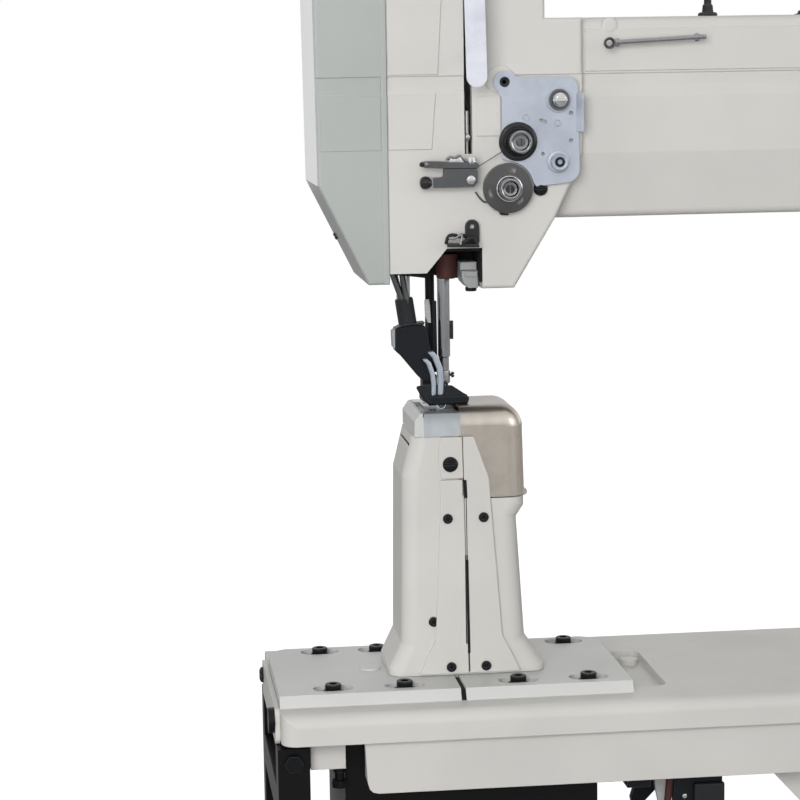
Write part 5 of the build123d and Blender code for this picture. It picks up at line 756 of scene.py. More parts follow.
    def soften(self, width: float, segments: int = 2, angle: float = 40.0) -> "Piece":
        """Rounds the piece's sharp edges.

        Args:
            width: How wide the rounding is.
            segments: How many faces it has.
            angle: The angle from which an edge counts as sharp, in degrees.

        Returns:
            The piece.
        """
        self.true_up()
        rounding = self.form.modifiers.new("rounding", "BEVEL")
        rounding.width, rounding.segments = width * MM, segments
        rounding.limit_method, rounding.angle_limit = "ANGLE", math.radians(angle)
        return self.apply(rounding)

    def done(self, finish: Finish, body: str = "machine", slot: str = "",
             stands: str = "") -> bpy.types.Object:
        """Finishes the piece and fits it to the machine.

        Args:
            finish: What it is finished in.
            body: The body that it moves with, or an empty name for none.
            slot: Meant as the record's slot, where that isn't the finish's own; not used.
            stands: The node that it replaces, if it does.

        Returns:
            The finished piece.
        """
        self.true_up()
        bpy.ops.object.transform_apply(location=True, rotation=True, scale=True)
        bpy.ops.object.shade_smooth_by_angle(angle=SMOOTH)
        shading = self.form.modifiers.new("shading", "WEIGHTED_NORMAL")
        shading.keep_sharp = True
        self.apply(shading)
        if body:
            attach(self.form, body)
        if stands:
            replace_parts(self.form, stands)
        dress(self.form, finish)
        LOG.info("made %s on %s", self.form.name, body or "two bodies")
        return self.form


def copied(model: bpy.types.Object, name: str, shift: Point) -> None:
    """Copies a finished piece, with its own mesh.

    Args:
        model: The finished piece.
        name: The copy's name.
        shift: The way from the piece to its copy, in millimetres.
    """
    Piece.take_up(model)
    bpy.ops.object.duplicate(linked=False)
    twin = bpy.context.active_object
    twin.name = twin.data.name = name
    if "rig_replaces" in twin:
        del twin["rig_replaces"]
    bpy.ops.transform.translate(value=Vector(shift) * MM)
    bpy.ops.object.transform_apply(location=True, rotation=True, scale=True)
    LOG.info("copied %s", name)


def socket_screw(name: str, seat: Point, axis: Vector, radius: float, height: float,
                 finish: Finish = BLACKED, **fit: str) -> bpy.types.Object:
    """Makes a cap screw with a hexagon socket.

    Args:
        name: Its name.
        seat: The middle of the face that its head sits on.
        axis: The way in which the head stands up.
        radius: The head's radius.
        height: The head's height.
        finish: What it is finished in.
        fit: Its body, slot and stands, as done() takes them.

    Returns:
        The screw.
    """
    profile = [(0, radius * 0.96), (0.15, radius), (height - 0.5, radius), (height, radius - 0.5)]
    head = Piece.turned(name, seat, axis, profile, 32)
    key = [(height * 0.4, radius * 0.56), (height + 1.0, radius * 0.56)]
    return head.cut(Piece.turned("key", seat, axis, key, 6)).done(finish, **fit)


def slotted_screw(name: str, seat: Point, axis: Vector, radius: float, height: float,
                  finish: Finish = BLACKED, **fit: str) -> bpy.types.Object:
    """Makes a domed screw with a driver slot.

    Args:
        name, seat, axis, radius, height, finish, fit: As socket_screw() takes them.

    Returns:
        The screw.
    """
    profile = [(0, radius), (height * 0.45, radius), (height * 0.8, radius * 0.86), (height, radius * 0.55)]
    head = Piece.turned(name, seat, axis, profile, 32)
    across = axis.cross(UP if abs(axis.z) < 0.5 else RIGHT).normalized()
    middle = Vector(seat) + axis * height
    reach, half = across * (radius + 1.0), max(0.35, radius * 0.13)
    corner = axis.cross(across) * half + reach + axis * height * 0.5
    return head.cut(Piece.block("driver", middle - corner, middle + corner)).done(finish, **fit)


# --------------------------------------------------------------------------- thread tensions
@dataclass
class TensionPlate:
    """Zinc plate on the head's front that carries the thread tensions."""

    face: float = -53.2         # Y of its front face
    gauge: float = 1.8
    lobe: tuple[float, float] = (31.8, 385.1)
    lobe_radius: float = 7.4
    holes: tuple[Point, ...] = (
        (44.6, 363.5, 1.7), (64.3, 359.7, 1.7), (72.6, 365.7, 1.2), (72.6, 348.8, 1.2), (55, 340.9, 1.1))

    def outline(self) -> list[tuple[float, float]]:
        """Draws the plate's edge: lobe, two round corners and the bite round the big discs.

        Returns:
            Its corners.
        """
        top = arc(self.lobe, self.lobe_radius, 232, 28, 10) + [(40.5, 388.2)]
        right = arc((70.6, 381.6), 6.4, 85, 0, 4) + arc((69.4, 331.4), 8.6, 0, -72, 5)
        bite = [(56, 321.4), (50.6, 320.9)] + arc((32.5, 320.3), 16.6, 12, 85, 5)
        return top + right + bite + [(29.4, 338.4), (29.4, 375.6)]

    def build(self) -> None:
        """Makes the plate, its bent tab, the casting's boss behind the lobe and its screw."""
        plate = Piece.front("tension_plate_zinc", self.outline(), self.face, self.gauge)
        holes = (*self.holes, (self.lobe[0] - 0.4, self.lobe[1] + 0.2, 3.2))
        drills = [Piece.turned("drill", (x, self.face - 1, z), AWAY, [(0, radius), (4, radius)], 16)
            for x, z, radius in holes]
        slit = Piece.front("slit", arc((53.8, 361.6), 1, 70, 250, 4) + arc((56.4, 360.6), 1, 250, 430, 4),
            self.face - 1, 4)
        plate.cut(*drills, slit).soften(0.35, 2).done(ZINC, stands="tension_plate")
        Piece.plate("tension_tab", [(75.8, -53.2, 378), (77.4, -54.4, 378), (79.8, -56.4, 378),
            (80.7, -55.4, 378), (78.2, -53, 378), (76.4, -51.4, 378)], DOWN * 24).soften(0.4).done(ZINC)
        Piece.turned("lobe_boss", (self.lobe[0] - 2.6, -49, self.lobe[1] + 1.8), TOWARDS, [(0, 9.6),
            (1.2, 8.9), (2, 8), (2.2, 6)]).done(CREAM)
        Piece.turned("lobe_socket", (self.lobe[0] - 0.4, -51, self.lobe[1] + 0.2), TOWARDS, [(0, 3.9),
            (0.5, 3.9), (0.9, 2.9), (0.4, 1.9), (0.2, 1.2)], 24).done(BLACK_SATIN)
        for index, (x, z) in enumerate(((44.6, 363.5), (64.3, 359.7))):
            Piece.turned(f"plate_rivet_{index}", (x, self.face, z), TOWARDS, [(0, 2.4), (0.25, 2.4),
                (0.45, 2), (0.2, 1.6), (-0.4, 1.4)], 20).done(ZINC)


@dataclass
class Tensions:
    """The three thread tensions, the thread stud and the check spring."""

    plate: float = -53.2
    pretension: Point = (64.6, -53.2, 374.1)
    upper: Point = (39.2, -53.2, 348.8)
    stud: Point = (64.4, -53.2, 336.0)
    main: Point = (32.5, -50.0, 320.3)
    main_radius: float = 15.5

    def pretension_screw(self) -> None:
        """The small tension at the plate's upper right: washer, collar and slotted cap."""
        Piece.turned("pretension_washer", self.pretension, TOWARDS, [(0, 8), (0.8, 8), (1.2, 7.6),
            (1.2, 6.4), (2.4, 6.2), (2.8, 5.6)]).done(ZINC, stands="tension_studs")
        Piece.turned("pretension_cup", self.pretension, TOWARDS, [(3, 4.4), (3.4, 6.3), (4.6, 6.6),
            (5.2, 6.2), (5.2, 5.2), (4.4, 4.9), (4.4, 3.4)]).done(
            DARK_STEEL, "pretension_knob", slot="bright", stands="pretension_knob")
        slotted_screw("pretension_cap", Vector(self.pretension) + TOWARDS * 4.5, TOWARDS, 4.7, 5.6, BRIGHT,
            body="pretension_knob")

    def upper_discs(self) -> None:
        """The black discs in the middle and their slotted stud."""
        Piece.turned("upper_discs", self.upper, TOWARDS, [(0, 10.4), (0.6, 11.8), (1.2, 12), (1.8, 11.4),
            (2.2, 9.8), (2, 9.2), (2.4, 8.8), (3, 8.6), (3.4, 8.1), (3.2, 7.7), (4.2, 7.4), (5.6, 7.2),
            (5.9, 6.6), (6.1, 5)], 56).done(GLOSS_BLACK)
        Piece.turned("upper_nut", self.upper, TOWARDS, [(6.2, 5.6), (6.6, 6.6), (7.4, 7.1), (11.6, 7.2),
            (12.4, 6.9), (12.9, 6.2), (12.5, 5.2), (10.4, 4.6), (10.2, 3)], 48).done(
            DARK_CHROME, "tension_nut", stands="tension_nut")
        end = Piece.turned("upper_stud_end", self.upper, TOWARDS, [(6, 2.7), (12.4, 2.7), (12.9, 2.2)], 24)
        driver = Piece.block("driver", (self.upper[0] - 0.55, self.plate - 14, self.upper[2] - 4),
            (self.upper[0] + 0.55, self.plate - 11, self.upper[2] + 4))
        end.cut(driver).done(DARK_STEEL)

    def thread_stud(self) -> None:
        """The flared thread stud at the plate's lower right."""
        Piece.turned("thread_stud", self.stud, TOWARDS, [(0, 6.9), (0.7, 7), (1.2, 6.6), (1.5, 5.4),
            (2.6, 4.6), (4.6, 4.4), (5.8, 4.9), (6.2, 5.2), (6.5, 4.9), (5.6, 3.6)]).done(ZINC)
        socket_screw("thread_stud_screw", Vector(self.stud) + TOWARDS * 3.4, TOWARDS, 3.1, 3.6)

    def main_discs(self) -> None:
        """The big dished discs with their cut-outs, the ring spring and the hub."""
        x, _, z = self.main
        for name, offset in (("main_disc_back", 2.7), ("main_disc_front", 5)):
            disc = Piece.turned(name, self.main, TOWARDS, [(offset, 14.4), (offset + 0.2, self.main_radius),
                (offset + 0.6, self.main_radius), (offset + 0.9, 15), (offset + 1.1, 9.4),
                (offset + 1.4, 8.6), (offset + 1.5, 5.4)], 64)
            windows = [Piece.front("window", arc((x, z), 12.6, turn - 14, turn + 14, 3) + arc((x, z), 10.4,
                turn + 12, turn - 12, 3), self.main[1] - 12, 14) for turn in (75, 195, 315)]
            stands = "main_tension" if name == "main_disc_front" else ""
            disc.cut(*windows).done(DISC_STEEL, "main_tension", stands=stands)
        Piece.coil("main_spring", (x, self.main[1] - 6.6, z), TOWARDS, 7.6, 0.62, 3.2, 4.8).done(
            BRIGHT, "main_tension")
        Piece.turned("main_hub", self.main, TOWARDS, [(6.4, 6.2), (10.6, 6.3), (11.2, 6.9), (15.8, 6.9),
            (16.5, 6.4), (16.9, 5.7), (16.5, 4.9), (14.2, 4.2), (13.8, 3)], 48).done(
            DARK_CHROME, "main_tension")
        end = Piece.turned("main_stud_end", self.main, TOWARDS, [(4, 2.7), (15.2, 2.7), (15.7, 2.3)], 24)
        driver = Piece.block("driver", (x - 0.5, self.main[1] - 18, z - 4),
            (x + 0.5, self.main[1] - 13.8, z + 4))
        end.cut(driver).done(BLACK_SATIN)
        Piece.front("disc_stop", [(27.4, 305.8), (33.4, 306.2), (33, 303.4), (28.2, 303.6)], -52.4,
            2.4, 0.5).done(BLACK_SATIN)

    def check_spring(self) -> None:
        """The check spring's wire, its ring and the fine thread lead above it."""
        Piece.coil("check_spring_ring", (self.main[0], -50.5, self.main[2]), TOWARDS, 9, 0.4, 2, 1.6).done(
            DARK_STEEL, "check_spring")
        Piece.wire("check_spring_wire", [(32, -51.9, 311.3), (27.5, -51.9, 311.6), (22.4, -51.9, 312),
            (18, -51.9, 311.6), (15, -51.9, 314.6), (12.6, -51.9, 318.4)], 0.55).done(
            DARK_STEEL, "check_spring", stands="check_spring")
        Piece.wire("thread_lead", [(11.6, -57, 332.2), (14, -58.5, 334.4), (19, -57, 337.2),
            (26, -54.8, 341), (30.4, -53.8, 343.6)], 0.3).done(DARK_STEEL)

    def build(self) -> None:
        """Makes all the tensions."""
        self.pretension_screw()
        self.upper_discs()
        self.thread_stud()
        self.main_discs()
        self.check_spring()
        slotted_screw("plate_rest_screw", (53.6, -50, 319.4), TOWARDS, 4.4, 3.2)


# ----------------------------------------------------------------------------- thread guides
@dataclass
class ThreadGuides:
    """Thread guides on the head's face, the rod along the arm and the post on its top."""

    finger_end: float = -21.6
    lower_z: float = 324.7
    rod_start: Point = (99.0, -53.0, 408.2)
    rod_end: Point = (157.8, -53.0, 411.0)

    def fingers(self) -> None:
        """The two fingers, the block that holds them and the wavy clip above."""
        Piece.front("finger_block", [(-7.2, 333.2), (12.4, 333), (13.5, 331.6), (13.3, 324.4),
            (10.8, 321.7), (-7.4, 321.6), (-14.4, 321.7), (-14.4, 327.6), (-7.6, 328.2)], -58.6,
            8.6, 0.5).soften(0.4).done(DARK_CAST, stands="thread_guides")
        Piece.front("upper_finger", [(self.finger_end, 337.7), (-16, 338.2), (13.2, 336.6), (14.2, 335.2),
            (13.6, 333.3), (-6, 333.4), (-20, 334.2), (self.finger_end, 334.6)], -60,
            4.6, 0.4).soften(0.5).done(DARK_STEEL)
        for index, x in enumerate((self.finger_end, self.finger_end + 2.9)):
            Piece.turned(f"finger_bead_{index}", (x, -59.9, 336.1), TOWARDS, [(-0.8, 0.8), (-0.4, 1.3),
                (0.2, 1.5), (0.7, 1.2), (1, 0.6)], 16).done(
                BLACK_SATIN if index == 0 else DARK_CHROME, slot="steel")
        Piece.front("lower_finger", [(-17, 327.6), (-7, 328.4), (-7, 321.7), (-17, 321.6)], -57.6,
            4.6, 0.4).soften(0.5).done(PALE_STEEL)
        Piece.turned("lower_finger_ball", (-22.4, -55.6, self.lower_z), RIGHT, [(0, 1.2), (0.5, 2.6),
            (1.5, 3.6), (3.2, 4.1), (5, 3.8), (6.4, 3.2), (7.2, 2.6)], 28).done(GLOSS_BLACK)
        Piece.plate("finger_clip", [(x, y, 336.8) for x, y in ((-5.8, -58.4), (-3.4, -60.2), (-0.6, -58.6),
            (2.2, -60.4), (5.4, -58.8), (5.2, -57.6), (2.2, -59), (-0.6, -57.4), (-3.4, -58.9),
            (-5.4, -57.3))], UP * 3.6).soften(0.3).done(BRIGHT)
        Piece.wire("finger_fold", [(-6.4, -59.4, 338.6), (-4.4, -60, 341.2), (-1.2, -59.8, 339.4),
            (1.6, -60, 341.8), (4.2, -59.6, 338.8), (7, -59.6, 337.6)], 0.8).done(DARK_CHROME)
        slotted_screw("finger_screw_upper", (9.6, -58, 337.6), Vector((-0.1, -0.8, 0.6)).normalized(), 3,
            2.4, BRIGHT)
        slotted_screw("finger_screw_lower", (8.9, -58.6, 326.2), TOWARDS, 2.9, 1.6, BRIGHT)

    def lower_guide(self) -> None:
        """The black tab with its eye and the twisted clip over the needle bar's window."""
        tab = Piece.front("guide_tab", arc((10.3, 297), 4.4, 180, 0, 8) + [(14.8, 288), (13.4, 284.2),
            (6.6, 284.4), (5.9, 289)], -53.2, 3.2)
        eye = Piece.turned("drill", (10.2, -56, 297.1), AWAY, [(0, 1.5), (8, 1.5)], 20)
        tab.cut(eye).soften(0.5).done(BLACK_SATIN)
        Piece.plate("guide_shelf", [(-6.6, -60, 285.2), (13.8, -58.4, 284.4), (13.8, -50, 284.4),
            (-5, -50, 285.2)], UP * 2, 0.8).soften(0.5).done(BLACK_SATIN)
        Piece.wire("guide_twist_back", [(-6.8, -57.6, 287), (-6.4, -58.4, 291.6), (-2.6, -58.8, 293),
            (1.4, -57.6, 291), (4.2, -56, 292.6), (7.2, -54.6, 290.4)], 1.1).done(BLACK_SATIN)
        Piece.wire("guide_twist_front", [(-5.4, -60.2, 290.8), (-1.8, -61.2, 290.2), (1.4, -60.8, 292.6),
            (3.2, -59.2, 293.4), (1.8, -60.4, 289.6), (1.6, -60.8, 286.6)], 0.75).done(
            DARK_CHROME, slot="black_oxide")
        Piece.wire("guide_twist_low", [(3, -59, 287.2), (6, -59.8, 289.4), (8.6, -58.4, 291),
            (11.6, -57, 288.8), (12.2, -56.6, 286.2)], 1.3).done(BLACK_SATIN)

    def arm_rod(self) -> None:
        """The threaded rod along the arm's front, its eyelet and the plug above its end."""
        start, end = Vector(self.rod_start), Vector(self.rod_end)
        run = end - start
        Piece.turned("arm_rod", self.rod_start, run, [(0, 1.35), (run.length, 1.35)], 16).done(DARK_CHROME)
        Piece.coil("arm_rod_thread", start + run * 0.06, run.normalized(), 1.35, 0.36, 34,
            run.length * 0.92).done(DARK_CHROME)
        Piece.turned("arm_rod_eyelet", (96.6, -54.4, 408), TOWARDS, [(0, 3.4), (0.6, 3.7), (1.4, 3.7),
            (2, 3.2), (1.2, 2.2), (0, 1.9), (-1.6, 2.2), (-1.6, 3), (0, 3.4)], 28, ring=True).done(
            DARK_STEEL, slot="bright")
        for index, share in enumerate((0.07, 0.93)):
            x, _, z = start + run * share
            Piece.turned(f"arm_rod_pillar_{index}", (x, -45.4, z), TOWARDS, [(0, 2.6), (0.6, 2.6), (1, 1.7),
                (7.2, 1.6)], 20).done(DARK_CHROME)
        Piece.turned("arm_plug", (98.6, -44.8, 418.6), TOWARDS, [(0, 5.2), (0.6, 5), (1.2, 4),
            (1.5, 2.2)], 32).done(CREAM)

    def top_post(self) -> None:
        """The black thread post on the arm's top."""
        post = Piece.turned("top_post", (167, -20, 423.9), UP, [(0, 6), (1.4, 6.2), (2.4, 5.6), (2.8, 3.6),
            (7, 3.2), (7.8, 2.4), (20, 2.2), (21, 3), (22, 2.4)], 32)
        hole = Piece.turned("drill", (157, -20, 440), RIGHT, [(0, 0.9), (20, 0.9)], 12)
        post.cut(hole).done(BLACK_SATIN)

    def build(self) -> None:
        """Makes all the guides."""
        self.fingers()
        self.lower_guide()
        self.arm_rod()
        self.top_post()


# -------------------------------------------------------------------- needle bar and presser
@dataclass
class NeedleWindow:
    """What shows in the head's lower notch: painted shade lining the well, brown bush and cast guide block.
    """

    def build(self) -> None:
        """Makes the painted shade lining the well, the bush, the guide block with its screw and the felt
        strip.
        """
        # painted shade: matt black sheets stand for the shade on the notch's back, roof and cheek
        Piece.front("needle_well_shade", [(-30, 268.8), (-17, 268.8), (-4.6, 283.3), (16.6, 283.3), (16.6, 262),
            (4, 262), (-14, 265), (-30, 266.6)], -15, 1.6).soften(0.3).done(SHADE_AND_FELT_BLACK, slot="cast")
        Piece.block("needle_well_roof_shade", (-16, -49.8, 281.6), (16.7, -14, 283.4)).pick(
            lambda _, normal: normal.z < -0.9).inset(2, 0.5).soften(0.2).done(SHADE_AND_FELT_BLACK, slot="cast")
        Piece.block("needle_well_cheek_shade", (15.6, -49.8, 262), (16.75, -15, 283)).pick(
            lambda _, normal: normal.x < -0.9).inset(2, 0.3).soften(0.2).done(SHADE_AND_FELT_BLACK, slot="cast")
        Piece.turned("needle_bar_guide", (-2.2, -22, 262.6), UP, [(0, 5.4), (0.8, 6.2), (4, 6.4),
            (9.4, 6.8), (15.6, 8.2)], 36).done(BROWN_IRON)
        block = Piece.front("guide_casting", [(5.2, 273.6), (15.6, 273.6), (15.6, 257.6), (9.4, 257.6),
            (6.6, 260.6), (5.2, 264)], -40, 24, 0.6)
        step = Piece.block("step", (2, -45, 268.6), (17, -34, 276))
        block.cut(step).soften(0.9, 3).done(PALE_CAST, slot="cast")
        Piece.front("guide_casting_cap", [(7.2, 268.2), (15, 268.2), (15, 264.8), (7.2, 264.8)], -41.2,
            2, 0.5).soften(0.4).done(PALE_CAST, slot="cast")
        socket_screw("guide_casting_screw", (12.2, -31, 257.6), DOWN, 3.6, 2.6)
        Piece.front("felt_strip", [(-38, 268.6), (-15.2, 268.6), (-15.2, 263.6), (-24, 264.8),
            (-38, 266.4)], -30, 8, 0.4).soften(0.3).done(SHADE_AND_FELT_BLACK)


@dataclass
class NeedleBar:
    """Needle bar, its clamp and the needle."""

    x: float = -1.2

    def build(self) -> None:
        """Makes the bar's stepped end, the clamp with its screw, and the needle."""
        Piece.turned("needle_bar_steel", (self.x, 0, 196.6), UP, [(0, 2.6), (0.5, 3.1), (13, 3.1),
            (13.5, 3.6), (14.2, 3.95), (62, 3.95), (62.4, 4), (226, 4), (227, 3.4)], 48).done(
            BAR_STEEL, "needle_bar", stands="needle_bar")
        clamp = Piece.turned("needle_clamp", (self.x, 0, 192.6), UP, [(0, 2.3), (0.4, 3.3), (1.2, 3.7),
            (8, 3.8), (8.6, 3.5), (9, 3)], 32)
        groove = Piece.turned("groove", (self.x, 0, 196.4), UP, [(0, 3.5), (0, 5), (0.7, 5), (0.7, 3.5),
            (0, 3.5)], 32, ring=True)
        clamp.cut(groove).done(PALE_STEEL, "needle_bar", slot="bright")
        Piece.turned("needle_screw_shank", (self.x + 2.8, -0.4, 198.2), RIGHT, [(0, 0.9),
            (2.6, 0.9)], 12).done(BLACK_SATIN, "needle_bar")
        slotted_screw("needle_screw", (self.x + 4.6, -0.4, 198.2), RIGHT, 1.9, 1.8, BLACK_SATIN,
            body="needle_bar")
        Piece.wire("needle_thread_eye", [(self.x - 3.2, -2, 196), (self.x - 4.4, -3.4, 195.4),
            (self.x - 3, -5, 195), (self.x - 0.4, -4.6, 195.2), (self.x - 0.6, -3.2, 195.6)], 0.4).done(
            BRIGHT, "needle_bar")
        blade = Piece.turned("needle_blade", (self.x, 0, 170), UP, [(0, 0.12), (3.2, 0.62), (21, 0.72),
            (22.2, 0.98), (27, 0.98)], 20)
        eye = Piece.block("eye", (self.x - 0.24, -2, 174), (self.x + 0.24, 2, 176))
        blade.cut(eye).done(BRIGHT, "needle_bar", stands="needle")
        Piece.turned("needle_bar_clamp", (self.x, 0, 326), UP, [(0, 6), (0.5, 6.5), (11.5, 6.5),
            (12, 6)], 32).done(GROUND, "needle_bar")


@dataclass
class PresserFeet:
    """Presser bar, foot block, bent arms, outer foot and the guards beside them."""

    spring_seat: float = 264.0      # height at which the foot's springs meet the head

    def bar(self) -> None:
        """The presser bar's sleeve and the two close-wound springs above it."""
        Piece.turned("foot_sleeve", (-24.2, 0, 230), Vector((-2.8, 0, 19)), [(0, 5.9), (17.6, 5.9),
            (18.6, 5.5), (18.8, 4.2), (16, 3.8)], 36).done(BLACK_SATIN, "presser")
        springs = (((-27.6, -2.6, 246), (-36, -2.6, 270), 2.2), ((-25.2, -3.8, 246), (-29.2, -3.8, 270), 2))
        for index, (foot, top, gauge) in enumerate(springs):
            run = Vector(top) - Vector(foot)
            coils = [(run.length * turn / 40, gauge * (0.9 if turn % 2 else 1)) for turn in range(41)]
            spring = Piece.turned(f"foot_spring_{index}", foot, run, coils, 16)
            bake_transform(spring.done(DARK_STEEL, "", slot="bright"))

    def block(self) -> None:
        """The wedge that carries the foot, its side plate and the collar on its top."""
        Piece.front("foot_block", [(-33.6, 230), (-33.8, 215.6), (-29.6, 211.6), (-18.6, 198),
            (-15.4, 195.4), (-12, 195.2), (-10.6, 200), (-10.2, 210.4), (-12, 221), (-14.4, 231.2),
            (-22, 232)], -8.7, 13.9, 0.8).soften(1.3, 3).done(
            BLACK_CAST, "presser", stands="presser_foot_block")
        Piece.front("foot_block_cheek", [(-35.4, 228), (-33.4, 229.4), (-33.4, 216.4), (-35, 217.6)], -7.2,
            10, 0.4).soften(0.4).done(PALE_CAST, "presser")
        Piece.front("foot_block_rim", [(-33, 229.8), (-15, 231.6), (-14.2, 233.4), (-20.6, 232.8),
            (-28, 232.6)], -6.8, 10.6, 0.3).soften(0.4).done(BLACK_SATIN, "presser")

    def arms(self) -> None:
        """The two bent steel arms in front of the block."""
        behind = [(-15.8, 210.6), (-12.8, 207.4), (-10.6, 201), (-9.8, 194.6), (-10, 186.4)]
        before = [(-11.8, 215), (-8.6, 211.4), (-5.8, 204), (-5.1, 196.6), (-5.6, 186.4)]
        for index, (points, wide) in enumerate(((behind, 3.1), (before, 3.9))):
            left = [(x - wide / 2, z - 0.4) for x, z in points]
            right = [(x + wide / 2, z + 0.4) for x, z in reversed(points)]
            arm = Piece.front(f"foot_arm_{index}", left + right, -13.6 + 0.4 * index, 5 - 0.4 * index)
            stands = "" if index else "presser_foot_arms"
            arm.soften(1.1, 3, 50).done(ARM_STEEL, "presser", stands=stands)

    def foot(self) -> None:
        """The outer foot with its turned-up toe, and the bright loop under it."""
        outline = [(-21, -10.6, 193), (-15.6, -11.4, 194), (-10, -11.6, 193.8), (-4, -11.8, 193.6),
            (2, -11.8, 193.2), (6.4, -12, 190.2), (11.6, -12.8, 186.6), (13, -14.2, 185),
            (11.6, -15.2, 182.2), (-13.2, -15.4, 181.8), (-15.8, -13.8, 184.6), (-19.2, -12, 189.6)]
        Piece.plate("foot_toe", outline, DOWN * 1.9 + AWAY * 1.2).soften(0.7, 3, 20).done(
            BLACK_CAST, "presser", stands="presser_foot")
        sole = Piece.plate("foot_sole", [(x, y, 181.7) for x, y in ((-12.6, -15), (11.2, -15), (12.6, -8),
            (9.6, 11.6), (-16.4, 11.6), (-16, -4))], UP * 4.4, 1)
        window = Piece.block("window", (-5.4, -11.4, 178), (3, 14, 192))
        sole.cut(window).soften(0.6).done(BLACK_CAST, "presser")
        Piece.front("foot_neck", [(-16.4, 199), (-6.8, 199), (-6.6, 184.6), (-16.4, 184.6)], -6,
            11, 0.5).soften(0.8).done(BLACK_CAST, "presser")
        Piece.wire("toe_loop", [(x, -15, z) for x, z in arc((-5.4, 181.3), 2.9, 188, 352, 8)], 0.34).done(
            BRIGHT, "presser")

    def guards(self) -> None:
        """The guard strip left of the bar, the black finger behind it and the pin to its right."""
        Piece.front("bar_guard", [(-14.2, 247.6), (-11.4, 248.2), (-10.6, 243), (-10.2, 232.6),
            (-12.4, 233), (-14, 238)], -6.4, 1.6, 0.4).soften(0.4).done(PALE_CAST)
        Piece.front("inner_foot_shank", [(-11.6, 245.4), (-4.6, 245.4), (-4.4, 208), (-9.6, 200),
            (-12.8, 205), (-12.2, 224)], 8.3, 2.4, 0.5).soften(0.6).done(BLACK_SATIN, "inner_foot")
        Piece.turned("bar_stop_pin", (4, 0.6, 221.2), UP, [(0, 0.9), (0.4, 1.1), (11.4, 1.1),
            (12, 0.8)], 20).done(BLACK_SATIN, "needle_bar")

    def build(self) -> None:
        """Makes the presser's pieces."""
        self.bar()
        self.block()
        self.arms()
        self.foot()
        self.guards()


# ---------------------------------------------------------------------------- post and bed
@dataclass
class PostFittings:
    """Screws of the post, and thin plates of painted shade along its slot and seam lines."""

    face: float = -34.0
    screws: tuple[Point, ...] = (
        (-2.8, 145.2, 4.9, 1.6), (-4.9, 110.2, 3.2, 1.4), (18.2, 110.4, 3.2, 1.4), (-3.7, 13.3, 3.2, 1.4),
        (18.9, 13.3, 3.2, 1.4))
    seams: tuple[tuple[str, Outline], ...] = (
        ("post_slot_upper_shade", ((5.5, 134.8), (7.5, 134.8), (8, 123.2), (6.2, 123.2))),
        ("post_slot_lower_shade", ((6.7, 83), (8.1, 83), (8.8, 21.9), (7.1, 21.9))),
        ("post_seam_upper_shade", ((6.9, 123.2), (7.4, 123.2), (7.6, 83), (7.1, 83))),
        ("post_seam_lower_shade", ((7.8, 21.9), (8.3, 21.9), (8.5, 10), (8, 10))))

    def build(self) -> None:
        """Makes the cover screws, the side screw, the painted shade in the slot and seam lines, and the
        needle plate's screws.
        """
        for index, (x, z, radius, height) in enumerate(self.screws):
            maker, stands = (socket_screw, "") if index else (slotted_screw, "post_screws")
            maker(f"post_screw_{index}", (x, self.face, z), TOWARDS, radius, height, stands=stands)
        socket_screw("post_side_screw", (-14.6, -32, 43), TOWARDS, 3.1, 1.4)
        # painted shade: thin matt black plates stand for the shade inside the slot and seam lines
        for name, outline in self.seams:
            Piece.front(name, outline, self.face - 0.12, 0.9).pick(
                lambda _, normal: normal.y < -0.9).inset(0.12, 0.08).done(SHADE_AND_FELT_BLACK)
        for index, (x, y) in enumerate(((-11.6, -17), (-11.6, 15))):
            slotted_screw(f"needle_plate_screw_{index}", (x, y, 177.6), UP, 2.6, 0.9, DARK_STEEL)


@dataclass
class BedFittings:
    """Bolts, washers and plugs on the bed."""

    plate_front: float = -68.0
    bolts: tuple[Point, ...] = ((-81.6, -50), (-36, -50), (-82, 45), (-43.5, 45), (37, -50), (82.5, -50),
                                (84, 45), (44, 45))

    def build(self) -> None:
        """Makes one bolt and its washer and copies them, then the plug, the painted shade in the plates' gap
        and the end fittings.
        """
        first = self.bolts[0]
        washer = Piece.turned("bed_washer_0", (*first, 4.35), UP, [(0, 6.2), (0.3, 6.6), (0.9, 6.6),
            (1.2, 6.2), (1.2, 4.6), (0, 4.6), (0, 6.2)], 36, ring=True).done(BLACK_SATIN)
        bolt = socket_screw("bed_bolt_0", (*first, 5.2), UP, 5.2, 5, stands="bed_plate_bolts")
        for index, (x, y) in enumerate(self.bolts[1:], start=1):
            shift = Vector((x - first[0], y - first[1], 0))
            copied(washer, f"bed_washer_{index}", shift)
            copied(bolt, f"bed_bolt_{index}", shift)
        Piece.turned("bed_plug", (-53.6, -6, 7.4), UP, [(0, 6.3), (0.5, 6.3), (1, 5.7), (1.25, 4),
            (1.3, 2)]).done(CREAM)
        slotted_screw("end_plate_bolt_front", (-120, -63, -8), LEFT, 7.4, 4)
        slotted_screw("end_plate_bolt_back", (-120, 50, -8), LEFT, 5.2, 2.6)
        # painted shade: a matt black strip stands for the shade in the gap between the bed plates
        Piece.plate("plate_gap_shade", [(-1.95, self.plate_front + 1, 0.1), (-1.95, self.plate_front + 6, 5.8),
            (-1.95, -32.3, 5.8), (-1.95, -32.3, 0.1)], RIGHT * 3.1).soften(0.2).done(SHADE_AND_FELT_BLACK)
        Piece.turned("lug_nut", (-79.9, -64, -53.2), UP, [(0, 4.6), (0.6, 5.4), (4.6, 5.4),
            (5.2, 4.8)], 6).soften(0.3).done(BLACKED)


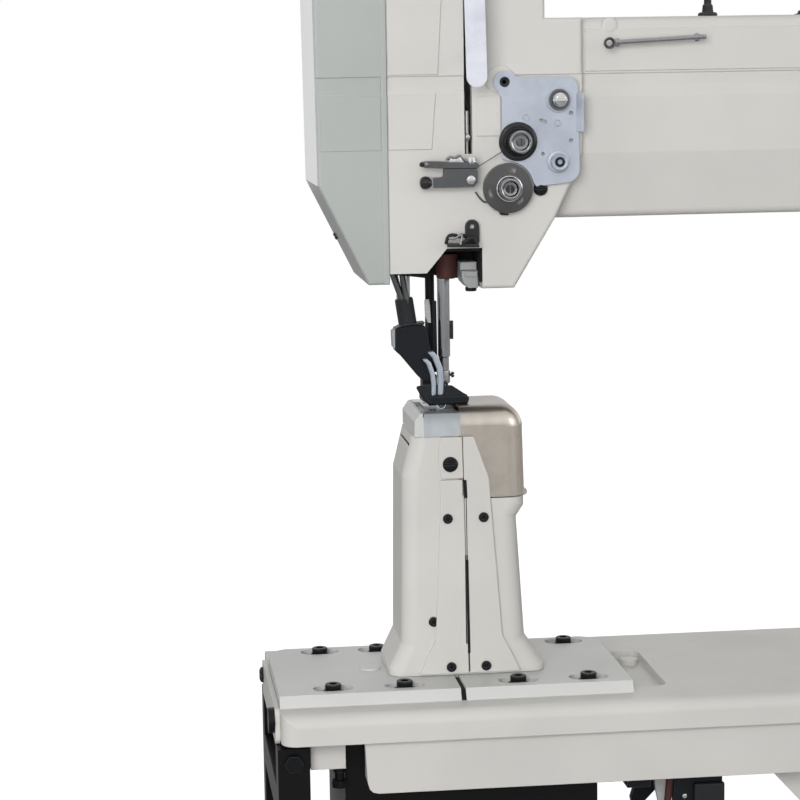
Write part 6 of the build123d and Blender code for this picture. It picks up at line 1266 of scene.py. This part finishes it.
# --------------------------------------------------------------------------- head and its knobs
@dataclass
class HeadTrim:
    """Small pieces on the head: the rod in the take-up's slot, cover screws and oil caps."""

    slot_x: float = 8.6
    front: float = -50.0
    arm_top: float = 423.9
    cover_edge: Point = (-66.7, 34.0, 287.0)
    caps: tuple[Point, ...] = ((238.0, 8.0), (296.0, -22.0))

    def build(self) -> None:
        """Makes the slot's rod and ferrule, the face cover's screw and hinge, and the caps."""
        Piece.turned("take_up_rod", (self.slot_x, self.front + 5, 338), UP, [(0, 1), (11, 1), (11.4, 1.5),
            (13, 1.6), (14.2, 1.3), (30, 1.2)], 16).done(BRIGHT)
        Piece.turned("take_up_ferrule", (self.slot_x, self.front + 3.4, 352), TOWARDS, [(0, 2), (1.4, 2.1),
            (2.2, 1.6), (2.6, 0.8)], 20).done(BRIGHT)
        slotted_screw("face_cover_screw", self.cover_edge, Vector((-0.897, 0, -0.443)), 2.4, 1.2)
        Piece.front("face_cover_bead", [(-45, 262.6), (-41.5, 262.6), (-41.5, 473.4), (-45, 473.4)],
            -51.15, 0.8).soften(0.25).done(FACE_GREEN)
        Piece.front("face_cover_panel", [(-45.3, 344.7), (-45.3, 378), (-82.6, 378), (-82.6, 344.7)], -51.2,
            0.8, 1.2).soften(0.25).done(FACE_GREEN)
        for index, z in enumerate((300, 440)):
            Piece.turned(f"face_cover_hinge_{index}", (-43.4, 46.4, z - 13), UP, [(0, 2.2), (0.4, 2.8),
                (8, 2.8), (8.2, 2.3), (8.6, 2.3), (8.8, 2.8), (17.2, 2.8), (17.4, 2.3), (17.8, 2.3),
                (18, 2.8), (25.6, 2.8), (26, 2.2)], 24).done(DARK_STEEL)
        for index, (x, y) in enumerate(self.caps):
            Piece.turned(f"oil_cap_{index}", (x, y, self.arm_top), UP, [(0, 6.4), (0.6, 6.6), (1.4, 6.2),
                (1.6, 4.6), (3, 4.2), (3.6, 3.4), (3.8, 1.6)], 32).done(KNOB)


@dataclass
class PressureKnob:
    """Knurled screw on the head's top that sets the presser's spring."""

    x: float = -26.0
    low: float = 474.1
    high: float = 488.0
    radius: float = 11.0

    def build(self) -> None:
        """Turns the knob, presses its knurl and lays the lock ring under it."""
        rise = self.high - self.low
        knob = Piece.turned("pressure_knob_body", (self.x, 0, self.low), UP, [(0, 8.6), (2.2, 8.8),
            (3, 10.4), (3.6, self.radius), (rise - 1.6, self.radius), (rise - 0.5, 10.2), (rise, 8.8),
            (rise - 0.4, 7.6), (rise - 0.9, 2)], 72)
        knob.pick(lambda middle, normal: abs(normal.z) < 0.2 and self.low + 5 < middle.z < self.high - 3)
        knob.inset(0.16, 0.42, each=True).done(KNOB, "pressure_knob", stands="pressure_knob")
        Piece.turned("pressure_knob_stem", (self.x, 0, 462), UP, [(0, 2.8), (0.5, 3.2),
            (12.4, 3.2)], 24).done(BRIGHT, "pressure_knob")
        Piece.turned("pressure_lock_ring", (self.x, 0, 473.9), UP, [(0, 11.8), (0.5, 12.2), (1.2, 12.2),
            (1.7, 11.6), (1.7, 9.4)], 48).done(DARK_STEEL)


@dataclass
class HandLifter:
    """Lever on the head's back that lifts the presser by hand."""

    shaft: Point = (-20.0, 48.1, 320.0)
    tip: tuple[float, float] = (32.0, 294.5)

    def build(self) -> None:
        """Makes the hub, the tapered arm and the finger pad."""
        x, y, z = self.shaft
        Piece.turned("hand_lifter_hub", self.shaft, AWAY, [(0, 9.6), (0.5, 10), (6.6, 10), (7.4, 9.4),
            (7.9, 8.2), (7.5, 6.4), (7.5, 3)]).done(BLACKED, "hand_lifter", stands="hand_lifter")
        Piece.front("hand_lifter_arm", [(x + 2, z + 6), (x + 2, z - 6.4),
            (self.tip[0] - 2, self.tip[1] - 5.2), (self.tip[0] + 2, self.tip[1] + 4.6)], y + 2.4,
            4.6, 1.2).soften(0.9, 3).done(BLACKED, "hand_lifter")
        Piece.turned("hand_lifter_pad", (self.tip[0], y + 1.8, self.tip[1]), AWAY, [(0, 6), (0.6, 6.8),
            (4.4, 7), (5.6, 6.6), (6.3, 5.2), (6, 3.4), (5.8, 1.2)]).done(
            KNOB, "hand_lifter", slot="black_oxide")
        Piece.turned("hand_lifter_shaft", (x, 35, z), AWAY, [(0, 7.4), (0.5, 8), (5.6, 8), (6, 5),
            (14, 5)], 32).done(GROUND, "hand_lifter")
        slotted_screw("hand_lifter_screw", (x, y + 7.4, z), AWAY, 4.4, 1.9, DARK_STEEL, body="hand_lifter")


# ----------------------------------------------------------------------------- pillar controls
@dataclass
class StitchDial:
    """Dial on the pillar that sets the stitch length, with plain numbers."""

    x: float = 335.0
    z: float = 196.0
    radius: float = 28.0
    seat: float = -50.1
    skirt: float = 5.6           # how far the numbered skirt stands out
    number_circle: float = 23.4
    number_height: float = 6.0
    highest: int = 8

    def body(self) -> None:
        """Turns the skirt and the grip, and presses the grip's flutes."""
        centre = (self.x, self.seat, self.z)
        Piece.turned("stitch_dial_skirt", centre, TOWARDS, [(0, self.radius - 0.6), (0.6, self.radius),
            (3.6, self.radius), (4.4, self.radius - 0.6), (self.skirt, self.radius - 1.4),
            (self.skirt, 18)], 80).done(KNOB, "stitch_dial", stands="stitch_dial")
        grip = Piece.turned("stitch_dial_grip", centre, TOWARDS, [(self.skirt - 0.6, 17.4),
            (self.skirt + 1, 16.8), (14.6, 16), (15.6, 15.2), (15.9, 14), (15.2, 12.6), (15.2, 8)], 48)
        grip.pick(lambda middle, normal: abs(normal.y) < 0.3 and middle.y < self.seat - self.skirt - 1.2)
        grip.inset(0.3, 0.7, each=True).done(KNOB, "stitch_dial")
        Piece.turned("stitch_dial_cap", centre, TOWARDS, [(15, 11.4), (16.6, 11.6), (17.6, 11), (18.2, 9),
            (18.2, 5.2), (17.6, 4.8), (17.6, 1.5)], 48).done(BRIGHT, "stitch_dial")

    def numbers(self) -> None:
        """Sets the numbers round the skirt and joins them into one piece."""
        Piece.take_up()
        digits = []
        for number in range(self.highest + 1):
            turn = math.radians(-144 + 288 * number / self.highest)
            spot = place(self.x + self.number_circle * math.sin(turn), self.seat - self.skirt + 0.1,
                self.z + self.number_circle * math.cos(turn))
            bpy.ops.object.text_add(location=spot, rotation=(math.pi / 2, turn, 0))
            digit = bpy.context.active_object
            digit.data.body, digit.data.size = str(number), self.number_height * MM
            digit.data.align_x = digit.data.align_y = "CENTER"
            digit.data.extrude = 0.25 * MM
            bpy.ops.object.convert(target="MESH")
            digits.append(bpy.context.active_object)
            bpy.ops.object.select_all(action="DESELECT")
        for digit in digits:
            digit.select_set(True)
        bpy.context.view_layer.objects.active = digits[0]
        bpy.ops.object.join()
        Piece("stitch_dial_numbers").done(CREAM, "stitch_dial")

    def build(self) -> None:
        """Makes the dial and the pointer above it."""
        self.body()
        self.numbers()
        Piece.front("stitch_dial_pointer", [(self.x - 3, self.z + 35), (self.x, self.z + 29.4),
            (self.x + 3, self.z + 35)], -51.2, 1.3).soften(0.3).done(BRIGHT)


@dataclass
class ReverseLever:
    """Lever under the dial that sews backwards while it is pressed."""

    x: float = 335.0
    z: float = 96.0
    reach: float = 62.0
    seat: float = -50.1

    def build(self) -> None:
        """Makes the hub, the flat arm, the grip and the hub's screw."""
        Piece.turned("reverse_lever_hub", (self.x, self.seat, self.z), TOWARDS, [(0, 12.4), (0.7, 13),
            (12.2, 13), (13.3, 12.2), (13.8, 10.8), (13.2, 8), (13.2, 3)], 48).done(
            BLACKED, "reverse_lever", stands="reverse_lever")
        socket_screw("reverse_lever_screw", (self.x, self.seat - 13, self.z), TOWARDS, 5, 3.4, DARK_STEEL,
            body="reverse_lever")
        tip = self.x - self.reach
        Piece.front("reverse_lever_arm", [(self.x - 4, self.z + 8.4), (self.x - 4, self.z - 8.4),
            (tip, self.z - 5.6), (tip - 4.6, self.z), (tip, self.z + 5.6)], self.seat - 13,
            5.4, 1.4).soften(1.1, 3).done(BLACKED, "reverse_lever")
        Piece.turned("reverse_lever_grip", (tip, self.seat - 12.4, self.z), TOWARDS, [(0, 5.6), (1.2, 6.6),
            (6, 7.2), (14, 8.8), (20.4, 8.9), (23.4, 8), (25, 6), (25.4, 3)]).done(KNOB, "reverse_lever")


# ------------------------------------------------------------------------ handwheel and winder
@dataclass
class Handwheel:
    """The handwheel: grooved rim, drilled web, hub and nut."""

    left: float = 400.0
    axis_z: float = 372.0
    radius: float = 75.0
    hole_circle: float = 40.5
    hole_radius: float = 12.3
    holes: int = 5

    def build(self) -> None:
        """Turns the wheel, drills its web, and fits the nut and the hub's set screws."""
        centre = (self.left, 0, self.axis_z)
        rim = self.radius
        wheel = Piece.turned("handwheel_rim", centre, RIGHT, [(0, 9), (0, 19.4), (0.6, 20), (8, 20),
            (10, 22), (10.6, 26), (10.6, 56), (8, 60.4), (4.6, 61.6), (4, 63), (4, rim - 5.4),
            (5, rim - 2.2), (7.4, rim - 0.4), (9.4, rim), (11.4, rim), (12.2, rim - 1.8), (14.4, rim - 3),
            (19.4, rim - 3), (21.6, rim - 1.8), (22.4, rim), (25.2, rim), (27.6, rim - 0.8),
            (29.4, rim - 2.8), (30, rim - 5.4), (30, 63), (29.4, 61.6), (20.4, 60.4), (17.6, 56),
            (17.6, 26), (18.2, 22), (20, 20), (27.4, 20), (28, 19.4), (28, 9), (0, 9)], 96, ring=True)
        drills = []
        for index in range(self.holes):
            turn = 2 * math.pi * index / self.holes
            spot = (self.left - 2, self.hole_circle * math.cos(turn),
                self.axis_z + self.hole_circle * math.sin(turn))
            drills.append(Piece.turned("drill", spot, RIGHT, [(0, self.hole_radius),
                (30, self.hole_radius)]))
        wheel.cut(*drills).soften(0.5, 2, 50).done(BLACK_ENAMEL, "drive_shaft", stands="handwheel")
        Piece.turned("handwheel_nut", (self.left + 27.8, 0, self.axis_z), RIGHT, [(0, 12.6), (0.5, 13),
            (3.6, 12.8), (4.8, 12), (5.8, 9.6), (6, 7), (5.2, 6.6), (5.2, 2)], 48).pick(
            lambda _, normal: abs(normal.x) < 0.3).inset(0.2, 0.3, each=True).done(BRIGHT, "drive_shaft")
        for index, turn in enumerate((80, 170)):
            out = Vector((0, math.cos(math.radians(turn)), math.sin(math.radians(turn))))
            seat = Vector((self.left + 24, 0, self.axis_z)) + out * 19.6
            socket_screw(f"handwheel_set_screw_{index}", seat, out, 3, 2.2, body="drive_shaft")


@dataclass
class Winder:
    """Bobbin winder on the arm's top: spindle, friction wheel, latch pad and screws."""

    axis_y: float = -8.0
    axis_z: float = 468.0
    left: float = 308.0
    base_top: float = 429.0

    def build(self) -> None:
        """Makes the spindle with its bobbin pin, the wheel and tyre, and the screws."""
        spindle = Piece.turned("winder_shaft", (self.left, self.axis_y, self.axis_z), RIGHT,
            [(0, 2), (1.2, 2.9), (16, 3), (16.4, 4), (26.8, 4), (27, 7.6), (27.4, 8), (31.4, 8),
            (31.9, 7.6), (31.9, 4), (64.1, 4), (64.1, 7.6), (64.6, 8), (68.6, 8), (69, 7.6), (69, 4),
            (104.6, 4), (105.6, 3)], 36)
        key = Piece.block("key", (self.left + 4, self.axis_y - 0.6, self.axis_z + 2.2),
            (self.left + 15, self.axis_y + 0.6, self.axis_z + 4))
        spindle.cut(key).done(GROUND, "winder_spindle", stands="winder_spindle")
        Piece.turned("winder_wheel", (404, self.axis_y, self.axis_z), RIGHT, [(0, 6.4), (0, 16.8),
            (0.5, 17.4), (7.5, 17.4), (8, 16.8), (8, 14.6), (5.4, 13.4), (5.4, 8), (8.2, 6.4),
            (8.2, 4.2)], 64).done(BRIGHT, "winder_spindle")
        Piece.turned("winder_tyre", (404, self.axis_y, self.axis_z), RIGHT, [(0.8, 17.2), (0.8, 19),
            (1.8, 20), (6.2, 20), (7.2, 19), (7.2, 17.2), (0.8, 17.2)], 64, ring=True).done(
            RUBBER, "winder_spindle")
        Piece.turned("winder_latch_pad", (325.6, 27.4, 471), RIGHT, [(0, 3.4), (0.5, 4.2), (5.2, 4.2),
            (5.8, 3.4)], 28).pick(lambda _, normal: abs(normal.x) < 0.2).inset(0.15, 0.3, each=True).done(
            BRIGHT, "winder_latch")
        slotted_screw("winder_latch_pivot", (326, 20, 441), LEFT, 3.4, 1.6, DARK_STEEL)
        first = slotted_screw("winder_base_screw_0", (327, -23, self.base_top), UP, 3.6, 1.8)
        for index, (x, y) in enumerate(((373, -23), (373, 21)), start=1):
            copied(first, f"winder_base_screw_{index}", Vector((x - 327, y + 23, 0)))


# ----------------------------------------------------------------------------- covers and stand
@dataclass
class BackCovers:
    """Screws of the plate on the arm's back."""

    plate: float = 49.4
    screws: tuple[float, ...] = (107.0, 243.0)
    height: float = 376.0

    def build(self) -> None:
        """Makes the screws."""
        for index, x in enumerate(self.screws):
            slotted_screw(f"arm_cover_screw_{index}", (x, self.plate - 1.2, self.height), AWAY, 4, 1.9,
                DARK_STEEL)


@dataclass
class StandFittings:
    """Weld beads of the stand, and the screws of the guard under the bed."""

    legs: tuple[Point, ...] = ((-109.5, -70.0), (-109.5, 70.0), (394.0, -70.0), (394.0, 70.0))
    tube: float = 20.0
    foot_top: float = -212.9

    def bead(self, name: str) -> Piece:
        """Lays one weld bead round the foot of the first leg.

        Args:
            name: Its name.

        Returns:
            The bead, still on the bench.
        """
        x, y = self.legs[0]
        half = self.tube / 2 + 0.4
        corners = [(x + side_x * half, y + side_y * half, self.foot_top + 0.6)
            for side_x, side_y in ((-1, -1), (1, -1), (1, 1), (-1, 1), (-1, -1))]
        return Piece.wire(name, corners, 2, smooth=False)

    def build(self) -> None:
        """Welds the first leg and copies the bead to the others, then screws the guard up."""
        first = self.bead("weld_bead_0").done(BLACK_ENAMEL)
        for index, (x, y) in enumerate(self.legs[1:], start=1):
            copied(first, f"weld_bead_{index}", Vector((x - self.legs[0][0], y - self.legs[0][1], 0)))
        for index, (x, side) in enumerate(((-60, TOWARDS), (70, TOWARDS), (-60, AWAY), (70, AWAY))):
            slotted_screw(f"guard_screw_{index}", (x, side.y * 60, -24), side, 3.6, 1.8)


@dataclass
class UnderBed:
    """What hangs under the bed beside the guard: return lever, rod and knee block."""

    def build(self) -> None:
        """Makes the pieces from left to right."""
        Piece.front("return_lever", [(120.6, -50), (131, -50), (130.4, -66), (129.4, -80), (126, -80.6),
            (122.9, -66)], -66, 4, 0.8).soften(0.8, 3).done(PALE_CAST)
        Piece.turned("return_rod", (129, -67.6, -84), Vector((3.4, 0, 36)), [(0, 1.9), (0.6, 2.3),
            (35, 2.3)], 20).done(BROWN_IRON, slot="steel")
        Piece.block("knee_block", (134.2, -68, -90), (166, -60.4, -46)).pick(
            lambda _, normal: normal.y < -0.9).inset(1.2, 0.5).soften(1, 3).done(BLACK_CAST)
        Piece.block("knee_block_cap", (147, -71, -92), (166.8, -66.6, -61)).soften(1.2, 3).done(BLACK_SATIN)
        for index, x in enumerate((151.6, 161)):
            socket_screw(f"knee_block_screw_{index}", (x, -67.4, -54.4), TOWARDS, 2.6, 1.4)
        Piece.turned("knee_block_pin", (141.2, -67.4, -69.6), TOWARDS, [(0, 1.6), (0.8, 1.5),
            (1.2, 0.9)], 16).done(BRIGHT)


# -------------------------------------------------------------------------------- studio
@dataclass
class Studio:
    """Floor, backdrop, lamps and camera, in metres."""

    yaw: float = math.radians(6.67)          # camera turned right of straight ahead
    pitch: float = math.radians(8.1126)      # and down
    roll: float = math.radians(0.9166)
    stand: Point = (-0.357823, -1.507555, 0.617903)
    lens: float = 106.95
    sensor: float = 36.0
    near: float = 0.01
    far: float = 50.0
    floor_reach: float = 12.0
    floor_drop: float = 0.0005
    fill: float = 0.33          # the white room's level as light
    mirrored: float = 0.85      # and as gloss and metal show it

    def camera(self) -> None:
        """Sets up the camera at the working view."""
        ahead = Vector((math.sin(self.yaw) * math.cos(self.pitch), math.cos(self.yaw) * math.cos(self.pitch),
                        -math.sin(self.pitch)))
        right = Vector((math.cos(self.yaw), -math.sin(self.yaw), 0.0))
        down = ahead.cross(right)
        side = right * math.cos(self.roll) + down * math.sin(self.roll)
        below = down * math.cos(self.roll) - right * math.sin(self.roll)
        data = bpy.data.cameras.new("studio_camera")
        data.sensor_width, data.lens = self.sensor, self.lens
        data.clip_start, data.clip_end = self.near, self.far
        camera = bpy.data.objects.new("studio_camera", data)
        camera.matrix_world = Matrix((side, -below, -ahead)).transposed().to_4x4()
        camera.location = self.stand
        bpy.context.scene.collection.objects.link(camera)
        bpy.context.scene.camera = camera

    def lamp(self, name: str, spot: Point, height: float, size: float, power: float,
             mirrored: bool = True) -> None:
        """Hangs one square soft lamp.

        Args:
            name: Its name.
            spot: Where it hangs.
            height: The height on the machine's middle at which it is aimed.
            size: Its width.
            power: Its power in watts.
            mirrored: Whether gloss and metal show it.
        """
        data = bpy.data.lights.new(name, "AREA")
        data.shape, data.size, data.energy = "SQUARE", size, power
        lamp = bpy.data.objects.new(name, data)
        lamp.location = spot
        lamp.visible_glossy = mirrored
        lamp.rotation_euler = (Vector((0.0, 0.0, height)) - Vector(spot)).to_track_quat("-Z", "Y").to_euler()
        bpy.context.scene.collection.objects.link(lamp)

    def backdrop(self) -> None:
        """Lays the pale floor and closes the world with white."""
        Piece.take_up()
        bpy.ops.mesh.primitive_plane_add(size=self.floor_reach, location=(0.0, 0.0, -self.floor_drop))
        floor = bpy.context.active_object
        floor.name = "studio_floor"
        dress(floor, PALE_FLOOR)
        world = bpy.data.worlds.new("white_room")
        bpy.context.scene.world = world
        world.use_nodes = True
        room = Bench(world.node_tree)
        level = (self.fill + (1.0 - self.fill) * room.rays("Is Camera Ray")
                 + (self.mirrored - self.fill) * room.rays("Is Glossy Ray"))
        background = world.node_tree.nodes["Background"]
        world.node_tree.links.new(level.socket, background.inputs["Strength"])
        background.inputs["Color"].default_value = (*WHITE, 1.0)

    def build(self) -> None:
        """Sets the whole studio."""
        self.camera()
        self.lamp("top_softbox", (0.1, -0.2, 2.4), 0.4, 1.4, 1.0)
        self.lamp("front_softbox", (-0.9, -2.2, 0.9), 0.35, 1.6, 44.0, mirrored=False)
        self.lamp("highlight_lamp", (-0.75, -2.0, 1.3), 0.35, 0.45, 1.8)
        self.lamp("right_softbox", (1.9, -1.6, 1.0), 0.4, 1.0, 5.0)
        self.lamp("left_softbox", (-2.4, -0.3, 1.0), 0.4, 1.2, 4.0, mirrored=False)
        self.lamp("back_softbox", (0.6, 2.4, 1.4), 0.4, 1.4, 22.0, mirrored=False)
        self.backdrop()
        bpy.context.scene.view_settings.view_transform = "Standard"
        LOG.info("studio set")


def main() -> None:
    """Builds the pieces in order."""
    Studio().build()
    dress_frame()
    for assembly in (TensionPlate, Tensions, ThreadGuides, NeedleWindow, NeedleBar, PresserFeet,
                     PostFittings, BedFittings, HeadTrim, PressureKnob, HandLifter, StitchDial,
                     ReverseLever, Handwheel, Winder, BackCovers, StandFittings, UnderBed):
        assembly().build()
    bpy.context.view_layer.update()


if __name__ == "__main__":
    main()
